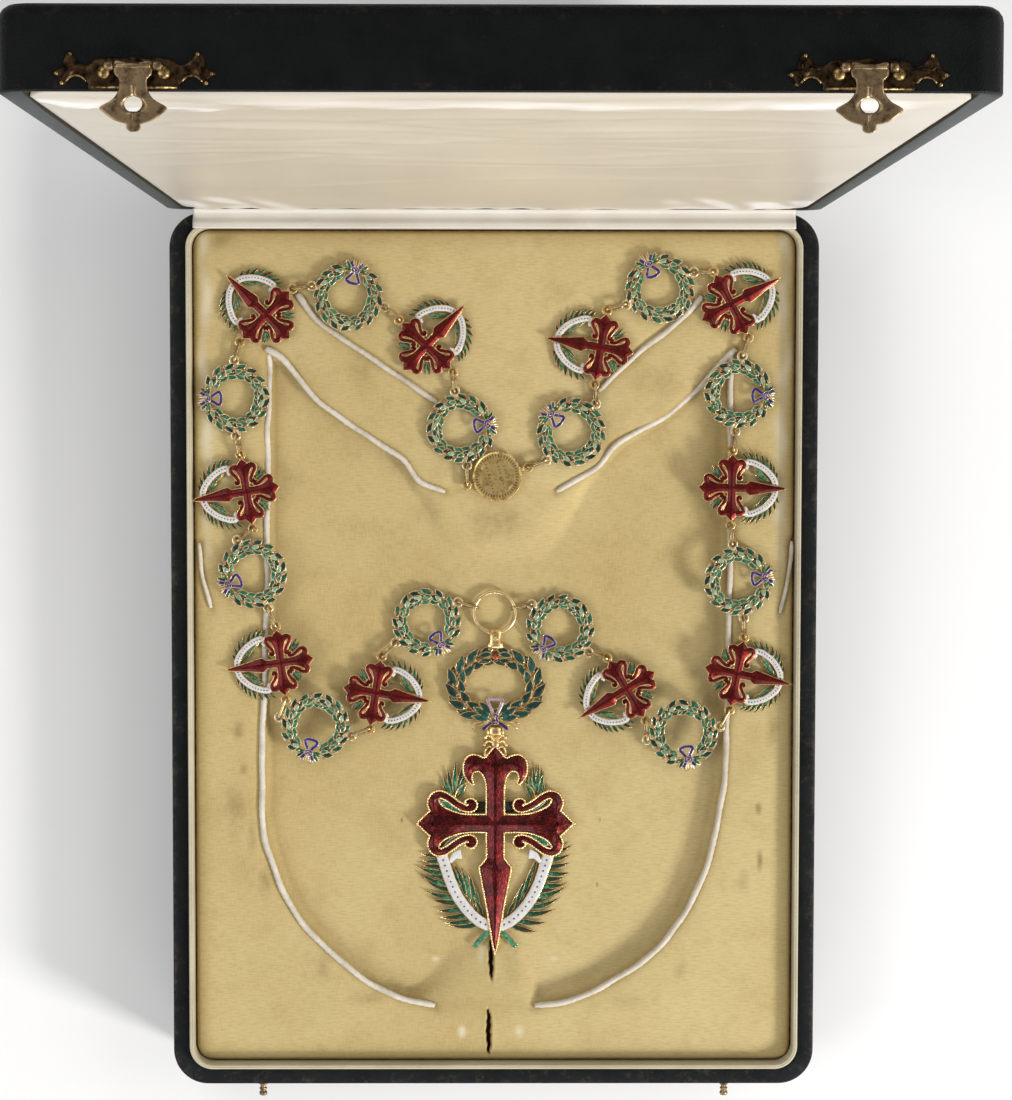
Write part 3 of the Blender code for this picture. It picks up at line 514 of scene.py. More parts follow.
def relief(draft: Draft, outline: np.ndarray, feet: np.ndarray, ridge: np.ndarray, base: float, edge: float,
           finish: int, crown: float, turn: np.ndarray | float = 0.0, corners: np.ndarray | None = None,
           reach: float = 1.0) -> None:
    """Add a plate that rises from its outline to an inner ridge.

    Every point of the outline is joined to the ridge point nearest to its foot. Going that way by a share
    t, the height is edge + (ridge - edge) * (1 - (1 - t)^(1 + crown)): a plain roof for a crown of zero,
    rounder above it. Walls go down from the outline to the flat underside. The chart holds the place along
    and across the arm.

    Args:
        draft: Draft that takes the plate.
        outline: Closed outline, two coordinates.
        feet: Rough place of each outline point's foot on the ridge.
        ridge: Points of the ridge with their heights.
        base: Height of the underside.
        edge: Height of the top at the outline.
        finish: Index of the finish.
        crown: Roundness of the rise.
        turn: Direction of the arm at each outline point, in radians.
        corners: Points where two ridges meet. Where neighbouring feet lie on both of them, a triangle up to
            the corner closes the roof.
        reach: Distance between neighbouring feet above which that is done.
    """
    apart = np.linalg.norm(feet[:, None, :] - ridge[None, :, :2], axis=2)
    foot = ridge[apart.argmin(axis=1)]
    way = np.array([0.0, 0.08, 0.28, 0.52, 0.76, 1.0])
    flat = outline[None] + (foot[None, :, :2] - outline[None]) * way[:, None, None]
    height = edge + (foot[:, 2] - edge)[None] * (1.0 - (1.0 - way) ** (1.0 + crown))[:, None]
    top = np.concatenate([flat, height[..., None]], axis=-1)
    bottom = np.stack([flat_to_space(foot[:, :2], base), flat_to_space(outline, base)])
    grid = np.concatenate([bottom, top])
    turn = np.broadcast_to(np.asarray(turn, float), (len(outline),))
    cosine, sine = np.cos(turn), np.sin(turn)
    chart = np.stack(
        [grid[..., 0] * cosine + grid[..., 1] * sine, grid[..., 1] * cosine - grid[..., 0] * sine], axis=-1)
    draft.add(grid, finish, chart=chart)
    if corners is None:
        return
    after = np.roll(foot, -1, axis=0)
    split = np.linalg.norm(after[:, :2] - foot[:, :2], axis=1) > reach
    first, second = foot[split], after[split]
    middle = (first + second) / 2.0
    nearest = np.linalg.norm(middle[:, None, :2] - corners[None, :, :2], axis=2)
    close = nearest.min(axis=1) < 4.0 * reach
    corner = corners[nearest.argmin(axis=1)]
    for a, b, c in zip(first[close], second[close], corner[close]):
        draft.add(np.array([(a, b), (c, c)]), finish, columns_close=False, solid=False, faces_up=True)


# Finishes

class Painter:
    """Short words for the shader nodes that the finishes share."""

    def __init__(self, name: str) -> None:
        """Start a material with a Principled shader and nothing else."""
        self.material = bpy.data.materials.new(name)
        self.material.use_nodes = True
        self.tree = self.material.node_tree
        self.tree.nodes.clear()
        self.shader = self.tree.nodes.new("ShaderNodeBsdfPrincipled")
        output = self.tree.nodes.new("ShaderNodeOutputMaterial")
        self.tree.links.new(self.shader.outputs["BSDF"], output.inputs["Surface"])
        coordinates = self.tree.nodes.new("ShaderNodeTexCoord")
        self.place = coordinates.outputs["Object"]
        self.chart = coordinates.outputs["UV"]

    def set(self, **values: object) -> "Painter":
        """Set the shader's own sockets; an underscore in a name stands for a space."""
        for name, value in values.items():
            socket = self.shader.inputs[name.replace("_", " ").title().replace("Ior", "IOR")]
            socket.default_value = (*value, 1.0) if isinstance(value, tuple) and len(value) == 3 else value
        return self

    def link(self, name: str, output: bpy.types.NodeSocket) -> "Painter":
        """Feed one of the shader's sockets."""
        self.tree.links.new(output, self.shader.inputs[name])
        return self

    def node(self, kind: str, inputs: dict | None = None, **settings: object) -> bpy.types.Node:
        """Make a node, set its properties and feed or set its inputs.

        Args:
            kind: Name of the node's type.
            inputs: What feeds each input: a socket or a plain value.
            **settings: The node's own properties.

        Returns:
            The node.
        """
        item = self.tree.nodes.new(kind)
        for name, value in settings.items():
            setattr(item, name, value)
        for name, value in (inputs or {}).items():
            socket = item.inputs[name]
            if isinstance(value, bpy.types.NodeSocket):
                self.tree.links.new(value, socket)
            else:
                socket.default_value = value
        return item

    def stretched(self, source: bpy.types.NodeSocket, scale: tuple,
                  shift: tuple = (0.0, 0.0, 0.0)) -> bpy.types.NodeSocket:
        """Coordinates times a scale, then shifted."""
        return self.node("ShaderNodeMapping", {"Vector": source, "Scale": scale,
                                               "Location": shift}).outputs["Vector"]

    def noise(self, source: bpy.types.NodeSocket, scale: float, detail: float = 3.0,
              roughness: float = 0.55) -> bpy.types.NodeSocket:
        """Soft random pattern from zero to one."""
        return self.node("ShaderNodeTexNoise", {"Vector": source, "Scale": scale, "Detail": detail,
                                                "Roughness": roughness}).outputs["Fac"]

    def tone(self) -> bpy.types.NodeSocket:
        """The number from zero to one that is kept with each point."""
        return self.node("ShaderNodeAttribute", attribute_name="tone").outputs["Fac"]

    def ramp(self, factor: bpy.types.NodeSocket, stops: tuple) -> bpy.types.NodeSocket:
        """Colour that goes through stops.

        Args:
            factor: Position on the ramp.
            stops: Pairs of position and colour.

        Returns:
            Socket of the colour.
        """
        item = self.node("ShaderNodeValToRGB", {"Fac": factor})
        ramp = item.color_ramp
        while len(ramp.elements) < len(stops):
            ramp.elements.new(0.5)
        for element, (position, colour) in zip(ramp.elements, stops):
            element.position = position
            element.color = (*colour, 1.0) if len(colour) == 3 else colour
        return item.outputs["Color"]

    def level(self, factor: bpy.types.NodeSocket, low: float, high: float, to_low: float = 0.0,
              to_high: float = 1.0) -> bpy.types.NodeSocket:
        """Stretch a factor from one range to another and clamp it."""
        return self.node("ShaderNodeMapRange", {"Value": factor, "From Min": low, "From Max": high,
                                                "To Min": to_low, "To Max": to_high}).outputs["Result"]

    def mix(self, factor: bpy.types.NodeSocket | float, a: object, b: object) -> bpy.types.NodeSocket:
        """Blend two colours.

        Args:
            factor: Share of the second colour.
            a: First colour, or the socket that gives it.
            b: Second colour, or the socket that gives it.

        Returns:
            Socket of the blended colour.
        """
        item = self.tree.nodes.new("ShaderNodeMix")
        item.data_type = "RGBA"
        for index, value in ((0, factor), (6, a), (7, b)):
            if isinstance(value, bpy.types.NodeSocket):
                self.tree.links.new(value, item.inputs[index])
            elif isinstance(value, tuple) and len(value) == 3:
                item.inputs[index].default_value = (*value, 1.0)
            else:
                item.inputs[index].default_value = value
        return item.outputs[2]

    def math(self, operation: str, a: object, b: object = 0.0, clamp: bool = False) -> bpy.types.NodeSocket:
        """One sum, product or other operation on two numbers."""
        return self.node("ShaderNodeMath", {0: a, 1: b}, operation=operation, use_clamp=clamp).outputs[0]

    def bump(self, height: bpy.types.NodeSocket, strength: float, distance: float) -> "Painter":
        """Roughen the shading by a height in metres times the distance."""
        item = self.node("ShaderNodeBump", {"Height": height, "Strength": strength, "Distance": distance})
        return self.link("Normal", item.outputs["Normal"])


@dataclass(frozen=True)
class Metal:
    """Gilt or brass with darker, duller patches and fine scratches."""

    name: str
    bright: tuple
    dull: tuple
    roughness: float = 0.24
    patch_size: float = 4.0
    dullness: float = 0.5

    def material(self) -> bpy.types.Material:
        """Build the shader: colour and roughness follow soft patches, scratches give a fine bump."""
        paint = Painter(self.name)
        patches = paint.noise(paint.place, 1000.0 / self.patch_size, 4.0, 0.65)
        share = paint.level(patches, 0.62 - 0.3 * self.dullness, 0.78 - 0.2 * self.dullness)
        paint.link("Base Color", paint.mix(share, self.bright, self.dull))
        paint.link("Roughness", paint.level(patches, 0.3, 0.75, self.roughness, self.roughness + 0.22))
        paint.set(metallic=1.0)
        fine = paint.noise(paint.place, 2600.0, 2.0)
        return paint.bump(fine, 0.18, 0.00012).material


@dataclass(frozen=True)
class RedEnamel:
    """Deep red enamel over engine-turned metal: short bright strokes run along each bar under a gloss."""

    name: str
    deep: tuple = (0.014, 0.0008, 0.0010)
    middle: tuple = (0.055, 0.0028, 0.0032)
    bright: tuple = (0.42, 0.030, 0.026)
    stroke_length: float = 1.5
    stroke_width: float = 0.42

    def material(self) -> bpy.types.Material:
        """Build the shader: strokes are noise stretched along the chart, crossed by soft darker patches."""
        paint = Painter(self.name)
        strokes = paint.noise(
            paint.stretched(paint.chart, (1.0 / self.stroke_length, 1.0 / self.stroke_width, 1.0)), 1.0, 3.0,
            0.7)
        patches = paint.noise(paint.place, 220.0, 2.0)
        light = paint.math("ADD", paint.math("MULTIPLY", strokes, 0.85), paint.math("MULTIPLY", patches, 0.3))
        colour = paint.ramp(
            paint.level(light, 0.38, 0.80), ((0.0, self.deep), (0.45, self.middle), (1.0, self.bright)))
        paint.link("Base Color", colour)
        paint.set(metallic=0.8, roughness=0.34, coat_weight=0.16, coat_roughness=0.08, coat_ior=1.5)
        return paint.bump(strokes, 0.5, 0.00016).material


@dataclass(frozen=True)
class Enamel:
    """Glossy enamel whose colour follows the tone kept with each point, a little cloudy."""

    name: str
    stops: tuple
    roughness: float = 0.22
    cloud: float = 0.25
    cloud_size: float = 1.6
    metallic: float = 0.0

    def material(self) -> bpy.types.Material:
        """Build the shader: colour stops over the tone, shifted by soft noise, under a clear coat."""
        paint = Painter(self.name)
        clouds = paint.level(paint.noise(paint.place, 1000.0 / self.cloud_size, 3.0), 0.3, 0.7,
                             -self.cloud, self.cloud)
        colour = paint.ramp(paint.math("ADD", paint.tone(), clouds, clamp=True), self.stops)
        paint.link("Base Color", colour)
        paint.set(roughness=self.roughness, coat_weight=0.45, coat_roughness=0.06, metallic=self.metallic)
        return paint.bump(paint.noise(paint.place, 900.0, 2.0), 0.15, 0.0001).material


@dataclass(frozen=True)
class Leatherette:
    """Near-black grained covering that is rubbed brownish grey along its edges, where the tone is high."""

    name: str
    base: tuple = (0.0062, 0.0070, 0.0076)
    lighter: tuple = (0.0155, 0.0175, 0.0195)
    worn: tuple = (0.085, 0.066, 0.046)
    grain: float = 0.55
    gloss: float = 0.16

    def material(self) -> bpy.types.Material:
        """Build the shader: pebbled grain from cells and noise, wear where tone and noise are both high."""
        paint = Painter(self.name)
        cells = paint.node("ShaderNodeTexVoronoi", {"Vector": paint.place, "Scale": 1000.0 / self.grain,
                                                    "Randomness": 1.0}).outputs["Distance"]
        soft = paint.noise(paint.place, 90.0, 4.0, 0.6)
        wear_noise = paint.noise(paint.place, 260.0, 5.0, 0.75)
        wear = paint.level(paint.math("ADD", paint.tone(), wear_noise), 1.02, 1.42)
        colour = paint.mix(paint.level(soft, 0.3, 0.75), self.base, self.lighter)
        colour = paint.mix(paint.level(cells, 0.1, 0.7, 0.0, 0.35), colour, self.lighter)
        colour = paint.mix(
            paint.level(paint.tone(), 0.25, 0.0), colour, tuple(0.12 * part for part in self.lighter))
        paint.link("Base Color", paint.mix(wear, colour, self.worn))
        paint.link("Roughness", paint.level(soft, 0.3, 0.7, 0.42, 0.58))
        paint.set(specular_ior_level=self.gloss)
        height = paint.math("ADD", cells, paint.math("MULTIPLY", soft, 0.5))
        return paint.bump(height, 0.5, 0.00025).material


@dataclass(frozen=True)
class Stain:
    """Soft brown spot on the pad, or a pale one where the strength is negative."""

    x: float
    y: float
    radius_x: float
    radius_y: float
    strength: float


STAINS = tuple(
    Stain(*row)
    for row in (
        (-99.0, -31.0, 3.2, 5.0, 0.62), (-100.5, -63.0, 5.0, 14.0, 0.46), (-97.0, -46.0, 2.2, 3.5, 0.54),
        (-94.0, -72.0, 2.5, 8.0, 0.54), (-88.5, -90.0, 4.0, 8.0, 0.46), (-66.0, -122.0, 4.5, 8.0, 0.39),
        (103.0, -61.0, 1.8, 3.2, 0.92), (103.5, -81.5, 1.6, 5.5, 0.92), (108.0, -29.0, 3.5, 12.0, 0.46),
        (97.0, -89.5, 3.0, 6.0, 0.39), (73.0, -124.0, 4.0, 6.0, 0.39), (-36.0, -66.5, 0.7, 1.5, 0.92),
        (41.5, -66.5, 0.7, 1.5, 0.92), (40.5, -92.0, 0.8, 1.4, 0.92), (-49.0, -136.0, 9.0, 4.0, 0.31),
        (53.0, -137.0, 9.0, 5.0, 0.31), (-105.0, 158.0, 8.0, 6.0, 0.46), (-22.8, -121.4, 2.2, 1.6, -0.78),
        (23.6, -121.4, 2.2, 1.6, -0.78), (-12.3, -148.9, 2.4, 3.2, -0.90), (10.1, -148.9, 2.6, 3.0, -0.78),
        (-4.5, -118.0, 2.5, 7.0, -0.65), (3.5, 50.0, 16.0, 9.0, 0.54), (-50.0, 108.0, 7.0, 14.0, 0.28),
        (62.0, 104.0, 12.0, 7.0, 0.25), (-12.0, 92.0, 9.0, 16.0, 0.22)))


@dataclass(frozen=True)
class PadCloth:
    """Ribbed champagne cloth, mottled, with water marks, brown stains and bleached wear; high tone paints
    shade, and above 1.05 a near-black shadow.
    """

    name: str
    stains: tuple
    base: tuple = (0.520, 0.396, 0.172)
    pale: tuple = (0.610, 0.490, 0.245)
    dark: tuple = (0.360, 0.250, 0.088)
    stain: tuple = (0.185, 0.115, 0.036)
    bleached: tuple = (0.74, 0.67, 0.50)
    # near black: painted shadow in the slits and at the pad's very edge by the lip
    slit: tuple = (0.016, 0.010, 0.006)

    def material(self) -> bpy.types.Material:
        """Build the shader: fine ribs across, a looser weave along, mottling, painted shade and bleached wear
        from the tone, then the stains and the near-black painted shadow.
        """
        paint = Painter(self.name)
        broad = paint.noise(paint.stretched(paint.place, (1.0, 0.7, 1.0)), 14.0, 3.0, 0.5)
        mottle = paint.noise(paint.place, 75.0, 5.0, 0.6)
        threads = paint.noise(paint.stretched(paint.place, (260.0, 2000.0, 1.0)), 1.0, 2.0, 0.6)
        warp = paint.noise(paint.stretched(paint.place, (2000.0, 280.0, 1.0)), 1.0, 2.0, 0.6)
        colour = paint.mix(paint.level(broad, 0.35, 0.68), self.base, self.pale)
        colour = paint.mix(paint.level(mottle, 0.5, 0.85, 0.0, 0.55), colour, self.dark)
        colour = paint.mix(paint.level(threads, 0.42, 0.72, 0.0, 0.46), colour, self.dark)
        colour = paint.mix(paint.level(warp, 0.44, 0.72, 0.0, 0.45), colour, self.pale)
        # high tone mixes in the dark colour as painted shade; low tone mixes in the bleached wear
        colour = paint.mix(paint.level(paint.tone(), 0.5, 1.0, 0.0, 0.85), colour, self.dark)
        colour = paint.mix(paint.level(paint.tone(), 0.5, 0.0, 0.0, 0.75), colour, self.bleached)
        for mark in self.stains:
            across = paint.stretched(paint.place, (1000.0 / mark.radius_x, 1000.0 / mark.radius_y, 0.0),
                                     (-mark.x / mark.radius_x, -mark.y / mark.radius_y, 0.0))
            far = paint.node("ShaderNodeVectorMath", {0: across}, operation="LENGTH").outputs["Value"]
            spot = paint.math(
                "MULTIPLY", paint.level(far, 1.0, 0.15), paint.level(mottle, 0.38, 0.62, 0.35, 1.0))
            colour = paint.mix(paint.math("MULTIPLY", spot, abs(mark.strength)), colour,
                               self.stain if mark.strength > 0.0 else self.bleached)
        # tone above 1.05 paints a near-black shadow
        colour = paint.mix(paint.level(paint.tone(), 1.05, 1.3), colour, self.slit)
        paint.link("Base Color", colour)
        paint.set(roughness=0.85, sheen_weight=0.06, sheen_roughness=0.4, specular_ior_level=0.12)
        ribs = paint.math("ADD", threads, paint.math("MULTIPLY", warp, 0.6))
        height = paint.math("ADD", paint.math("MULTIPLY", mottle, 0.6), ribs)
        return paint.bump(height, 0.3, 0.00018).material


@dataclass(frozen=True)
class Cloth:
    """Plain fabric or paper: one colour with soft variation, fine threads and a chosen gloss.

    The painted highlight is how white the cloth is painted along folds that would catch the light, where the
    tone is low.
    """

    name: str
    base: tuple
    shade: tuple
    roughness: float = 0.7
    sheen: float = 0.0
    thread: float = 0.35
    patch: float = 25.0
    bump: float = 0.15
    gloss: float = 0.3
    # how white the cloth is painted as highlight where the tone is low
    painted_highlight: float = 0.0

    def material(self) -> bpy.types.Material:
        """Build the shader: patches and threads between two colours; high tone takes the darker one, which on
        the lining is painted shade along the creases, and low tone paints a white highlight.
        """
        paint = Painter(self.name)
        patches = paint.noise(paint.place, 1000.0 / self.patch, 4.0, 0.6)
        threads = paint.noise(paint.stretched(paint.place, (0.15, 1.0, 1.0)), 1000.0 / self.thread, 2.0)
        share = paint.math(
            "ADD", paint.level(patches, 0.35, 0.75, 0.0, 0.6), paint.level(threads, 0.4, 0.8, 0.0, 0.25))
        # high tone darkens the colour; on the lining this is painted shade along the creases
        share = paint.math("ADD", share, paint.level(paint.tone(), 0.5, 1.0, 0.0, 0.9), clamp=True)
        # painted highlight: low tone turns the colour white
        painted_highlight = paint.level(paint.tone(), 0.42, 0.0, 0.0, self.painted_highlight)
        paint.link("Base Color",
                   paint.mix(painted_highlight, paint.mix(share, self.base, self.shade), (0.96, 0.945, 0.93)))
        paint.set(roughness=self.roughness, sheen_weight=self.sheen, sheen_roughness=0.35,
                  specular_ior_level=self.gloss)
        return paint.bump(threads, self.bump, 0.0001).material


class Finish(Enum):
    """Every finish on the object."""

    GILT = Metal("polished_gilt", (0.95, 0.70, 0.33), (0.40, 0.23, 0.08), 0.20, 3.0, 0.45)
    LINK_GILT = Metal("link_gilt", (1.0, 0.84, 0.55), (0.46, 0.28, 0.11), 0.22, 2.5, 0.45)
    CROSS_GILT = Metal("cross_gilt", (0.90, 0.62, 0.27), (0.40, 0.21, 0.07), 0.22, 2.5, 0.5)
    JUMP_GILT = Metal("jump_gilt", (0.58, 0.44, 0.22), (0.15, 0.095, 0.04), 0.18, 3.0, 0.55)
    RING_GILT = Metal("ring_gilt", (0.86, 0.68, 0.38), (0.42, 0.29, 0.13), 0.2, 9.0, 0.3)
    SEAL_GILT = Metal("seal_gilt", (0.74, 0.55, 0.23), (0.30, 0.19, 0.065), 0.34, 3.0, 0.6)
    OLD_BRASS = Metal("mottled_old_brass", (0.40, 0.28, 0.155), (0.085, 0.052, 0.028), 0.3, 3.0, 0.6)
    RED = RedEnamel("engine_turned_red")
    RED_SMALL = RedEnamel("small_cross_red", (0.020, 0.0010, 0.0011), (0.096, 0.0035, 0.003),
                           (0.30, 0.017, 0.012), 0.9, 0.3)
    LEAF = Enamel("leaf_enamel", ((0.0, (0.001, 0.013, 0.006)), (0.45, (0.004, 0.062, 0.027)),
                                  (0.75, (0.022, 0.18, 0.085)), (1.0, (0.24, 0.46, 0.32))))
    DARK_LEAF = Enamel("dark_leaf_enamel", ((0.0, (0.002, 0.014, 0.011)), (0.5, (0.006, 0.050, 0.036)),
                                            (1.0, (0.05, 0.20, 0.14))))
    PALM = Enamel("palm_enamel",
                  ((0.0, (0.060, 0.026, 0.010)), (0.30, (0.012, 0.026, 0.010)), (0.6, (0.005, 0.082, 0.038)),
                   (1.0, (0.09, 0.32, 0.18))), cloud=0.3, cloud_size=1.1)
    DROP = Enamel(
        "drop_enamel", ((0.0, (0.003, 0.040, 0.020)), (0.5, (0.012, 0.14, 0.075)), (1.0, (0.12, 0.38, 0.24))),
        cloud=0.65, cloud_size=0.8)
    WHITE = Enamel("white_ribbon_enamel", ((0.0, (0.46, 0.44, 0.42)), (1.0, (0.74, 0.73, 0.72))), 0.2, 0.25,
                   2.0)
    VIOLET = Enamel("violet_bow_enamel", ((0.0, (0.010, 0.005, 0.060)), (0.6, (0.030, 0.014, 0.19)),
                                      (1.0, (0.36, 0.25, 0.42))), 0.2, 0.3)
    BERRY = Enamel(
        "berry_enamel", ((0.0, (0.40, 0.06, 0.02)), (0.5, (0.62, 0.22, 0.05)), (1.0, (0.85, 0.55, 0.2))),
        0.25, 0.3, 1.0, 0.5)
    LEATHERETTE = Leatherette("grained_leatherette", (0.0045, 0.0052, 0.0057), (0.0115, 0.0135, 0.0150))
    LID_OUTSIDE = Leatherette(
        "lid_leatherette", (0.0028, 0.0031, 0.0034), (0.0065, 0.007, 0.0075), (0.050, 0.031, 0.023), 0.6,
        0.10)
    LID_RIM = Leatherette(
        "lid_rim_leatherette", (0.026, 0.032, 0.035), (0.080, 0.095, 0.098), (0.20, 0.19, 0.16), 0.6)
    LIP = Cloth("lip_covering", (0.60, 0.545, 0.40), (0.38, 0.325, 0.205), 0.5, 0.0, 0.6, 30.0, 0.1)
    PIPING = Cloth("piping_cord", (0.74, 0.69, 0.60), (0.46, 0.39, 0.28), 0.6, 0.1, 0.3, 6.0, 0.6)
    # the satin's last number is how white it is painted as highlight where the tone is low
    SATIN = Cloth("lining_satin", (0.63, 0.572, 0.478), (0.535, 0.476, 0.388), 0.35, 0.0, 0.25, 60.0, 0.10,
                  0.7, 0.85)
    STRIP = Cloth("hinge_satin", (0.78, 0.735, 0.66), (0.64, 0.59, 0.51), 0.28, 0.0, 0.25, 30.0, 0.10, 0.8)
    # near-black inner walls of the lid: painted shade in the narrow groove between rim and lining
    GROOVE = Cloth("groove_painted_shade", (0.024, 0.020, 0.011), (0.012, 0.010, 0.006), 0.8)
    PAD = PadCloth("ribbed_pad_cloth", STAINS)
    PLATE_BRASS = Metal("plate_brass", (0.085, 0.050, 0.024), (0.010, 0.006, 0.004), 0.38, 1.8, 0.8)
    WORN_BRASS = Metal("worn_brass", (0.52, 0.35, 0.14), (0.07, 0.042, 0.02), 0.3, 1.2, 0.8)
    FLOOR = Cloth("floor_paint", (0.92, 0.92, 0.92), (0.90, 0.90, 0.90), 0.9, 0.0, 5.0, 400.0, 0.0)
    STRAP = Cloth("black_strap", (0.012, 0.010, 0.008), (0.03, 0.026, 0.02), 0.75)
    ENGRAVED = Metal("engraved_lines", (0.20, 0.12, 0.045), (0.10, 0.06, 0.025), 0.5, 1.5, 0.6)
    TICK = Enamel("dark_dot_enamel", ((0.0, (0.05, 0.02, 0.06)), (1.0, (0.12, 0.05, 0.10))), 0.3, 0.1)

    def material(self) -> bpy.types.Material:
        """The finish's material, made once."""
        return bpy.data.materials.get(self.value.name) or self.value.material()


# Enamelled crosses

@dataclass(frozen=True)
class Arm:
    """Half of one arm of the cross, in millimetres of the large one.

    A run holds outline points as (along, beside, foot along, foot beside), with a sharp corner between
    runs. A spine is a ridge line as (along, beside, height). The corner is where the side ridge leaves the
    main one.
    """

    runs: tuple
    spines: tuple
    corner: tuple | None = None

    def half(self, step: float) -> np.ndarray:
        """Outline with its feet, from the inner corner to the tip."""
        return cornered_path(self.runs, step)

    def ridge(self, step: float) -> np.ndarray:
        """Points of all its ridge lines."""
        return np.concatenate([smooth_path(np.array(line, float), step) for line in self.spines])


SIDE_ARM = Arm(
    (((3.15, 3.15, 0, 0), (5.5, 3.12, 4.2, 0), (9, 3.1, 8.8, 0), (13.5, 3.5, 13.5, 0), (17.5, 4.8, 17.8, 0),
      (20.6, 6.4, 22, 1.2), (22.2, 8.4, 24, 5.2), (22.3, 9.8, 23.9, 8.4), (21.2, 10.3, 21, 11),
      (18.7, 9.2, 18.2, 10.1), (16, 7.2, 15.5, 8.1), (13.2, 5.6, 13, 6.6), (10.2, 4.9, 10.5, 6),
      (8.2, 5.5, 9.2, 6.6), (7.4, 7.2, 8.8, 7.4), (8.2, 8.9, 9.1, 8.2), (9.9, 9.4, 9.9, 8.4),
      (11.3, 8.6, 10.4, 8.3), (11.2, 7.6, 10.1, 8.2), (10.4, 7.35, 9.5, 8.1), (10.3, 7.25, 8.9, 7.2),
      (10.45, 7.1, 9.8, 6.2), (11.6, 6.95, 11.3, 6.1), (14.2, 8.2, 13.9, 7.1), (16.6, 10, 16.6, 8.9),
      (19.2, 11.7, 19.3, 10.6), (22, 12.4, 22, 11), (24.6, 11.3, 23.3, 10), (25.9, 8.8, 24.1, 8),
      (25.7, 6.4, 24, 5.6), (24.8, 4.9, 23.6, 3.4)),
     ((24.8, 4.9, 23.6, 3.4), (26.9, 3.1, 25.6, 0.6), (29, 1, 27.8, 0), (30.3, 0, 28.6, 0))),
    (((0, 0, 2.3), (12, 0, 2.3), (24, 0, 2.2), (28.6, 0, 1.5)),
     ((24, 0, 2.2), (24, 2.5, 2.1), (24, 5.5, 1.95), (24.1, 8, 1.8), (23, 10.2, 1.7), (21, 11, 1.65),
      (18.3, 10.1, 1.55), (15.6, 8.1, 1.45), (13.1, 6.75, 1.35), (10.8, 6, 1.25), (9.3, 6.5, 1.2),
      (8.8, 7.4, 1.15), (9.3, 8.2, 1.1), (10.1, 8.3, 1.05))), (24.0, 0.0, 2.2))
TOP_ARM = Arm(
    (((3.15, 3.15, 0, 0), (5.5, 3.12, 4.2, 0), (10, 3.1, 10, 0), (14.5, 3.2, 14.5, 0), (17.6, 3.8, 18.2, 0),
      (19.8, 5, 21.8, 1.5), (20.9, 6.6, 23.2, 5.5), (20.2, 8.8, 22.3, 9.6), (18, 9.5, 18.6, 10.4),
      (16.2, 9.1, 16.8, 9.6), (15.3, 8.8, 16.2, 9.4)),
     ((15.3, 8.8, 16.2, 9.4), (16.8, 10.3, 17.2, 9.9), (19.4, 11.8, 20, 10.6), (22.3, 12.1, 21.9, 10),
      (25, 11.4, 23, 8.8), (26.5, 9.4, 23.6, 7.4), (26.3, 6.8, 23.8, 5.5), (25.2, 4.6, 23.6, 3)),
     ((25.2, 4.6, 23.6, 3), (25.9, 3.2, 24.6, 0.8), (27.2, 2.3, 26, 0), (28.9, 0.8, 27.5, 0),
      (29.8, 0, 28.2, 0))),
    (((0, 0, 2.3), (12, 0, 2.3), (23, 0, 2.2), (28.2, 0, 1.5)),
     ((23, 0, 2.2), (23.6, 2.5, 2.1), (23.7, 5.5, 2), (23.2, 8.2, 1.9), (21.9, 9.9, 1.75), (20, 10.6, 1.5),
      (18, 10.3, 1.3), (16.2, 9.4, 1.1))), (23.0, 0.0, 2.2))
BLADE_ARM = Arm(
    (((3.15, 3.15, 0, 0), (5.5, 3.12, 4.2, 0), (9, 3.05, 9, 0), (13.6, 3, 13.6, 0)),
     ((13.6, 3, 13.6, 0), (15.6, 4.4, 16.2, 0), (17.3, 5.9, 18.2, 0)),
     ((17.3, 5.9, 18.2, 0), (21.5, 5.2, 21.8, 0), (27, 4.1, 27, 0), (33, 3, 33, 0), (39.5, 1.9, 39.5, 0),
      (45.5, 0.9, 45.3, 0), (50.3, 0, 49.4, 0))),
    (((0, 0, 2.3), (13, 0, 2.3), (18, 0, 2.8), (35, 0, 2.2), (49.4, 0, 1.2)),))


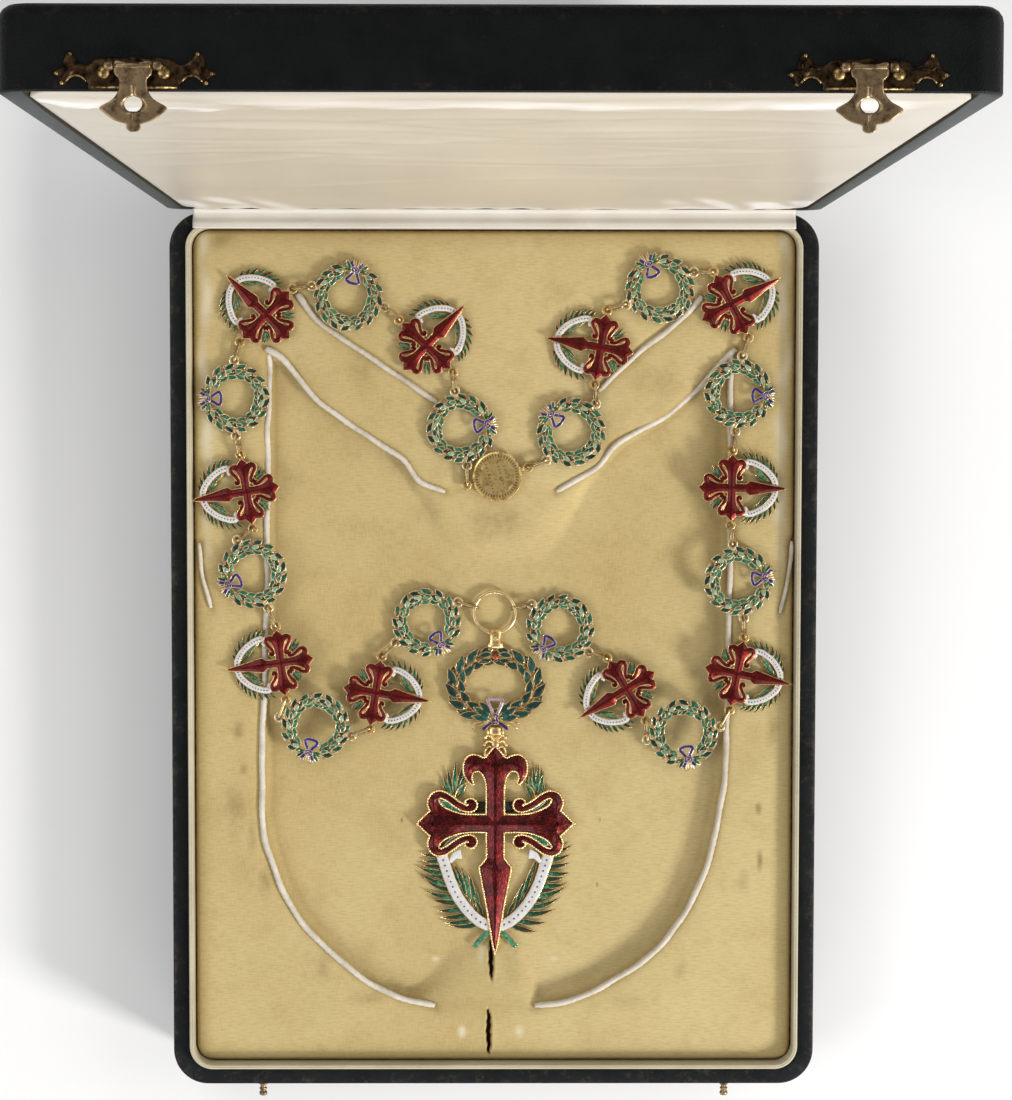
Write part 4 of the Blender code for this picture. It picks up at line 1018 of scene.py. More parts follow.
@dataclass
class CrossPlate:
    """Cross with a sword blade along +X: its outline, the feet on its ridges and the ridges."""

    arms: tuple
    step: float
    scale: float = 1.0
    grow: float = 0.0
    outline: np.ndarray = None
    feet: np.ndarray = None
    ridge: np.ndarray = None
    turn: np.ndarray = None
    corners: np.ndarray = None

    def __post_init__(self) -> None:
        """Turn the four arms round the centre and join them."""
        outline, feet, ridge, turn, corners = [], [], [], [], []
        for number, arm in enumerate(self.arms):
            angle = number * math.pi / 2
            spin = np.array([[math.cos(angle), math.sin(angle)], [-math.sin(angle), math.cos(angle)]])
            half = arm.half(self.step)
            whole = np.concatenate([(half * (1.0, -1.0, 1.0, -1.0))[:-1], half[::-1]])[:-1]
            outline.append(whole[:, :2] @ spin)
            feet.append(whole[:, 2:] @ spin)
            turn.append(np.full(len(whole), angle))
            line = arm.ridge(self.step * 1.25)
            both = np.concatenate([line, line * (1.0, -1.0, 1.0)])
            ridge.append(np.concatenate([both[:, :2] @ spin, both[:, 2:]], axis=1))
            if arm.corner is not None:
                corners.append([*(np.array(arm.corner[:2]) @ spin), arm.corner[2]])
        self.outline = np.concatenate(outline) * self.scale
        along = directions(self.outline, True)
        self.outline = self.outline + np.stack([along[:, 1], -along[:, 0]], axis=1) * self.grow
        self.feet = np.concatenate(feet) * self.scale
        self.ridge = np.concatenate(ridge) * (self.scale, self.scale, 1.0)
        self.turn = np.concatenate(turn)
        self.corners = np.array(corners) * (self.scale, self.scale, 1.0)

    def edge(self, offset: float, step: float, height: float) -> np.ndarray:
        """Closed path that follows the outline, evenly spaced.

        Args:
            offset: Distance outwards from the outline.
            step: Rough distance between points.
            height: Height of the path.

        Returns:
            Points of the path.
        """
        closed = np.concatenate([self.outline, self.outline[:1]])
        length = np.concatenate([[0.0], np.cumsum(np.linalg.norm(np.diff(closed, axis=0), axis=1))])
        count = max(4 * int(round(length[-1] / step / 4)), 8)
        wanted = np.linspace(0.0, length[-1], count, endpoint=False)
        path = np.stack([np.interp(wanted, length, closed[:, k]) for k in range(2)], axis=1)
        along = directions(path, True)
        outward = np.stack([along[:, 1], -along[:, 0]], axis=1)
        return flat_to_space(path + outward * offset, height)


@dataclass(frozen=True)
class LeafRow:
    """Leaves on both sides of an axis.

    Each is (along, beside, heading, length, half width, bend, height, tone). Stretch multiplies every length
    and bend, and widen every width. The tip tone is what each leaf's tone gains towards its tip.
    """

    rows: tuple
    thickness: float = 0.32
    wire: float = 0.12
    tip_tone: float = 0.0
    stretch: float = 1.0
    widen: float = 1.0

    def add_to(self, draft: Draft, enamel: int, metal: int) -> None:
        """Add the leaves, and their mirror images about the first axis.

        Args:
            draft: Draft that takes the leaves.
            enamel: Index of the blades' finish.
            metal: Index of the rim wires' finish.
        """
        for side in (1.0, -1.0):
            along, beside, heading, length, width, bend, height, tone = np.array(self.rows, float).T
            wave = np.sin(7.0 * np.arange(len(along)) + 2.0 * side)
            heading, length = heading + 7.0 * wave, length * self.stretch * (1.0 + 0.09 * wave)
            bend, width = bend * self.stretch * (1.25 + 0.4 * wave), width * self.widen
            leaves(draft, np.stack([along, side * beside], axis=1), side * heading, length, width, height,
                   np.full(len(along), 0.25), side * bend, enamel, metal, self.wire, self.thickness, tone,
                   tip_tone=self.tip_tone)


@dataclass(frozen=True)
class Ribbon:
    """Ribbon along a route, the same on both sides, with gilt edges, a folded end and a row of plain dots.

    Its height is low + rise * sin(t), where t runs evenly from the first phase to the second.
    """

    route: tuple
    fold: tuple
    step: float
    half_width: float
    thickness: float
    low: float
    rise: float
    phases: tuple
    edge_offset: float
    edge_height: float
    edge_radius: float
    fold_step: float
    fold_height: float
    fold_widths: tuple
    fold_tone: float
    dot_spacing: float
    dot_height: float
    dot_radius: float
    dot_columns: int
    dot_flatness: float

    def add_to(self, made: Draft, enamel: int, metal: int, dot: int) -> None:
        """Add the ribbon and its mirror image about the first axis.

        Args:
            made: Draft that takes the ribbon.
            enamel: Index of the band's finish.
            metal: Index of the edge wires' finish.
            dot: Index of the dots' finish.
        """
        for side in (1.0, -1.0):
            line = smooth_path(np.array(self.route) * (1.0, side), self.step)
            path = flat_to_space(line, self.low + self.rise * np.sin(np.linspace(*self.phases, len(line))))
            made.add(capped(sweep(path, FLAT_BAND, self.half_width, self.thickness)), enamel, tone=0.7)
            aside = np.cross(UP, directions(path, False))
            for edge in (-1.0, 1.0):
                rim = path + aside * edge * self.edge_offset + (0.0, 0.0, self.edge_height)
                wire(made, rim, self.edge_radius, metal, profile=ROUND_4)
            curl = curve(self.fold, self.fold_step, self.fold_height, (1.0, side))
            made.add(capped(sweep(curl, FLAT_BAND, np.linspace(*self.fold_widths, len(curl)), 0.55)), enamel,
                     tone=self.fold_tone)
            marks = curve(self.route, self.dot_spacing, self.dot_height, (1.0, side))[1:-1]
            beads(made, marks, self.dot_radius, dot, 4, self.dot_columns, self.dot_flatness)


@dataclass
class CrossLink:
    """Small medallion: a red cross, palms, a white ribbon and two flat eyes."""

    scale: float = 0.41
    ribbon: Ribbon = Ribbon(
        route=((5.6, 10.0), (7.6, 9.9), (9.8, 9.1), (13.1, 7.1), (16.1, 3.7), (17.2, 0.4)),
        fold=((5.9, 10.4), (5.2, 9.4), (5.3, 8.3), (6.2, 7.7)), step=0.5, half_width=1.08, thickness=0.5,
        low=-0.15, rise=0.25, phases=(0.0, 3.0), edge_offset=1.08 + 0.06, edge_height=0.08, edge_radius=0.12,
        fold_step=0.4, fold_height=0.05, fold_widths=(0.8, 0.8), fold_tone=0.85, dot_spacing=1.15,
        dot_height=0.33, dot_radius=0.34, dot_columns=5, dot_flatness=0.4)
    outer_leaves: LeafRow = LeafRow(
        ((16.7, 2.6, 61, 3.4, 0.42, 0.53, -0.9, 0.5), (16, 4.2, 75, 4.2, 0.46, 0.7, -0.85, 0.6),
         (15, 5.7, 85, 4.7, 0.48, 0.7, -0.8, 0.5), (13.7, 7, 92, 4.9, 0.5, 0.7, -0.85, 0.75),
         (12.1, 8.2, 97, 4.8, 0.5, 0.7, -0.8, 0.5), (10.3, 9.2, 102, 4.5, 0.5, 0.7, -0.85, 0.7),
         (8.4, 10, 108, 4, 0.48, 0.7, -0.8, 0.55), (6.4, 10.5, 115, 3.3, 0.45, 0.53, -0.85, 0.7)),
        tip_tone=-0.35, stretch=1.14, widen=1.3)
    inner_leaves: LeafRow = LeafRow((
        (15.8, 1.9, 157, 6.6, 0.4, -0.88, -0.8, 0.55), (14.9, 2.7, 151, 7.4, 0.45, -0.88, -0.7, 0.8),
        (13.7, 3.7, 146, 7.3, 0.46, -0.88, -0.8, 0.6), (12.3, 4.8, 141, 6.2, 0.46, -0.7, -0.7, 0.85),
        (10.8, 5.8, 137, 4.9, 0.42, -0.7, -0.8, 0.6)), tip_tone=-0.1, stretch=1.14, widen=1.3)
    back_leaves: LeafRow = LeafRow((
        (-3.4, 4.4, 101, 3.6, 0.42, 0.35, -0.9, 0.55), (-3.7, 4.2, 115, 4.7, 0.46, 0.35, -0.8, 0.8),
        (-4, 4, 129, 5.3, 0.46, 0, -0.9, 0.6), (-4.3, 3.7, 143, 4.9, 0.44, -0.35, -0.8, 0.85),
        (-4.5, 3.4, 156, 3.6, 0.4, -0.35, -0.9, 0.6)), tip_tone=-0.15, stretch=1.14, widen=1.3)
    RED = 0
    METAL = 1
    PALM = 2
    WHITE = 3
    DOT = 4

    def draft(self) -> Draft:
        """All surfaces of one medallion, in its own frame."""
        made = Draft()
        plate = CrossPlate((BLADE_ARM, SIDE_ARM, SIDE_ARM, SIDE_ARM), 1.15, self.scale, 0.26)
        ridge = plate.ridge * (1.0, 1.0, 0.48) + (0.0, 0.0, 0.3)
        corners = plate.corners * (1.0, 1.0, 0.48) + (0.0, 0.0, 0.3)
        relief(made, plate.outline, plate.feet, ridge, -0.55, 0.72, self.RED, 0.25, plate.turn,
               corners=corners, reach=0.9)
        wire(made, plate.edge(0.1, 0.5, 0.62), 0.18, self.METAL, closed=True, profile=ROUND_5)
        for row in (self.outer_leaves, self.inner_leaves, self.back_leaves):
            row.add_to(made, self.PALM, self.METAL)
        self.ribbon.add_to(made, self.WHITE, self.METAL, self.DOT)
        add_flat_eyes(made, EYE_REACH["cross"], 11.6, self.METAL)
        self.add_stems(made)
        return made

    def add_stems(self, made: Draft) -> None:
        """Gilt wire past the tip, crossed palm stems and the rib that carries the leaves on each side."""
        wire(made, np.array([(18.5, 0, 0.2), (20.0, 0, 0.1), (21.6, 0.1, 0.0), (22.2, 0.1, 0.0)]),
             np.array([0.3, 0.3, 0.2, 0.1]), self.METAL)
        rib = ((18.9, -1.2), (17.6, 0.2), (16.4, 3.2), (13.4, 6.5), (9.4, 8.9), (5.4, 10.0))
        short = ((-1.5, 1.5), (-3.6, 3.9), (-5.6, 5.6))
        for side in (1.0, -1.0):
            line = curve(rib, 0.8, -0.9, (1.0, side))
            wire(made, line, np.linspace(0.35, 0.2, len(line)), self.METAL, profile=ROUND_5)
            wire(made, curve(short, 0.8, -0.85, (1.0, side)), 0.25, self.METAL, profile=ROUND_5)

    def finishes(self) -> tuple:
        """Finishes in the order of the indices."""
        return (Finish.RED_SMALL, Finish.CROSS_GILT, Finish.PALM, Finish.WHITE, Finish.TICK)


def add_flat_eyes(made: Draft, distance: float, neck_from: float, finish: int) -> None:
    """Add a flat ring on +Y and one on -Y, each with a short neck towards the middle.

    Args:
        made: Draft that takes the eyes.
        distance: Distance of a ring's centre from the middle.
        neck_from: Distance at which the neck starts.
        finish: Index of the finish.
    """
    band = np.array([(-1.0, -0.6), (-1.0, 0.6), (-0.6, 1.0), (0.6, 1.0), (1.0, 0.6), (1.0, -0.6), (0.6, -1.0),
                     (-0.6, -1.0)])
    for side in (1.0, -1.0):
        ring = flat_to_space(around(ring_of(20), EYE_RADIUS) + (0.0, side * distance))
        made.add(sweep(ring, band, 0.5, 0.4, True), finish, rows_close=True)
        end = distance - EYE_RADIUS
        neck = np.array([(0.0, side * neck_from, 0.0), (0.0, side * (neck_from + end) / 2, 0.0),
                         (0.0, side * (end + 0.15), 0.0)])
        made.add(capped(sweep(neck, band, np.array([0.75, 0.6, 0.7]), 0.32)), finish)


# Wreaths and links

def edged_band(made: Draft, path: np.ndarray, half_width: np.ndarray | float, enamel: int, metal: int,
               tone: float) -> None:
    """Add an enamelled ribbon along a path with a gilt wire along both of its edges.

    Args:
        made: Draft that takes the ribbon.
        path: Its middle line.
        half_width: One half width, or one for each point.
        enamel: Index of the band's finish.
        metal: Index of the wires' finish.
        tone: Tone of the enamel.
    """
    made.add(capped(sweep(path, FLAT_BAND, half_width, 0.5)), enamel, tone=tone)
    aside = np.cross(UP, directions(path, False))
    reach = np.broadcast_to(np.asarray(half_width, float), (len(path),))[:, None] + 0.1
    for edge in (-1.0, 1.0):
        wire(made, path + aside * edge * reach + (0.0, 0.0, 0.12), 0.14, metal, profile=ROUND_4)


@dataclass
class WreathLink:
    """Small laurel wreath with its bow on +X and two flat eyes."""

    radius: float = 10.3
    clusters: int = 7
    first: float = 25.0
    spacing: float = 22.2
    LEAF = 0
    METAL = 1
    VIOLET = 2
    BERRY = 3

    def draft(self) -> Draft:
        """All surfaces of one wreath, in its own frame."""
        made = Draft()
        angle = ring_of(56)
        wobble = self.radius + 0.25 * np.sin(7.0 * angle)
        ring = flat_to_space(around(angle, wobble), -0.55 + 0.15 * np.sin(11.0 * angle))
        wire(made, ring, 0.5, self.METAL, closed=True)
        self.add_leaves(made)
        self.add_bow(made)
        add_flat_eyes(made, EYE_REACH["wreath"], 11.2, self.METAL)
        return made

    def add_leaves(self, made: Draft) -> None:
        """Clusters of leaves that run from the bow up both sides.

        In each cluster a middle leaf follows the circle, one leaf turns outwards, one inwards and a small
        one lies over the stem. Sizes and headings vary with sines of the cluster's number.
        """
        number = np.arange(self.clusters)
        place = np.radians(self.first + self.spacing * number)
        for side in (1.0, -1.0):
            wave = np.sin(5.0 * number + 2.0 * side)
            for radial, turn, length, width, bend, height, tone in (
                    (-0.1, 5.0, 5.6, 1.2, 0.35, 0.35, 0.5), (0.4, -32.0, 4.8, 1.15, 0.6, 0.05, 0.36),
                    (-0.6, 38.0, 4.6, 1.1, -0.4, 0.1, 0.6), (0.7, -60.0, 2.7, 0.7, 0.4, -0.2, 0.45),
                    (-0.2, -10.0, 2.9, 0.64, 0.1, 0.85, 0.8)):
                base = around(place, self.radius + radial) * (1.0, side)
                heading = side * (np.degrees(place) + 90.0 + turn + 6.0 * wave)
                shades = tone + 0.2 * np.sin(3.0 * number + turn)
                leaves(made, base, heading, length * (1.0 + 0.08 * wave), width, height + 0.08 * wave, 0.35,
                       side * bend, self.LEAF, self.METAL, 0.2, 0.42, shades)
            for radial, turn, height, size in ((0.9, -3.0, 0.55, 0.48), (-0.5, -4.5, 0.6, 0.44),
                                               (1.7, 3.0, 0.3, 0.36), (-1.4, 2.5, 0.3, 0.34)):
                spot = place + np.radians(turn + 2.0 * wave)
                centre = around(spot, self.radius + radial) * (1.0, side)
                beads(made, flat_to_space(centre, height), size, self.BERRY, 5, 6, 1.0,
                      0.5 + 0.4 * np.sin(4.0 * number + 9.0 * radial))

    def add_bow(self, made: Draft) -> None:
        """Violet bow: a loop into the ring, a knot and two tails, over green leaves and gilt stem ends."""
        loop = ((10.3, -0.4), (8.5, -1.1), (6.4, -2.4), (5.6, -2.1), (5.2, 0.0), (5.6, 2.1), (6.4, 2.4),
                (8.5, 1.1), (10.3, 0.4))
        tail = ((10.2, 0.0), (11.2, 1.2), (12.0, 1.6), (13.0, 2.4))
        under = np.array([(10.6, 0.7), (10.5, 1.2), (10.0, 1.6)])
        curl = ((9.6, 0.3), (9.9, 1.1), (10.8, 1.2), (11.1, 0.4))
        edged_band(made, curve(loop, 0.5, 0.95), 0.5, self.VIOLET, self.METAL, 0.5)
        for side in (1.0, -1.0):
            line = curve(tail, 0.45, 0.9, (1.0, side))
            edged_band(made, line, np.linspace(0.4, 0.6, len(line)), self.VIOLET, self.METAL, 0.45)
            for end, low, far in ((0.7, 0.75, 14.4), (1.7, 0.5, 14.8), (3.9, 0.4, 13.6), (4.9, 0.2, 12.3)):
                stub = np.array([(10.4, 0.4 * side, low), (12.0, 0.6 * end * side, low),
                                 (far, end * side, low)])
                wire(made, stub, np.array([0.34, 0.32, 0.26]), self.METAL, profile=ROUND_5)
            leaves(made, under * (1.0, side), side * np.array([21.0, 47.0, 76.0]), np.array([3.7, 4.1, 4.0]),
                   0.92, 0.15, 0.3, side * 0.3, self.LEAF, self.METAL, 0.18, 0.4, np.array([0.75, 0.5, 0.65]))
            edged_band(made, curve(curl, 0.35, 1.25, (1.0, side)), 0.3, self.VIOLET, self.METAL, 0.6)

    def finishes(self) -> tuple:
        """Finishes in the order of the indices."""
        return (Finish.LEAF, Finish.LINK_GILT, Finish.VIOLET, Finish.BERRY)


@dataclass
class JumpLink:
    """Oval wire link, long along X and standing along Y."""

    span: float = 7.6
    overreach: float = 0.4
    half_height: float = 1.275
    wire_radius: float = 0.66

    def draft(self) -> Draft:
        """Round wire along two half circles and two straight sides."""
        reach = self.span / 2 + self.overreach - self.half_height
        turn = np.radians(np.linspace(-90.0, 90.0, 11))
        right = around(turn, self.half_height) + (reach, 0.0)
        straight = np.stack([np.linspace(reach, -reach, 7)[1:-1], np.full(5, self.half_height)], axis=1)
        half = np.concatenate([right, straight])
        path = flat_to_space(np.concatenate([half, -half]))
        made = Draft()
        wire(made, path, self.wire_radius, 0, closed=True, profile=ROUND_8)
        return made


@dataclass
class Station:
    """One wreath or medallion of the chain: its place, heading, how far it has sunk and its tilt."""

    kind: str
    x: float
    y: float
    heading: float
    drop: float = 0.0
    tilt: float = 0.0

    def eye(self, sign: float) -> np.ndarray:
        """Place of its eye at heading plus or minus 90 degrees."""
        reach = EYE_REACH[self.kind]
        flat = reach * math.cos(math.radians(self.tilt))
        angle = math.radians(self.heading + 90.0 * sign)
        return np.array([self.x + flat * math.cos(angle), self.y + flat * math.sin(angle),
                         EYE_HEIGHT - self.drop + sign * reach * math.sin(math.radians(self.tilt))])

    def matrix(self) -> np.ndarray:
        """Its placement."""
        return turn_matrix(self.x, self.y + COLLAR_SHIFT, EYE_HEIGHT - self.drop, self.heading, self.tilt)


@dataclass
class Chain:
    """Both sides of the collar between the clasp and the front ring.

    The stations below are rough; settle() moves and turns neighbours until facing eyes are one jump link
    apart.
    """

    clasp: Station = field(default_factory=lambda: Station("clasp", 1.1, 68.0, -74.0))
    ring_x: float = 0.2
    ring_y: float = 15.0
    ring_drop: float = 5.5
    ring_reach: float = 7.175
    inertia: float = 90.0
    left: list = field(
        default_factory=lambda: [
            Station(*row)
            for row in (
                ("wreath", -12.9, 86.4, 8.0), ("cross", -25.4, 116.4, 44.0), ("wreath", -55.5, 137.9, 75.0),
                ("cross", -88.5, 131.2, 134.0), ("wreath", -100.7, 98.2, 180.0),
                ("cross", -94.2, 60.4, 193.0), ("wreath", -93.8, 30.3, 210.0), ("cross", -82.1, -4.0, 189.0),
                ("wreath", -68.9, -29.3, 262.0, 1.6, -3.2), ("cross", -45.9, -15.8, -16.0, 3.75, -2.6),
                ("wreath", -25.4, 10.3, -62.0, 5.15, -1.0))])
    right: list = field(default_factory=lambda: [Station(*row) for row in (
        ("wreath", 27.5, 84.8, 137.0), ("cross", 41.1, 116.8, 169.0), ("wreath", 63.1, 140.0, 116.0),
        ("cross", 91.0, 134.3, 30.0), ("wreath", 94.5, 101.5, 0.0), ("cross", 90.6, 64.4, 0.0),
        ("wreath", 94.6, 27.3, 15.0), ("cross", 94.4, -9.7, -14.0), ("wreath", 73.1, -32.8, -83.0, 1.6, 3.2),
        ("cross", 51.2, -14.2, 215.0, 3.75, 2.6), ("wreath", 24.6, 8.6, 238.0, 5.15, 1.0))])
    links: list = field(default_factory=list)

    def ring_point(self, neighbour: np.ndarray) -> np.ndarray:
        """Where the link towards a neighbouring eye hangs on the ring's wire."""
        angle = math.atan2(neighbour[1] - self.ring_y, neighbour[0] - self.ring_x)
        return np.array([self.ring_x + self.ring_reach * math.cos(angle),
                         self.ring_y + self.ring_reach * math.sin(angle), EYE_HEIGHT - self.ring_drop])

    def draw_together(self, first: Station | None, a: np.ndarray, second: Station | None, b: np.ndarray,
                      span: float) -> None:
        """Move and turn one or two stations so that two eyes end up one link apart.

        Args:
            first: Station that owns the first eye, or None where it is fixed.
            a: The first eye.
            second: Station that owns the second eye, or None.
            b: The second eye.
            span: Distance between the eyes of a link.
        """
        apart = b - a
        flat = math.hypot(apart[0], apart[1])
        excess = flat - math.sqrt(span ** 2 - apart[2] ** 2)
        nx, ny = apart[0] / flat, apart[1] / flat
        shares = []
        for station, point in ((first, a), (second, b)):
            if station is None:
                shares.append((0.0, 0.0))
                continue
            lever = (point[0] - station.x) * ny - (point[1] - station.y) * nx
            shares.append((1.0 + lever * lever / self.inertia, lever / self.inertia))
        push = excess / (shares[0][0] + shares[1][0])
        for station, share, sign in ((first, shares[0], 1.0), (second, shares[1], -1.0)):
            if station is not None:
                station.x += sign * push * nx
                station.y += sign * push * ny
                station.heading += sign * math.degrees(push * share[1])

    def settle(self, span: float) -> None:
        """Settle both sides and list where each jump link runs."""
        for stations, out in ((self.left, 1.0), (self.right, -1.0)):
            start = self.clasp.eye(-out)
            for _ in range(400):
                end = self.ring_point(stations[-1].eye(out))
                for i in range(len(stations) + 1):
                    first = stations[i - 1] if i > 0 else None
                    second = stations[i] if i < len(stations) else None
                    a = first.eye(out) if first else start
                    b = second.eye(-out) if second else end
                    self.draw_together(first, a, second, b, span)
            for i in range(len(stations) + 1):
                a = stations[i - 1].eye(out) if i > 0 else start
                b = stations[i].eye(-out) if i < len(stations) else end
                self.links.append((a, b))

    def link_matrix(self, number: int) -> np.ndarray:
        """Placement of one jump link, rolled to either side by the sine of its number."""
        a, b = (Vector(p) for p in self.links[number - 1])
        along = (b - a).normalized()
        up = Vector(UP)
        up = (up - along * up.dot(along)).normalized()
        up = Matrix.Rotation(math.radians(20.0 * math.sin(2.4 * number)), 3, along) @ up
        matrix = Matrix((along, up, along.cross(up))).transposed().to_4x4()
        matrix.translation = (a + b) / 2 + Vector((0.0, COLLAR_SHIFT, 0.0))
        return np.array(matrix)

    def build(self) -> None:
        """Make every wreath, medallion and jump link as a piece of its own."""
        jump = JumpLink()
        self.settle(jump.span)
        medallion, wreath = CrossLink(), WreathLink()
        shapes = {"cross": (medallion.draft(), medallion.finishes(), "red_enamel"),
                  "wreath": (wreath.draft(), wreath.finishes(), "green_enamel")}
        counts = {"cross": 0, "wreath": 0}
        for stations in (self.left, self.right):
            for station in stations:
                counts[station.kind] += 1
                shape, finishes, slot = shapes[station.kind]
                name = f"{station.kind}_link_{counts[station.kind]:02d}"
                made = shape.placed(station.matrix()).piece(f"{name}_enamelled", finishes)
                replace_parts(made, name)
        link = jump.draft()
        for number in range(1, len(self.links) + 1):
            made = link.placed(self.link_matrix(number)).piece(f"jump_link_{number:02d}_wire",
                                                              (Finish.JUMP_GILT,))
            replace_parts(made, f"jump_link_{number:02d}")


@dataclass
class ClaspSeal:
    """Round gilt seal at the back of the neck, with a milled rim and worn radial engraving."""

    def build(self, station: Station) -> None:
        """Lathe the disc, raise a rosette and strokes on it and add its eyes."""
        made = Draft()
        profile = np.array([(0.0, -0.95), (8.9, -0.95), (9.35, -0.8), (9.6, -0.4), (9.6, 0.6), (9.4, 0.78),
                            (9.1, 0.8), (8.95, 0.62), (8.7, 0.55), (7.6, 0.58), (4.0, 0.66), (0.0, 0.72)])
        angle = ring_of(96)
        radius = np.broadcast_to(profile[:, :1], (len(profile), 96)).copy()
        beading = np.radians(np.arange(0.0, 360.0, 6.0))
        beads(made, flat_to_space(around(beading, 9.35), 0.62), 0.42, 0, 6, 7)
        disc = np.stack([radius * np.cos(angle), radius * np.sin(angle),
                         np.broadcast_to(profile[:, 1:], radius.shape)], axis=-1)
        made.add(disc, 0)
        strokes = np.radians(np.arange(0.0, 360.0, 8.0))
        leaves(made, around(strokes, 7.0), np.degrees(strokes) + 4.0 * np.sin(5.0 * strokes), 1.7, 0.22, 0.42,
               0.12, 0.0, 1, None, thickness=0.35)
        for across, count, high in ((3.6, 5, 1.1), (1.5, 8, 1.2), (-0.7, 2, 1.0), (-3.0, 9, 1.2)):
            place = np.linspace(-0.62 * count, 0.62 * count, count)
            base = np.stack([place, np.full(count, across - high / 2)], axis=1)
            leaves(made, base, 90.0 + 14.0 * np.sin(2.3 * np.arange(count) + across), high, 0.2, 0.5, 0.12,
                   0.0, 1, None, thickness=0.35)
        wire(made, flat_to_space(around(angle, 6.6), 0.56), 0.13, 0, closed=True, profile=ROUND_4)
        add_flat_eyes(made, EYE_REACH["clasp"], 9.2, 0)
        piece = made.placed(station.matrix()).piece("clasp_seal_engraved",
                                                    (Finish.SEAL_GILT, Finish.ENGRAVED))
        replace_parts(piece, "clasp_seal")


# Pendant

@dataclass
class CentreRing:
    """Gilt wire ring at the front of the collar."""

    radius: float = 8.0
    wire_radius: float = 0.88

    def build(self, x: float, y: float, z: float) -> None:
        """Carry a circle round a circle."""
        path = flat_to_space(around(ring_of(72), self.radius) + (x, y), z)
        made = Draft()
        wire(made, path, self.wire_radius, 0, closed=True, profile=ROUND_12)
        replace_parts(made.piece("centre_ring_wire", (Finish.RING_GILT,)), "centre_ring")


def strap_loop(top: float, low: float, inner: float, outer: float, half_width: np.ndarray,
               z: float) -> np.ndarray:
    """Flat strap bent into a closed loop, wide along X.

    Its middle line is a racetrack in the upright plane, and its section has rounded edges.

    Args:
        top: Place of the upper half circle's centre along Y.
        low: Place of the lower half circle's centre.
        inner: Inner radius of the bend.
        outer: Outer radius of the bend.
        half_width: Half width at the top and in the middle of the strap.
        z: Height of the loop's middle.

    Returns:
        Grid round the loop and across the strap.
    """
    turn = np.radians(np.linspace(-90.0, 90.0, 9))
    upper = around(turn) + (top, 0.0)
    lower = (low, 0.0) - around(turn)
    middle = (upper[-1] + lower[0]) / 2
    centre = np.concatenate([np.tile([top, 0.0], (9, 1)), [[middle[0], 0.0]], np.tile([low, 0.0], (9, 1)),
                             [[middle[0], 0.0]]])
    away = np.concatenate([upper - (top, 0), [[0.0, 1.0]], lower - (low, 0), [[0.0, -1.0]]])
    wide = np.concatenate(
        [np.full(9, half_width[0]), [half_width[1]], np.full(9, half_width[0]), [half_width[1]]])
    section = np.array([(-1.0, 0.0), (-1.0, 0.7), (-0.92, 1.0), (0.92, 1.0), (1.0, 0.7), (1.0, 0.0)])
    reach = inner + (outer - inner) * section[None, :, 1]
    return np.stack([wide[:, None] * section[None, :, 0], centre[:, :1] + away[:, :1] * reach,
                     z + centre[:, 1:] + away[:, 1:] * reach], axis=-1)


@dataclass
class PendantBail:
    """Gilt strap that hangs the pendant from the ring."""

    half_width: float = 2.35

    def build(self, x: float, top: float, low: float, z: float) -> None:
        """Bend the strap round the ring's wire and the wreath's pin, with a small lozenge on its face."""
        made = Draft()
        made.add(strap_loop(top, low, 0.9, 1.45, (self.half_width, 1.85), z), 0, rows_close=True)
        angle = np.radians(np.arange(0.0, 360.0, 90.0))
        middle = (top + low) / 2
        leaves(made, around(angle, 0.1) + (0.0, middle), np.degrees(angle), 0.95, 0.33, z + 1.45, 0.0, 0.0, 0,
               None, thickness=0.3)
        barrel = np.array([(across, low, z) for across in (-2.9, -2.7, 2.7, 2.9)])
        wire(made, barrel, np.array([1.35, 1.6, 1.6, 1.35]), 0, profile=ROUND_12)
        made = made.placed(turn_matrix(x, COLLAR_SHIFT, 0.0, 0.0))
        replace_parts(made.piece("pendant_bail_strap", (Finish.GILT,)), "pendant_bail")


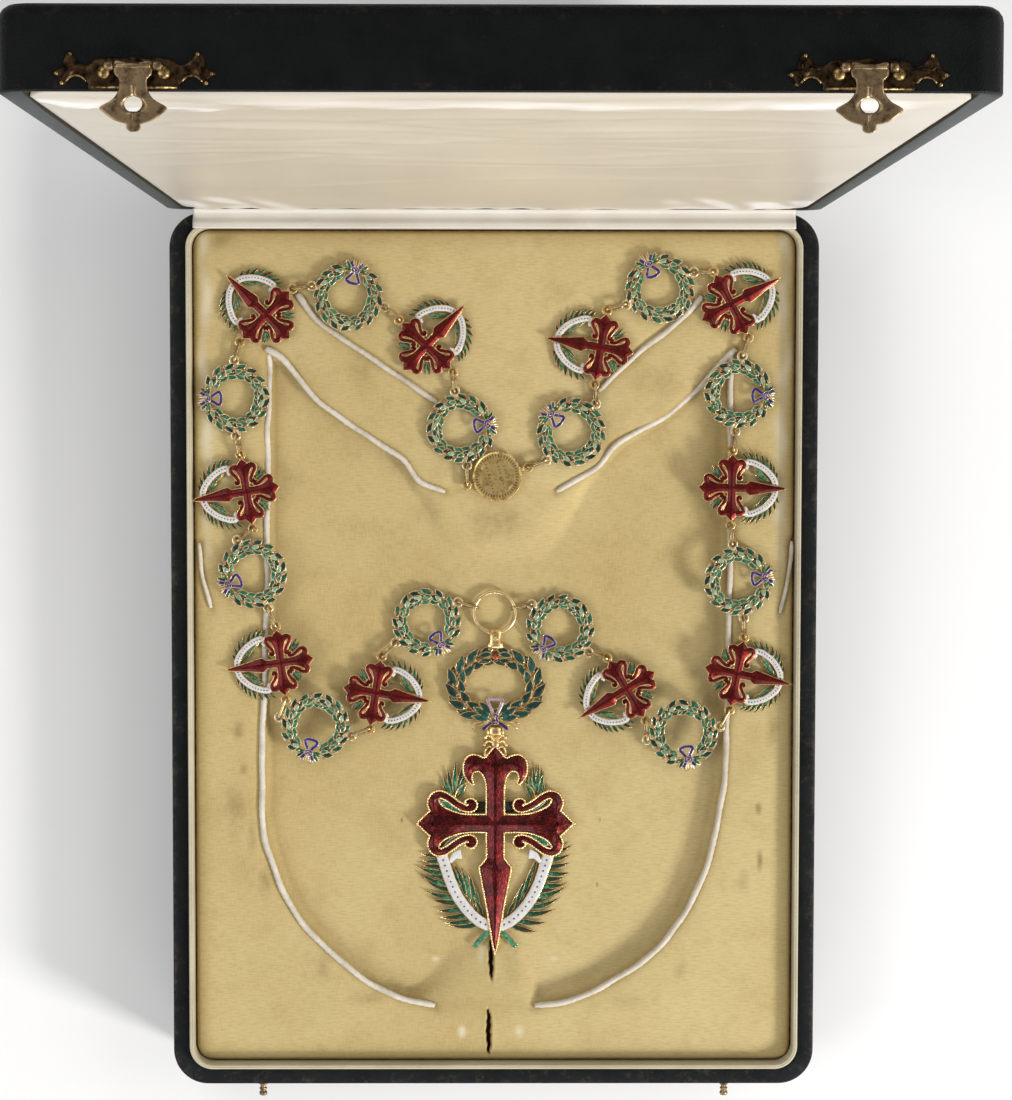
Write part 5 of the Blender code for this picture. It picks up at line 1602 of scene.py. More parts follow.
@dataclass
class PendantWreath:
    """Oval laurel wreath between the bail and the cross."""

    middle: tuple = (14.7, 11.3)
    pairs: int = 7
    LEAF = 0
    METAL = 1
    VIOLET = 2
    BERRY = 3

    def build(self, x: float, y: float, z: float) -> None:
        """Build the band of leaves, the bow, the pin above and the bar below, and place them."""
        made = Draft()
        self.add_wires(made)
        self.add_leaves(made)
        self.add_bow(made)
        self.add_hinges(made)
        piece = made.placed(turn_matrix(x, y + COLLAR_SHIFT, z, 0.0)).piece(
            "pendant_wreath_enamelled", (Finish.DARK_LEAF, Finish.GILT, Finish.VIOLET, Finish.BERRY))
        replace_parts(piece, "pendant_wreath")

    def oval(self, degrees: np.ndarray, grow: float = 0.0) -> tuple:
        """Points on the middle oval, grown by a distance, and the heading along it in degrees."""
        turn = np.radians(degrees)
        point = around(turn) * (np.array(self.middle) + grow)
        return point, np.degrees(np.arctan2(self.middle[1] * np.cos(turn), -self.middle[0] * np.sin(turn)))

    def add_wires(self, made: Draft) -> None:
        """Three oval wires that carry the leaves, waving a little in height."""
        degrees = np.linspace(0.0, 360.0, 90, endpoint=False)
        for grow, radius, wave in ((0.0, 0.75, 0.1), (2.6, 0.34, 0.2), (-2.3, 0.34, 0.2)):
            point, _ = self.oval(degrees, grow)
            path = flat_to_space(point, -0.75 + wave * np.sin(np.radians(degrees) * 16.0))
            wire(made, path, radius, self.METAL, closed=True)

    def add_leaves(self, made: Draft) -> None:
        """Pairs of leaves in a V that run from the bow up both sides, with berries between them."""
        number = np.arange(self.pairs)
        start = -66.0 + 22.0 * number
        for side in (1.0, -1.0):
            wave = np.sin(4.0 * number + side)
            for grow, shift, turn, length, bend, height in ((0.7, 0.0, -26.0, 7.8, 1.2, 0.15),
                                                            (-0.6, 0.0, 27.0, 6.8, -0.9, 0.25),
                                                            (2.3, 11.0, -14.0, 5.6, 0.9, -0.2)):
                point, heading = self.oval(start + shift, grow)
                keep = start + shift < 74.0
                mirrored = point[keep] * (side, 1.0)
                along = np.where(side > 0, heading, 180.0 - heading)[keep]
                towards = along + side * (turn + 4.0 * wave[keep])
                leaves(made, mirrored, towards, length, 1.5, height + 0.1 * wave[keep], 0.5, side * bend,
                       self.LEAF, self.METAL, 0.19, 0.5, 0.36 + 0.22 * np.sin(5.0 * number[keep] + grow))
            for grow, shift, size in ((0.0, -3.0, 0.5), (3.4, 3.0, 0.4), (-3.2, 2.0, 0.36)):
                spots, _ = self.oval(start + shift, grow)
                beads(made, flat_to_space(spots * (side, 1.0), 0.75 - 0.12 * abs(grow)), size, self.BERRY, 5,
                      7, 1.0, 0.35 + 0.3 * np.sin(3.0 * number))
        top = np.array([(1.3, 12.5), (-1.3, 12.5), (1.3, 10.2), (-1.3, 10.2)])
        leaves(made, top, np.array([0.0, 180.0, -2.0, 182.0]), 5.4, 0.98, 0.6, 0.1,
               np.array([-0.7, 0.7, -0.6, 0.6]), self.LEAF, self.METAL, 0.22, 0.45, 0.35)
        beads(made, np.array([(0.0, 11.3, 0.9)]), 1.5, self.BERRY, 6, 4, 0.5, 0.0)
        fan = np.array([(1.4, -12.2), (1.6, -11.2), (1.8, -12.8)])
        for side in (1.0, -1.0):
            heading = np.array([27.0, 52.0, 4.0])
            leaves(made, fan * (side, 1.0), heading if side > 0 else 180.0 - heading,
                   np.array([8.4, 7.2, 7.6]), 1.35, 0.75, 0.3, side * np.array([0.6, -0.3, 0.8]), self.LEAF,
                   self.METAL, 0.22, 0.5, np.array([0.5, 0.35, 0.6]))

    def add_bow(self, made: Draft) -> None:
        """Pale violet bow: a wide loop, a knot, two tails and gilt rays between them."""
        loop = ((-0.4, -12.2), (-1.3, -9.5), (-2.9, -5.6), (-2.2, -5.0), (0.0, -4.9), (2.2, -5.0),
                (2.9, -5.6), (1.3, -9.5), (0.4, -12.2))
        tail = ((0.0, -12.8), (1.6, -14.2), (3.2, -15.3), (4.9, -16.8))
        edged_band(made, curve(loop, 0.55, 1.35), 0.42, self.VIOLET, self.METAL, 0.95)
        for side in (1.0, -1.0):
            line = curve(tail, 0.55, 1.0, (side, 1.0))
            edged_band(made, line, np.linspace(0.4, 0.62, len(line)), self.VIOLET, self.METAL, 0.2)
            for reach, low in ((3.4, -15.6), (5.4, -15.6), (8.9, -16.6), (9.6, -14.6)):
                ray = np.array([(0.6 * side, -12.6, 0.6), (reach * 0.55 * side, 0.5 * (low - 12.9), 0.7),
                                (reach * side, low, 0.4)])
                wire(made, smooth_path(ray, 1.0), 0.34, self.METAL, profile=ROUND_5)
        curl = ((-0.9, -11.2), (0.2, -10.8), (0.9, -11.6), (0.3, -12.5), (0.9, -13.4), (0.4, -14.4),
                (-0.7, -14.3), (-1.0, -13.5))
        edged_band(made, curve(curl, 0.45, 1.75), 0.36, self.VIOLET, self.METAL, 0.5)

    def add_hinges(self, made: Draft) -> None:
        """Pin through the bail and bar through the cross's strap, each between two ears."""
        for y, half, ear_from, inner in ((16.0, 3.1, 12.4, 2.1), (-17.8, 3.4, -12.9, 2.5)):
            rod = np.array([(x, y, 0.0) for x in (-half, -half + 0.3, half - 0.3, half)])
            wire(made, rod, np.array([0.45, 0.6, 0.6, 0.45]), self.METAL, profile=ROUND_8)
            for side in (1.0, -1.0):
                ear = np.array([(side * (inner + 0.4), at, 0.0)
                                for at in (ear_from, 0.5 * (ear_from + y), y)])
                made.add(capped(sweep(ear, ROUND_8, 0.42, np.array([0.7, 0.75, 0.95]))), self.METAL)
                knob = np.array([(side * (inner + out), y, 0.0) for out in (-0.05, 0.1, 0.75, 0.9)])
                wire(made, knob, np.array([1.1, 1.35, 1.35, 1.1]), self.METAL, profile=ROUND_12)


@dataclass
class PendantCross:
    """Large red sword cross over green palms, with a white ribbon and its hanging strap."""

    outer_leaves: LeafRow = LeafRow((
        (12.3, 19.6, 83, 8.2, 0.62, 1.93, -1.2, 0.62), (14.6, 19.6, 79, 7.6, 0.66, 2.1, -1.1, 0.8),
        (17, 19.2, 81, 8.3, 0.68, 2.27, -1.2, 0.55), (19.4, 18.6, 78, 9.2, 0.7, 2.62, -1.05, 0.85),
        (21.8, 17.8, 81, 8.3, 0.7, 2.8, -1.2, 0.6), (24.2, 16.8, 77, 9.6, 0.72, 2.98, -1.1, 0.8),
        (26.5, 15.6, 81, 9.9, 0.72, 3.32, -1.2, 0.58), (28.8, 14.3, 75, 10.2, 0.74, 3.32, -1.05, 0.85),
        (31, 12.7, 79, 10.6, 0.74, 3.5, -1.2, 0.6), (33.2, 11, 73, 10.6, 0.76, 3.5, -1.1, 0.82),
        (35.4, 9, 71, 11.2, 0.76, 3.5, -1.2, 0.62), (37.5, 6.8, 67, 11.4, 0.74, 3.32, -1.05, 0.75),
        (39.4, 4.6, 65, 11, 0.7, 2.8, -1.2, 0.55)), 0.42, 0.17, -0.9, 1.18, 1.4)
    inner_leaves: LeafRow = LeafRow((
        (25.5, 13.3, 165, 10.8, 0.6, -0.9, -0.9, 0.6), (27.8, 12.2, 168, 13.0, 0.62, -1.1, -1.0, 0.8),
        (30.0, 11.0, 170, 14.5, 0.64, -1.3, -0.9, 0.55), (32.2, 9.6, 172, 14.5, 0.62, -1.4, -1.0, 0.85),
        (34.3, 8.0, 174, 13.5, 0.6, -1.4, -0.9, 0.6), (36.2, 6.3, 172, 11.5, 0.56, -1.5, -1.0, 0.75),
        (38.0, 4.8, 166, 8.5, 0.5, -1.4, -0.9, 0.55)), 0.4, 0.16, -0.35, 1.05, 1.35)
    spray_leaves: LeafRow = LeafRow((
        (-9.8, 17.2, 150, 6.6, 0.5, 0.7, -1.1, 0.62), (-10.0, 16.8, 161, 9.6, 0.56, 0.6, -1.0, 0.8),
        (-10.2, 16.4, 170, 11.4, 0.58, 0.5, -1.1, 0.58), (-10.4, 16.0, 180, 13.0, 0.6, 0.4, -1.0, 0.82),
        (-10.4, 15.6, 190, 12.4, 0.58, 0.0, -1.1, 0.6), (-10.2, 15.2, 201, 9.6, 0.55, -0.8, -1.0, 0.85),
        (-9.6, 14.8, 214, 8.4, 0.5, -1.8, -1.1, 0.7)), 0.42, 0.16, -0.45, 1.05, 1.35)
    drops: LeafRow = LeafRow(((12.9, 4.8, 27, 10.4, 1.35, 0.8, 0.35, 0.35),), 0.45, 0.2, 0.35)
    ribbon: Ribbon = Ribbon(
        route=((12.4, 20.9), (17.6, 19.2), (23.8, 17.0), (29.6, 14.2), (35.0, 10.1), (38.6, 6.1),
               (40.8, 1.6)), fold=((15.4, 17.6), (13.9, 16.6), (12.6, 15.4), (12.1, 13.2)), step=0.6,
        half_width=2.05, thickness=0.7, low=0.1, rise=0.35, phases=(0.3, 2.8), edge_offset=2.1,
        edge_height=0.1, edge_radius=0.16, fold_step=0.5, fold_height=0.35, fold_widths=(0.6, 1.9),
        fold_tone=0.9, dot_spacing=2.3, dot_height=0.82, dot_radius=0.45, dot_columns=6, dot_flatness=0.35)
    RED = 0
    METAL = 1
    PALM = 2
    WHITE = 3
    DOT = 4
    DROP = 5
    STRAP = 6

    def build(self, x: float, y: float, z: float) -> None:
        """Build all surfaces with the blade along +X, turn it to -Y, add the strap and place them."""
        made = Draft()
        plate = CrossPlate((BLADE_ARM, SIDE_ARM, TOP_ARM, SIDE_ARM), 0.5)
        relief(made, plate.outline, plate.feet, plate.ridge, -0.9, 0.95, self.RED, 0.12, plate.turn,
               corners=plate.corners, reach=1.6)
        rope = plate.edge(0.42, 0.25, 0.85)
        swell = 0.27 + 0.26 * np.abs(np.sin(math.pi * np.arange(len(rope)) / 4.0))
        wire(made, rope, swell, self.METAL, closed=True)
        wire(made, plate.edge(0.3, 0.8, -0.35), 0.45, self.METAL, closed=True, profile=ROUND_4)
        for row in (self.outer_leaves, self.inner_leaves, self.spray_leaves):
            row.add_to(made, self.PALM, self.METAL)
        self.add_drops(made)
        self.ribbon.add_to(made, self.WHITE, self.METAL, self.DOT)
        self.add_stems(made)
        made = made.placed(turn_matrix(0.0, 0.0, 0.0, -90.0))
        self.add_strap(made)
        piece = made.placed(turn_matrix(x, y + COLLAR_SHIFT, z, 0.0)).piece(
            "pendant_cross_enamelled",
            (Finish.RED, Finish.GILT, Finish.PALM, Finish.WHITE, Finish.TICK, Finish.DROP, Finish.STRAP))
        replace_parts(piece, "pendant_cross")

    def add_drops(self, made: Draft) -> None:
        """Green drop with a pale rim in each gap between a horn and its bar."""
        for quarter in (90.0, -90.0):
            part = Draft()
            self.drops.add_to(part, self.DROP, self.WHITE)
            made.joined(part.placed(turn_matrix(0.0, 0.0, 0.0, quarter)))

    def add_stems(self, made: Draft) -> None:
        """Palm stems behind the ribbon, the crossed stubs at the foot and the wires that carry the sprays."""
        stem = ((46.0, -1.0), (41.5, 2.2), (36.0, 8.6), (29.5, 13.8), (22.0, 17.6), (13.0, 20.0))
        stub = np.array([(42.0, 2.0), (44.5, 4.2), (46.9, 6.5), (48.9, 8.2)])
        arch = ((-4.0, 11.8), (-8.5, 15.6), (-13.0, 14.6), (-16.0, 11.0), (-17.0, 8.5))
        twig = ((-3.5, 12.0), (-7.0, 14.6), (-11.0, 16.4))
        for side in (1.0, -1.0):
            mirror = (1.0, side)
            line = curve(stem, 1.0, -1.0, mirror)
            wire(made, line, np.linspace(0.9, 0.45, len(line)), self.METAL)
            made.add(capped(sweep(curve(stub, 0.7, -0.15, mirror), DOME, 1.0, 0.75)), self.PALM, tone=0.85)
            for edge in (-0.75, 0.75):
                wire(made, curve(stub + (edge, -edge), 0.7, 0.0, mirror), 0.2, self.METAL, profile=ROUND_5)
            wire(made, curve(arch, 1.0, -0.5, mirror), 0.32, self.METAL)
            wire(made, curve(twig, 1.0, -0.95, mirror), 0.55, self.METAL)
        tip = np.array([(50.0, 0.0, 0.3), (51.6, -0.2, 0.1), (52.6, -0.3, 0.0)])
        wire(made, tip, np.array([0.55, 0.4, 0.2]), self.METAL)
        for beside in (30.9, -30.4):
            beads(made, np.array([(0.0, beside, 0.8)]), 0.75, self.METAL, 6, 9)

    def add_strap(self, made: Draft) -> None:
        """Dark strap behind the crossing, the scrolled mount above the cross and its hanging loop."""
        band = np.array([(x, 6.3, -0.55) for x in (-8.0, -3.0, 3.0, 8.0)])
        made.add(capped(sweep(band, FLAT_BAND, 2.0, 0.5)), self.STRAP)
        made.add(strap_loop(36.7, 35.5, 0.9, 1.5, (2.2, 2.05), 0.0), self.METAL, rows_close=True)
        neck = np.array([(0.0, 28.4, -0.1), (0.0, 31.0, 0.1), (0.0, 34.4, 0.0)])
        made.add(capped(sweep(neck, DOME, np.array([1.2, 1.7, 1.9]), 0.8)), self.METAL)
        for side in (1.0, -1.0):
            for points in (((1.0, 29.4), (2.9, 30.1), (4.3, 29.0), (4.7, 27.4)),
                           ((1.2, 31.6), (3.3, 32.2), (4.6, 31.2)), ((1.5, 33.4), (3.0, 34.4), (4.2, 34.0))):
                beads(made, curve(points, 0.7, 0.35, (0.86 * side, 1.0)), 0.6, self.METAL, 5, 7)
            ends = np.array([(4.0, 26.9), (4.3, 30.7), (3.9, 33.6)]) * (side, 1.0)
            beads(made, flat_to_space(ends, 0.3), 0.85, self.METAL, 6, 9)


# Case

def rounded_loop(half_x: float, half_y: float, radius: float, inset: float, height: float) -> np.ndarray:
    """Level rounded rectangle, drawn in by an inset, at a height."""
    return flat_to_space(rounded_rectangle(half_x - inset, half_y - inset, max(radius - inset, 0.5)), height)


def bend_profile(radius: float) -> np.ndarray:
    """Quarter circle as (inset, fall), from (0, radius) at the side to (radius, 0) at the top."""
    turn = np.linspace(0.0, math.pi / 2, 5)
    return np.stack([radius * (1.0 - np.cos(turn)), radius * (1.0 - np.sin(turn))], axis=1)


def beyond_corners(x: np.ndarray, y: np.ndarray, half_x: float, half_y: float, corner: float) -> tuple:
    """How far places lie beyond the centres of a rounded rectangle's corners, across and along."""
    return np.maximum(np.abs(x) - (half_x - corner), 0.0), np.maximum(np.abs(y) - (half_y - corner), 0.0)


def drawn_in(x: np.ndarray, y: np.ndarray, half_x: float, half_y: float, corner: float) -> tuple:
    """Draw the corners of a rectangular grid in to quarter circles.

    In a corner's square, each coordinate's share beyond the circle's centre is multiplied by the root of
    one minus half the square of the other's.

    Args:
        x: Places across.
        y: Places along.
        half_x: Half width of the rectangle.
        half_y: Half length of the rectangle.
        corner: Radius of its corners.

    Returns:
        The new places across and along.
    """
    over_x, over_y = beyond_corners(x, y, half_x, half_y, corner)
    return (x + np.sign(x) * over_x * (np.sqrt(1.0 - 0.5 * (over_y / corner) ** 2) - 1.0),
            y + np.sign(y) * over_y * (np.sqrt(1.0 - 0.5 * (over_x / corner) ** 2) - 1.0))


def border_of(grid: np.ndarray) -> np.ndarray:
    """Points once round the edge of a grid."""
    return np.concatenate([grid[0, :-1], grid[:-1, -1], grid[-1, :0:-1], grid[:0:-1, 0]])


def path_distance(x: np.ndarray, y: np.ndarray, path: np.ndarray) -> np.ndarray:
    """Distance of places from the straight stretches between the points of a path."""
    distance = np.full(x.shape, 1e9)
    for (ax, ay), (bx, by) in zip(path[:-1], path[1:]):
        square = (bx - ax) ** 2 + (by - ay) ** 2
        share = np.clip(((x - ax) * (bx - ax) + (y - ay) * (by - ay)) / square, 0, 1)
        distance = np.minimum(distance, np.hypot(x - ax - share * (bx - ax), y - ay - share * (by - ay)))
    return distance


@dataclass
class Shell:
    """Leatherette tray with rounded corners, also used upside down for the lid.

    The wall by the hinge is thinner than the others, and the hinge lies towards +Y or -Y by the sign of its
    side. The tones tell how rubbed the covering is: along the rim, the lower edge and the wall far from the
    hinge, whose rim slopes down by far_slope.
    """

    height: float
    edge: float
    half_x: float = CASE_WIDTH / 2
    half_y: float = CASE_LENGTH / 2
    corner: float = 13.5
    inner_corner: float = 9.3
    rim_bend: float = 0.8
    rim_tone: float = 0.6
    edge_tone: float = 0.58
    far_tone: float = 0.5
    far_slope: float = 0.0
    hinge_side: float = 1.0

    def drawn_back(self, loop: np.ndarray) -> np.ndarray:
        """Inner loop whose points by the hinge lie nearer to it, by what that wall is thinner."""
        by_hinge = loop[:, 1:2] * self.hinge_side > 100.0
        return loop + by_hinge * np.array([0.0, BACK_SHIFT * self.hinge_side, 0.0])

    def add_to(self, made: Draft, outside: int, rim: int, inside: int, matrix: np.ndarray) -> None:
        """Loft outside, rim and inside as one skin, with its underside at zero and its rim at the height.

        Args:
            made: Draft that takes the surfaces.
            outside: Index of the covering's finish.
            rim: Index of the rim's finish.
            inside: Index of the finish inside.
            matrix: Placement of the shell.
        """
        loops, tones = [], []
        loops.append(rounded_loop(self.half_x, self.half_y, self.corner, self.edge + 6.0, 0.0))
        tones.append(0.28)
        for inset, fall in bend_profile(self.edge)[::-1]:
            loops.append(rounded_loop(self.half_x, self.half_y, self.corner, inset, fall))
            tones.append(0.3 if inset == self.edge else self.edge_tone if inset > 0.0 else 0.4)
        for share in (0.3, 0.7):
            z = self.edge + share * (self.height - self.edge)
            loops.append(rounded_loop(self.half_x, self.half_y, self.corner, 0.0, z))
            tones.append(0.36)
        for inset, fall in bend_profile(self.rim_bend):
            loops.append(rounded_loop(self.half_x, self.half_y, self.corner, inset, self.height - fall))
            tones.append(self.rim_tone)
        for inset in (0.3 * WALL, WALL - 0.5):
            loop = rounded_loop(self.half_x, self.half_y, self.corner, inset, self.height)
            loops.append(loop if inset < 0.5 * WALL else self.drawn_back(loop))
            tones.append(0.5)
        grid = np.stack(loops)
        far = smoothstep(-grid[:, :, 1] * self.hinge_side, self.half_y - 14.0, self.half_y - 5.0)
        grid[-2:, :, 2] -= self.far_slope * far[-2:] * np.array([0.3, 1.0])[:, None]
        tone = np.repeat(np.array(tones)[:, None], grid.shape[1], axis=1)
        tone[-6:] += (self.far_tone - tone[-6:]) * far[-6:]
        start = np.concatenate([grid[:1] * (0.0, 0.0, 1.0), grid])
        tone = np.concatenate([tone[:1], tone])
        part = Draft().add(start[:-5], outside, tone=tone[:-5])
        part.add(start[-6:], rim, tone=tone[-6:])
        inner = [grid[-1]]
        for inset, z in ((0.0, self.height - 0.4), (0.0, FLOOR + 0.6), (0.6, FLOOR)):
            loop = rounded_loop(self.half_x - WALL, self.half_y - WALL, self.inner_corner, inset, z)
            inner.append(self.drawn_back(loop))
        inner[1][:, 2] -= self.far_slope * smoothstep(-inner[1][:, 1] * self.hinge_side, self.half_y - 14.0,
                                                      self.half_y - WALL)
        inner.append(inner[-1] * (0.0, 0.0, 1.0))
        walls = Draft().add(np.stack(inner), inside, tone=0.4)
        made.joined(part.placed(matrix)).joined(walls.turned_over().placed(matrix))


@dataclass
class CaseTray:
    """Lower shell with the rolled bead along its back rim."""

    shell: Shell = field(default_factory=lambda: Shell(TRAY_HEIGHT, 2.0))
    bead_radius: float = 0.83

    def build(self) -> None:
        """Build the shell and the bead on the lid's axis."""
        made = Draft()
        self.shell.add_to(made, 0, 0, 0, np.eye(4))
        z = TRAY_HEIGHT + HINGE_GAP / 2
        half = CASE_WIDTH / 2 - 13.5
        line = np.array([(x, HINGE_Y, z) for x in (-half, -half + 0.4, half - 0.4, half)])
        wire(made, line, np.array([0.5, 1.0, 1.0, 0.5]) * self.bead_radius, 0, profile=ROUND_8, tone=0.7)
        web = line + (0.0, -0.9, -0.9)
        wire(made, web, self.bead_radius, 0, profile=ROUND_8, tone=0.5)
        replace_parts(made.piece("case_tray_covered", (Finish.LEATHERETTE,)),
                    "case_tray")


@dataclass
class CaseLip:
    """Paper-covered band inside the tray's walls, proud of the rim."""

    thickness: float = LIP_THICKNESS

    def build(self) -> None:
        """Loft a flat-topped section with a fine groove round the tray."""
        half_x, half_y = CASE_WIDTH / 2 - WALL - LIP_GAP, CASE_LENGTH / 2 - WALL - LIP_GAP
        high = TRAY_HEIGHT + LIP_RISE
        section = (
            (0.0, FLOOR + 0.3), (0.0, high - 0.5), (0.12, high - 0.12), (0.35, high), (0.95, high + 0.02),
            (1.03, high - 0.12), (1.12, high - 0.12), (1.2, high), (1.45, high - 0.05), (1.62, high - 0.25),
            (self.thickness, high - 0.7), (self.thickness, FLOOR + 0.3))
        back = Shell(0.0, 0.0)
        loops = [back.drawn_back(rounded_loop(half_x, half_y, 9.0, inset, z)) for inset, z in section]
        made = Draft().add(np.stack(loops), 0, rows_close=True, tone=0.4)
        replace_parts(made.piece("case_lip_papered", (Finish.LIP,)), "case_lip")


# The sewn cords' chosen points.
PIPING_RUNS = (
    ((-87, 115), (-87.6, 70), (-88, 19), (-89.4, -22), (-90, -64), (-86.6, -81), (-81, -96), (-72, -109),
     (-61, -120), (-52, -127.4), (-42, -133), (-33, -136.6), (-23, -139)),
    ((91, 116), (91.2, 60), (91, -6), (90.4, -30), (89, -55), (84, -80), (76, -100), (69.6, -109.4),
     (63, -117), (54, -124.2), (45, -130), (36, -134.4), (28, -137), (16, -139)),
    ((-88, 117), (-80, 111.6), (-67, 96), (-48, 83), (-36, 75), (-29, 66), (-19, 62)),
    ((-76, 138), (-67, 127), (-53, 117), (-36, 106), (-22, 96)),
    ((93, 117), (81, 104.6), (66, 91), (48, 81), (39, 71), (24, 62)),
    ((80, 137), (71, 128), (55, 115), (40, 101)), ((-114, 42), (-113, 30), (-109.4, 17)),
    ((115, 43), (114, 30), (111, 15)))


@dataclass
class CasePad:
    """Cloth-covered pad with a sunken field, sewn piping cords and two slits."""

    half_x: float = CASE_WIDTH / 2 - WALL - LIP_GAP - LIP_THICKNESS - PAD_GAP
    half_y: float = CASE_LENGTH / 2 - WALL - LIP_GAP - LIP_THICKNESS - PAD_GAP
    corner: float = 6.9
    edge: float = 1.7
    outline: tuple = (
        (-88, 115), (-88, 19), (-90, -64), (-86, -82), (-81, -96), (-72, -109), (-62, -119), (-52, -127),
        (-42, -133), (-23, -139), (16, -139), (28, -137), (45, -130), (54, -124), (63, -117), (70, -109),
        (76, -100), (84, -80), (89, -55), (91, -6), (91, 115), (81, 105), (66, 92), (48, 81), (39, 71),
        (24, 62), (-19, 62), (-29, 66), (-36, 75), (-48, 83), (-67, 96), (-80, 111))
    slits: tuple = ((-1.0, -113.0, -129.0), (-2.0, -140.0, -158.0))
    cord_radius: float = 0.98

    def height(self, x: np.ndarray, y: np.ndarray) -> np.ndarray:
        """Height of the cloth at places on the pad.

        The field sinks along a smooth step over the distance inside its outline, wider at the top and bottom
        centre. Cords pull a groove, slits cut a narrow one, and broad low waves stand for the wadding.
        """
        inside, distance = self.field_distance(x, y)
        soft_top = np.exp(-((x - 2.5) / 27.0) ** 4) * np.exp(-((y - 60.0) / 36.0) ** 4)
        soft_low = smoothstep(x, -34.0, -8.0) * smoothstep(-x, -20.0, -8.0) * np.exp(
            -((y + 139.0) / 30.0) ** 4)
        soft = np.maximum(soft_top, soft_low)
        sunk = smoothstep(np.where(inside, distance, -distance), -0.3 - 9.0 * soft, 2.2 + 34.0 * soft)
        away = self.cord_distance(x, y)
        z = PAD_TOP - FIELD_DEPTH * sunk - 0.8 * np.exp(-(away / 1.7) ** 2) - 0.3 * np.exp(-(away / 5.0) ** 2)
        for slit in self.slits:
            z = z - 2.8 * self.slit_share(x, y, slit, 1.0) + 0.3 * self.slit_share(x, y, slit, 2.6)
        waves = np.sin(x / 9.0 + 1.3 * np.sin(y / 17.0)) * np.cos(y / 13.0 + 0.8)
        return z + 0.10 * waves * smoothstep(distance, 0, 9)

    def slit_share(self, x: np.ndarray, y: np.ndarray, slit: tuple, half_width: float) -> np.ndarray:
        """How far places lie in a lens-shaped slit, from 0 to 1; its middle line wavers a little."""
        place, top, low = slit
        along = (y - (top + low) / 2) / ((top - low) / 2)
        lens = half_width * np.sqrt(np.clip(1.0 - along ** 2, 0.0, 1.0))
        middle = place + 0.22 * np.sin(1.7 * y) + 0.12 * np.sin(4.1 * y)
        return np.where(lens > 0.05, np.exp(-((x - middle) / np.maximum(lens, 0.05)) ** 4), 0.0)

    def cord_distance(self, x: np.ndarray, y: np.ndarray) -> np.ndarray:
        """Distance of places from the nearest piping cord."""
        return np.minimum.reduce(
            [path_distance(x, y, smooth_path(np.array(run), 3.0)) for run in PIPING_RUNS])

    def field_distance(self, x: np.ndarray, y: np.ndarray) -> tuple:
        """Whether places lie in the field, by counting crossings of its outline, and how far from it."""
        corners = np.array(self.outline + self.outline[:1], float) + (0.0, COLLAR_SHIFT)
        inside = np.zeros(x.shape, bool)
        for (ax, ay), (bx, by) in zip(corners[:-1], corners[1:]):
            if ay != by:
                inside ^= ((ay > y) != (by > y)) & (x < (bx - ax) * (y - ay) / (by - ay) + ax)
        return inside, path_distance(x, y, corners)

    def columns(self) -> np.ndarray:
        """Places across the pad: 1.25 mm apart, and closer near the slits and at both edges."""
        t = np.linspace(-1.0, 1.0, 2001)
        x = t * self.half_x
        step = np.where(np.abs(x + 1.5) < 3.0, 0.3, 1.25)
        step = np.where(self.half_x - np.abs(x) < 3.5, 0.6, step)
        count = np.concatenate([[0.0], np.cumsum(0.5 * (1 / step[1:] + 1 / step[:-1]) * np.diff(x))])
        return np.interp(np.linspace(0.0, count[-1], int(count[-1])), count, x)

    def build(self) -> None:
        """Build the cloth, a height over a grid with rounded corners, its walls and its cords."""
        across = self.columns()
        inner = self.half_y - 3.5
        fine = np.linspace(0.0, 3.5, 7)
        down = np.concatenate(
            [-self.half_y + fine[:-1], np.linspace(-inner, inner, 240), self.half_y - fine[-2::-1]])
        rounding = self.half_x, self.half_y, self.corner
        x, y = drawn_in(*np.meshgrid(across, down), *rounding)
        to_edge = self.corner - np.hypot(*beyond_corners(x, y, *rounding))
        fall = self.edge * (
            1.0 - np.sqrt(np.clip(1.0 - (1.0 - np.clip(to_edge / self.edge, 0, 1)) ** 2, 0, 1)))
        side = np.minimum(self.half_x - np.abs(x), self.half_y - np.abs(y))
        fall = fall + 1.3 * np.clip(1.0 - side / 8.0, 0.0, 1.0) ** 2
        y = y + BACK_SHIFT * smoothstep(y, 90.0, 150.0)
        z = self.height(x, y) - fall
        grid = np.stack([x, y, z], axis=-1)
        # the tone carries bleached wear and painted shade
        made = Draft().add(grid, 0, columns_close=False, solid=False, faces_up=True, tone=self.wear(x, y))
        border = border_of(grid)
        low = (0, 0, FLOOR + 0.3)
        walls = np.stack(
            [border, border * (1, 1, 0) + (0, 0, 20.0), border * (1, 1, 0) + low, 0 * border + low])
        # the walls' darker tone is painted shade in the gap by the lip
        made.add(walls, 0, tone=0.7)
        pad = made.piece("case_pad_cloth", (Finish.PAD,))
        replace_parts(pad, "case_pad")
        self.add_cords()

    def wear(self, x: np.ndarray, y: np.ndarray) -> np.ndarray:
        """Tone of the cloth: pale where it is worn at the upper side edges; high as painted shade along the
        lip, by the cords and along the field's edge, and highest as painted shadow in the slits.
        """
        side = self.half_x - np.abs(x)
        depth = np.where(y > 0.0, self.half_y + BACK_SHIFT - y, self.half_y + y)
        edge = np.minimum(side, depth)
        # painted shade that deepens towards the lip, near black at the very edge
        tone = 0.5 + 0.15 * np.exp(-edge / 3.0) + 0.55 * np.exp(-(edge / 1.2) ** 2)
        ragged = 4.2 + 1.1 * np.sin(y / 9.0 + 2.0 * np.sin(y / 23.0)) + 0.5 * np.sin(y / 2.7)
        pale = np.exp(-((side - ragged) / 2.4) ** 2) * smoothstep(y, 10.0, 60.0) * (
            0.72 + 0.28 * np.sin(y / 4.1))
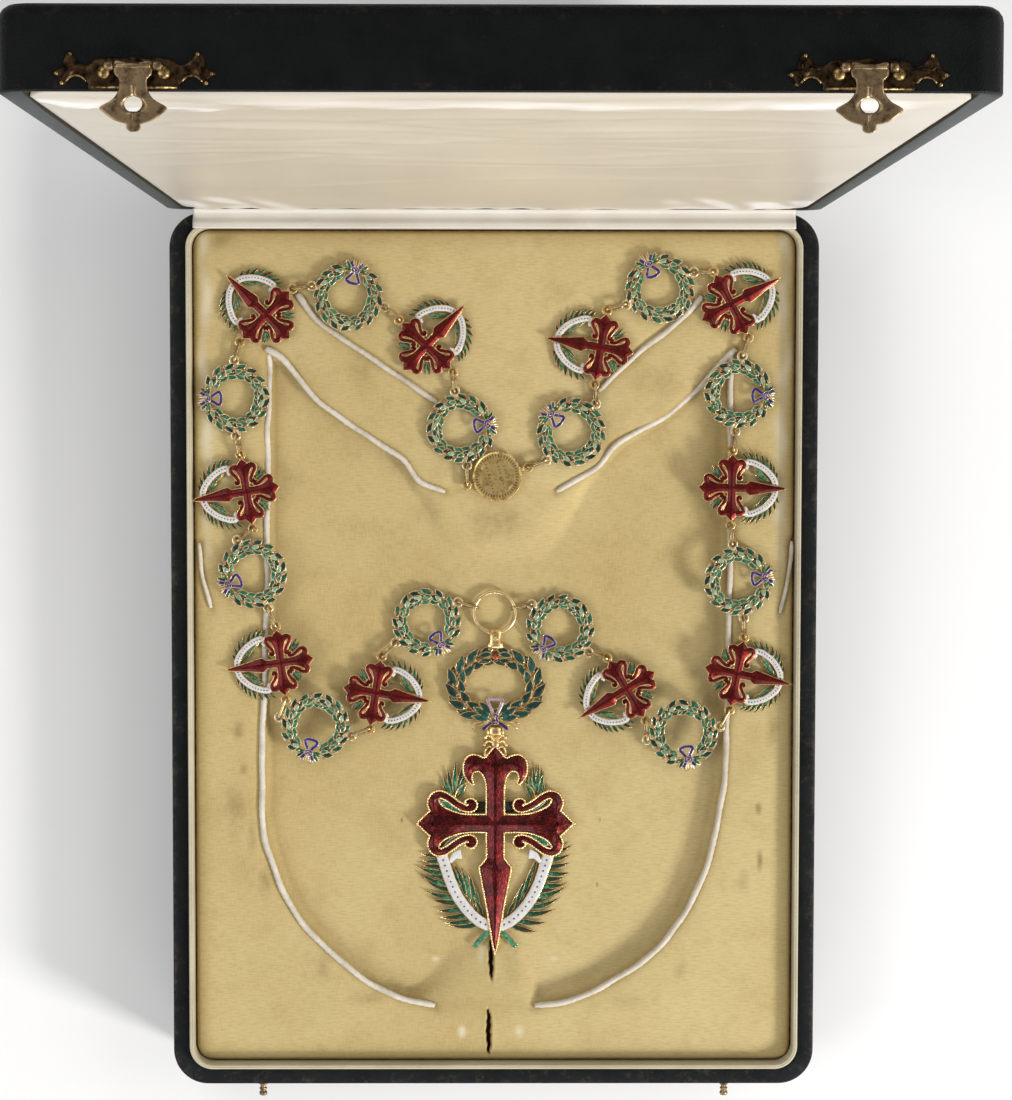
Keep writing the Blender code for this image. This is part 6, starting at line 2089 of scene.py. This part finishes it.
        # pale is bleached wear; the rise by the cords is painted shade
        tone = tone - 0.55 * pale + 0.34 * np.exp(-(self.cord_distance(x, y) / 1.5) ** 2)
        for slit in self.slits:
            # painted shadow in the slits
            tone = tone + 1.1 * self.slit_share(x, y, slit, 1.0)
        _, distance = self.field_distance(x, y)
        # painted shade along the field's outline
        return np.clip(tone + 0.10 * np.exp(-(distance / 2.5) ** 2), 0.0, 1.4)

    def add_cords(self) -> None:
        """Piping cords that lie in their grooves: round tubes whose radius and side shift waver a little."""
        made = Draft()
        for number, run in enumerate(PIPING_RUNS):
            line = smooth_path(np.array(run, float), 0.9)
            s = np.arange(len(line))
            along = directions(line, False)
            sway = 0.18 * np.sin(s / 7.0 + number) + 0.10 * np.sin(s / 2.9)
            line = line + np.stack([-along[:, 1], along[:, 0]], axis=1) * sway[:, None]
            low = self.height(line[:, 0], line[:, 1])
            smooth = np.convolve(np.pad(low, 3, mode="edge"), np.ones(7) / 7, mode="valid")
            lift = smooth + 0.75 * self.cord_radius
            uneven = 1.0 + 0.06 * np.sin(s * 1.9) + 0.05 * np.sin(s / 3.3) + 0.04 * np.sin(s * 2.7)
            radius = self.cord_radius * uneven * np.clip(np.minimum(s + 1.0, len(s) - s) / 3.0, 0.75, 1.0)
            flare = 1.0 + 0.45 * np.exp(-s / 9.0)
            radius = radius * (0.8 if number > 5 else 1.1 * flare if number > 1 else 1.2)
            wire(made, flat_to_space(line, lift), radius, 0, profile=ROUND_8, tone=0.4 + 0.2 * (number % 2))
        made.piece("pad_piping", (Finish.PIPING,))


@dataclass
class CaseLid:
    """Upright lid: covered shell, groove and the ears that carry the hasps."""

    shell: Shell = field(
        default_factory=lambda: Shell(
            LID_DEPTH, 4.0, corner=8.0, inner_corner=7.0, rim_tone=0.5, edge_tone=0.5, far_tone=0.0,
            far_slope=1.0, hinge_side=-1.0))
    top: float = 378.8

    def frame(self) -> np.ndarray:
        """Placement that stands the shell up: its rim faces -Y and its front wall is uppermost."""
        return np.array([(1.0, 0.0, 0.0, 0.0), (0.0, 0.0, -1.0, LID_RIM_Y + LID_DEPTH),
                         (0.0, 1.0, 0.0, LID_MIDDLE_Z), (0.0, 0.0, 0.0, 1.0)])

    def build(self) -> None:
        """Build the shell with its ears."""
        made = Draft()
        self.shell.add_to(made, 3, 0, 1, self.frame())
        for centre in (-HASP_X, HASP_X):
            for side in (-1.0, 1.0):
                low, high = sorted((centre + side * 4.9, centre + side * 7.0))
                turn = np.radians(np.linspace(0.0, 180.0, 9))
                axis = np.array([HASP_Y, HASP_Z])
                arch = around(turn, 1.2) + axis
                arch = np.concatenate([[(arch[0, 0], self.top - 0.5)], arch, [(arch[-1, 0], self.top - 0.5)]])
                loops = [np.stack([np.full(len(arch), x), *((arch - axis) * grow + axis).T], axis=1)
                         for x, grow in ((low, 0.86), (low + 0.2, 1.0), (high - 0.2, 1.0), (high, 0.86))]
                made.add(capped(np.stack(loops)), 2)
        lid = made.piece("case_lid_covered", (Finish.LID_RIM, Finish.GROOVE, Finish.OLD_BRASS,
                                              Finish.LID_OUTSIDE), "lid")
        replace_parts(lid, "case_lid")


@dataclass
class LidLining:
    """Satin panel of the lid: a height over width and length, with rounded corners and edges.

    Places are measured from the panel's middle. A fold is (x, z, half width, half height, slope, rise), a
    lens-shaped roll near the far edge with a painted highlight on its upper side. A ridge is (x, z, slope,
    half length, rise), a long faint wave. A crease is (x, z, half length, sag), a pressed-in arc painted
    darker as shade, which runs out at both ends.
    """

    half_x: float = CASE_WIDTH / 2 - WALL - 0.45
    half_z: float = CASE_LENGTH / 2 - WALL - 0.8
    corner: float = 7.5
    edge: float = 1.7
    seat: float = 2.0
    level: float = 1.85
    highest: float = 3.4
    folds: tuple = (
        (-110, 148, 9, 6.5, 0.10, 1.5), (-84, 143, 17, 8.0, -0.05, 1.6), (-40, 147, 24, 6.0, 0.05, 0.8),
        (-8, 148, 20, 5.0, -0.04, 0.9), (40, 146, 26, 6.5, 0.05, 0.9), (86, 147, 18, 7.0, -0.06, 1.2))
    ridges: tuple = ((-62, 96, -0.32, 46, 0.8), (-28, 60, 0.22, 60, 0.6), (34, 92, -0.18, 54, 0.7),
                     (70, 36, 0.3, 48, 0.55), (-80, 10, 0.36, 40, 0.6), (12, 8, -0.26, 62, 0.5),
                     (60, -50, -0.22, 50, 0.5), (-40, -60, 0.2, 60, 0.5))
    creases: tuple = (
        (-62, 92, 52, 15), (-78, 78, 44, -13), (-4, 104, 44, 9), (46, 98, 56, 13), (28, 82, 60, -12),
        (-34, 44, 66, 14), (66, 56, 46, -12), (-70, 18, 44, 11), (20, 10, 70, -13))

    def build(self) -> None:
        """Build the panel and the walls behind it."""
        u, v = (np.sin(t * math.pi / 2) * 0.25 + t * 0.75 for t in (np.linspace(-1.0, 1.0, 170),
                                                                    np.linspace(-1.0, 1.0, 200)))
        x, z = drawn_in(*np.meshgrid(u * self.half_x, v * self.half_z), self.half_x, self.half_z, self.corner)
        height, painted_highlight = self.far_folds(x, z)
        height, crease = self.with_creases(self.with_gathers(height, x, z), x, z)
        height = self.plain_height(x, z) + height * smoothstep(self.half_x - np.abs(x), 0.5, 13.0)
        height = np.minimum(height, self.highest)
        painted_highlight = self.with_hinge_painted_highlights(painted_highlight, x, z)
        grid = np.stack([x, LID_RIM_Y + self.seat - height, z + LID_MIDDLE_Z], axis=-1)
        # tone: the creases darken the satin as painted shade, and the painted highlight turns it white
        tone = 0.45 + 0.42 * np.clip(crease, 0.0, 1.0) - 0.45 * np.clip(painted_highlight, 0.0, 1.0)
        made = Draft().add(grid, 0, columns_close=False, solid=False, tone=tone)
        border = border_of(grid)
        back = LID_RIM_Y + LID_DEPTH - FLOOR - 0.4
        centre = np.array([0.0, back, LID_MIDDLE_Z])
        shrunk = centre + (border - centre) * (0.986, 0.0, 0.99)
        made.add(np.stack([border, border * (1, 0, 1) + (0, LID_RIM_Y + 9.0, 0), shrunk,
                           np.broadcast_to(centre, border.shape)]), 0, tone=0.6)
        lining = made.piece("lid_lining_satin", (Finish.SATIN,), "lid")
        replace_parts(lining, "lid_lining")
        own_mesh(lining)

    def plain_height(self, x: np.ndarray, z: np.ndarray) -> np.ndarray:
        """Height without folds: level, rounded off at the edges and lower along the far one."""
        side = self.corner - np.hypot(*beyond_corners(x, z, self.half_x, self.half_z, self.corner))
        near = np.clip((side - self.edge) / (self.corner - self.edge), 0.0, 1.0)
        height = self.level - 0.1 * (1.0 - np.sqrt(np.clip(1.0 - (1.0 - near) ** 2, 0, 1)))
        far = self.half_z - z
        return height - 1.0 * np.clip(1.0 - far / 5.0, 0.0, 1.0) ** 2 - 0.25 * np.clip(
            1.0 - side / 0.7, 0.0, 1.0) ** 2

    def far_folds(self, x: np.ndarray, z: np.ndarray) -> tuple:
        """Height and painted highlight of the roll along the far edge and of the folds beside it.

        Each is a bell curve over the distance from its line or lens, with a shallow hollow round each lens. A
        fold's painted highlight lies on its upper side.

        Args:
            x: Places across.
            z: Places along.

        Returns:
            Height above the plain panel and painted highlight.
        """
        far = self.half_z - z
        height = 1.5 * np.exp(-((far - 15.0 - 3.0 * np.sin(x / 31.0)) / 9.0) ** 2)
        # painted highlight along the far roll
        painted_highlight = 0.7 * np.exp(-((far - 10.0 - 3.0 * np.sin(x / 31.0)) / 3.5) ** 2) * (
            0.6 + 0.4 * np.sin(x / 11.0))
        for mid_x, mid_z, half_width, half_height, slope, rise in self.folds:
            away = np.hypot((x - mid_x) / half_width, (z - mid_z - slope * (x - mid_x)) / half_height)
            height = height + rise * np.exp(-away ** 2 * 1.4) - 0.5 * rise * np.exp(
                -((away - 1.35) / 0.3) ** 2)
            upper = z > mid_z + slope * (x - mid_x) - 0.3 * half_height
            # painted highlight on each fold's upper side
            painted_highlight = painted_highlight + 0.6 * rise * np.exp(-((away - 0.62) / 0.3) ** 2) * upper
        return height, painted_highlight

    def with_gathers(self, height: np.ndarray, x: np.ndarray, z: np.ndarray) -> np.ndarray:
        """Add fine gathers above the hinge, a roll along it, low broad waves and the ridges.

        Args:
            height: Height so far.
            x: Places across.
            z: Places along.

        Returns:
            The new height.
        """
        gather = smoothstep(-z, self.half_z - 46.0, self.half_z)
        ends = 0.35 + 0.65 * smoothstep(np.abs(x + 10.0), 40.0, 100.0)
        edge = smoothstep(z, -self.half_z, -self.half_z + 5.0)
        pleats = np.sin(x / 4.3 + 1.7 * np.sin(x / 21.0) + z / 26.0)
        height = height + (0.15 + 0.85 * edge) * ends * gather * 0.7 * pleats
        height = height + 0.6 * np.exp(-((z + self.half_z - 7.0) / 5.0) ** 2)
        height = height + 0.45 * np.sin(z / 12.0 + 2.0 * np.sin(x / 47.0)) * np.sin(x / 33.0 + 0.6)
        for mid_x, mid_z, slope, half_length, rise in self.ridges:
            across = z - mid_z - slope * (x - mid_x) - 5.0 * np.sin((x - mid_x) / 27.0)
            height = height + rise * np.exp(-(across / 3.6) ** 2 - ((x - mid_x) / half_length) ** 2)
        return height

    def with_creases(self, height: np.ndarray, x: np.ndarray, z: np.ndarray) -> tuple:
        """Press each crease in, with a soft roll on the side to which it sags.

        Args:
            height: Height so far.
            x: Places across.
            z: Places along.

        Returns:
            The new height and how far each place lies in a crease, which the tone paints as shade.
        """
        total = 0.0 * x
        for mid_x, mid_z, half_length, sag in self.creases:
            share = np.clip(1.0 - ((x - mid_x) / half_length) ** 2, 0.0, 1.0)
            across = z - mid_z - sag * share
            crease = np.sqrt(share) * np.exp(-(across / 2.4) ** 2)
            total = total + crease
            roll = np.sqrt(share) * np.exp(-((across - 5.0 * np.sign(sag)) / 5.0) ** 2)
            height = height - 0.35 * crease + 0.45 * roll
        return height, total

    def with_hinge_painted_highlights(self, painted_highlight: np.ndarray, x: np.ndarray, z: np.ndarray) -> np.ndarray:
        """Add painted highlights: bright tufts above the hinge towards both ends, and a bright band along the
        roll by it.

        Args:
            painted_highlight: Painted highlight so far.
            x: Places across.
            z: Places along.

        Returns:
            The new painted highlight.
        """
        low = z + self.half_z
        tufts = np.exp(-((low - 21.0 - 7.0 * np.sin(x / 9.0)) / 13.0) ** 2)
        ends = smoothstep(np.abs(x + 6.0), 58.0, 92.0)
        # painted highlights: tufts towards both ends, then a band along the roll by the hinge
        painted_highlight = painted_highlight + 1.7 * ends * tufts * (0.5 + 0.5 * np.sin(x / 2.6 + z / 8.0))
        uneven = 0.55 + 0.45 * np.sin(x / 7.0 + 2.0 * np.sin(x / 19.0))
        return painted_highlight + 1.1 * np.exp(-((low - 5.0) / 5.0) ** 2) * uneven


@dataclass
class HingeStrip:
    """Satin strip that joins the tray's lip to the lid's lining over the hinge."""

    half_width: float = 115.2
    run: tuple = ((162.6, 43.12), (163.8, 43.05), (164.9, 42.8), (165.7, 42.1), (166.7, 41.6), (168.2, 41.5),
                  (169.2, 41.9), (169.8, 42.9), (170.1, 44.3), (170.9, 46.2), (172.0, 48.2), (173.2, 50.0))
    thickness: float = 0.25

    def build(self) -> None:
        """Carry the run across the case; small gathers wave along X and grow towards the lid."""
        line = smooth_path(np.array(self.run), 0.6)
        x = np.linspace(-self.half_width, self.half_width, 260)
        share = np.linspace(0.0, 1.0, len(line))
        wave = 0.10 * np.sin(x / 2.9 + 2.4 * np.sin(x / 17.0)) * np.sin(x / 37.0 + 1.0) * (
            0.25 + share[:, None])
        along = directions(line, False)
        normal = np.stack([-along[:, 1], along[:, 0]], axis=1)
        made = Draft()
        skins = []
        for lift in (self.thickness, 0.0):
            y = line[:, :1] + normal[:, :1] * (wave + lift)
            z = line[:, 1:] + normal[:, 1:] * (wave + lift)
            skins.append(np.stack([np.broadcast_to(x, y.shape), y, z], axis=-1))
        made.add(np.concatenate([skins[0], skins[1][::-1]]), 0, rows_close=True, columns_close=False,
                 tone=0.4)
        ends = [np.stack([skins[0][:, k], skins[1][:, k]]) for k in (0, -1)]
        for end, flip in zip(ends, (False, True)):
            part = Draft().add(end, 0, columns_close=False, solid=False)
            made.joined(part.turned_over() if flip else part)
        strip = made.piece("hinge_strip", (Finish.STRIP,), "")
        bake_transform(strip)


@dataclass
class Hasp:
    """Fan-shaped brass hasp, its pin and its back plate on the lid's front wall."""

    side: str
    x: float
    thickness: float = 0.95
    half: tuple = (
        (0.0, 0.75, 0.0, 1.3), (2.0, 0.45, 0.0, 1.5), (3.9, 0.0, 0.0, 1.7), (4.7, 0.5, 0.0, 1.9),
        (4.65, 2.9, 0.0, 3.0), (4.2, 3.7, 0.0, 3.9), (3.5, 4.4, 0.0, 4.7), (3.4, 5.8, 0.0, 6.0),
        (3.75, 7.6, 0.0, 8.3), (5.2, 9.5, 1.6, 9.1), (8.2, 11.4, 2.25, 10.3), (6.9, 12.9, 1.9, 11.5),
        (4.6, 14.5, 1.0, 12.3), (1.9, 15.4, 0.0, 12.5), (1.7, 16.4, 0.0, 14.2), (1.0, 17.1, 0.0, 15.6),
        (0.0, 17.3, 0.0, 16.1))
    plate: tuple = (
        (0.0, 0.5), (5.5, 0.45), (10.8, 0.5), (11.3, 1.9), (12.6, 3.2), (14.3, 3.7), (16.0, 3.1), (17.2, 1.3),
        (18.0, 1.7), (18.2, 3.2), (20.2, 4.3), (18.4, 5.2), (17.5, 6.2), (16.9, 8.4), (15.6, 9.8),
        (14.7, 8.4), (13.2, 6.9), (11.2, 6.3), (9.4, 7.6), (6.2, 8.2), (3.0, 7.9), (0.0, 8.4))

    def build(self) -> None:
        """Build the hasp on its own body and the back plate with its rivets on the lid."""
        self.build_tongue()
        self.build_plate()

    def build_tongue(self) -> None:
        """Plate between an outline and an inner line that opens round the hole, with a rolled eye.

        The half outline holds points as (beside, down, inner beside, inner down).
        """
        right = smooth_path(np.array(self.half), 0.35)
        whole = np.concatenate([right, (right * (-1.0, 1.0, -1.0, 1.0))[-2:0:-1]])
        outer = np.stack([self.x + whole[:, 0], HASP_Y + 1.2 - whole[:, 1]], axis=1)
        inner = np.stack([self.x + whole[:, 2], HASP_Y + 1.2 - whole[:, 3]], axis=1)
        low, high = HASP_Z - self.thickness / 2, HASP_Z + self.thickness / 2
        rows = [(1.0, low), (0.1, low), (0.0, low + 0.25), (0.0, high - 0.25), (0.05, high - 0.06),
                (0.14, high), (0.45, high + 0.03), (0.75, high), (1.0, high - 0.1)]
        grid = np.stack([flat_to_space(outer + (inner - outer) * way, z) for way, z in rows])
        made = Draft().add(grid, 0)
        hole = np.abs(whole[:, 2]) > 1e-6
        first = int(np.argmax(hole))
        count = int(hole[first:len(right)].sum())
        side = inner[first - 1:first + count + 1]
        rim = np.concatenate([side, np.stack([2 * self.x - side[-2:0:-1, 0], side[-2:0:-1, 1]], axis=1)])
        wall = Draft().add(np.stack([flat_to_space(rim, low), flat_to_space(rim, high - 0.1)]), 0)
        made.joined(wall.turned_over())
        roll = np.array([(self.x + beside, HASP_Y, HASP_Z - 0.1) for beside in (-4.3, -4.0, 4.0, 4.3)])
        wire(made, roll, np.array([0.6, 0.8, 0.8, 0.6]), 0, profile=ROUND_12)
        piece = made.piece(f"hasp_{self.side}_brass", (Finish.OLD_BRASS,), f"hasp_{self.side}")
        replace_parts(piece, f"hasp_{self.side}")

    def build_plate(self) -> None:
        """Thin plate with scalloped ends, dome rivets and the pin through the ears."""
        half = cornered_path((self.plate[:8], self.plate[7:11], self.plate[10:15], self.plate[14:]), 0.5)
        whole = np.concatenate([half, (half * (-1.0, 1.0))[-2:0:-1]])
        reach = np.linspace(-16.5, 16.5, 60)
        lift = 4.2 + 1.6 * smoothstep(np.abs(reach), 11.0, 16.0)
        ridge = np.stack([reach, lift, np.full(60, 0.62)], axis=1)
        made = Draft()
        feet = np.stack([np.clip(whole[:, 0] * 0.9, -16.5, 16.5), np.full(len(whole), 4.5)], axis=1)
        relief(made, whole, feet, ridge, -0.2, 0.3, 0, 1.5)
        for side in (1.0, -1.0):
            beads(made, np.array([(7.3 * side, 4.5, 0.5)]), 1.8, 1, 8, 14, 0.75)
            rivets = np.array([(19.0, 4.3, 0.4), (17.7, 2.0, 0.4), (15.6, 9.0, 0.4)]) * (side, 1.0, 1.0)
            beads(made, rivets, 0.55, 1, 6, 9, 0.7)
            arc = np.radians(np.linspace(28.0, 152.0, 13))
            rim = (around(arc, 2.75) + (14.2, 1.05)) * (side, 1.0)
            wire(made, flat_to_space(rim, 0.4), 0.3, 1)
            curl = ((12.2, 5.6), (13.6, 6.0), (15.2, 5.4), (16.4, 6.4), (15.8, 7.8))
            wire(made, curve(curl, 0.6, 0.62, (side, 1.0)), 0.28, 0)
        bar = np.array([(-10.6, 0.95, 0.35), (0.0, 0.95, 0.4), (10.6, 0.95, 0.35)])
        wire(made, bar, 0.36, 1)
        made = made.placed(turn_matrix(self.x, LID_RIM_Y, HASP_Z - 1.8, 0.0))
        pin = np.array([(self.x - 7.2, HASP_Y, HASP_Z), (self.x + 7.2, HASP_Y, HASP_Z)])
        wire(made, pin, 0.45, 1, profile=ROUND_8)
        piece = made.piece(f"hasp_plate_{self.side}", (Finish.PLATE_BRASS, Finish.WORN_BRASS),
                           "lid")


@dataclass
class CatchPost:
    """Turned brass knob on the tray's front wall that a hasp closes over."""

    side: str
    x: float
    z: float = 37.6

    def build(self) -> None:
        """Turn a profile of (distance from the wall, radius) about the post's axis."""
        profile = np.array(
            [(0.3, 0.0), (0.3, 1.75), (0.7, 1.78), (1.0, 1.3), (1.4, 1.15), (2.0, 1.1), (2.25, 1.45),
             (2.65, 1.5), (2.9, 1.15), (3.5, 1.15), (3.9, 1.55), (4.6, 1.6), (5.05, 1.35), (5.3, 0.9),
             (5.4, 0.4), (5.42, 0.0)])
        angle = ring_of(24)
        x = self.x + profile[:, 1:] * np.cos(angle)
        z = self.z + profile[:, 1:] * np.sin(angle)
        y = np.broadcast_to(-CASE_LENGTH / 2 - profile[:, :1] + 0.25, x.shape)
        made = Draft().add(np.stack([x, y, z], axis=-1), 0)
        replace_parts(made.piece(f"catch_post_{self.side}_turned", (Finish.OLD_BRASS,)),
                    f"catch_post_{self.side}")


# Studio

@dataclass
class Lamp:
    """Soft rectangular light that looks at a point."""

    name: str
    place: tuple
    target: tuple
    size: tuple
    power: float
    colour: tuple = (1.0, 1.0, 1.0)

    def build(self) -> None:
        """Create the light and turn it to its target."""
        light = bpy.data.lights.new(self.name, "AREA")
        light.shape = "RECTANGLE"
        light.size, light.size_y = self.size
        light.energy = self.power
        light.color = self.colour
        item = bpy.data.objects.new(self.name, light)
        item.location = self.place
        item.rotation_euler = (Vector(self.target) - Vector(self.place)).to_track_quat("-Z", "Y").to_euler()
        bpy.context.scene.collection.objects.link(item)


@dataclass
class Studio:
    """Plain pale floor, soft lights and the camera above the case."""

    camera_place: tuple = (-0.00480, 0.08939, 0.98563)
    camera_turn: tuple = (-3.027, -0.394, 0.072)
    lens: float = 80.35
    shift: tuple = (0.00655, 0.0004)
    lamps: tuple = (
        Lamp("key", (1.30, -0.85, 0.86), (0.0, 0.0, 0.05), (0.32, 0.32), 24.0, (1.0, 0.985, 0.96)),
        Lamp("left fill", (-1.25, -0.35, 1.25), (-0.1, 0.05, 0.05), (1.1, 0.9), 8.5),
        Lamp("front fill", (0.10, -1.45, 0.90), (0.0, 0.12, 0.20), (1.3, 0.5), 7.0),
        Lamp("right fill", (1.30, 0.35, 1.30), (0.0, 0.0, 0.05), (1.0, 0.9), 6.0),
        Lamp("back fill", (-0.70, 1.10, 1.55), (0.0, 0.05, 0.05), (1.0, 0.8), 5.0))

    def build(self) -> None:
        """Make the floor, the world's light, the lamps and the camera."""
        side = np.linspace(-2500.0, 2500.0, 41)
        x, y = np.meshgrid(side, side)
        floor = Draft().add(np.stack([x, y, np.full(x.shape, -0.4)], axis=-1), 0, columns_close=False,
                            solid=False, faces_up=True)
        item = floor.piece("floor", (Finish.FLOOR,), "")
        bpy.context.scene.view_settings.view_transform = "Standard"
        world = bpy.data.worlds.new("studio")
        world.use_nodes = True
        world.node_tree.nodes["Background"].inputs["Color"].default_value = (1.0, 1.0, 1.0, 1.0)
        world.node_tree.nodes["Background"].inputs["Strength"].default_value = 0.24
        bpy.context.scene.world = world
        for lamp in self.lamps:
            lamp.build()
        data = bpy.data.cameras.new("camera")
        data.lens = self.lens
        data.sensor_width = 36.0
        data.sensor_fit = "AUTO"
        data.shift_x, data.shift_y = self.shift
        data.clip_end = 20.0
        camera = bpy.data.objects.new("camera", data)
        camera.location = self.camera_place
        camera.rotation_euler = tuple(math.radians(a) for a in self.camera_turn)
        bpy.context.scene.collection.objects.link(camera)
        bpy.context.scene.camera = camera
        LOG.info("studio: floor, %d lamps and camera", len(self.lamps))


def main() -> None:
    """Build every sub-assembly in order."""
    logging.basicConfig(level=logging.INFO, format="%(name)s: %(message)s")
    Studio().build()
    CaseTray().build()
    CaseLip().build()
    CasePad().build()
    CaseLid().build()
    LidLining().build()
    HingeStrip().build()
    for side, x in (("left", -HASP_X), ("right", HASP_X)):
        Hasp(side, x).build()
        CatchPost(side, x).build()
    chain = Chain()
    chain.build()
    ClaspSeal().build(chain.clasp)
    low = EYE_HEIGHT - chain.ring_drop
    CentreRing().build(chain.ring_x, chain.ring_y + COLLAR_SHIFT, low)
    PendantBail().build(0.5, 7.15, 2.2, low)
    PendantWreath().build(0.5, -13.8, low)
    PendantCross().build(0.5, -67.4, low)
    bpy.context.view_layer.update()


if __name__ == "__main__":
    main()
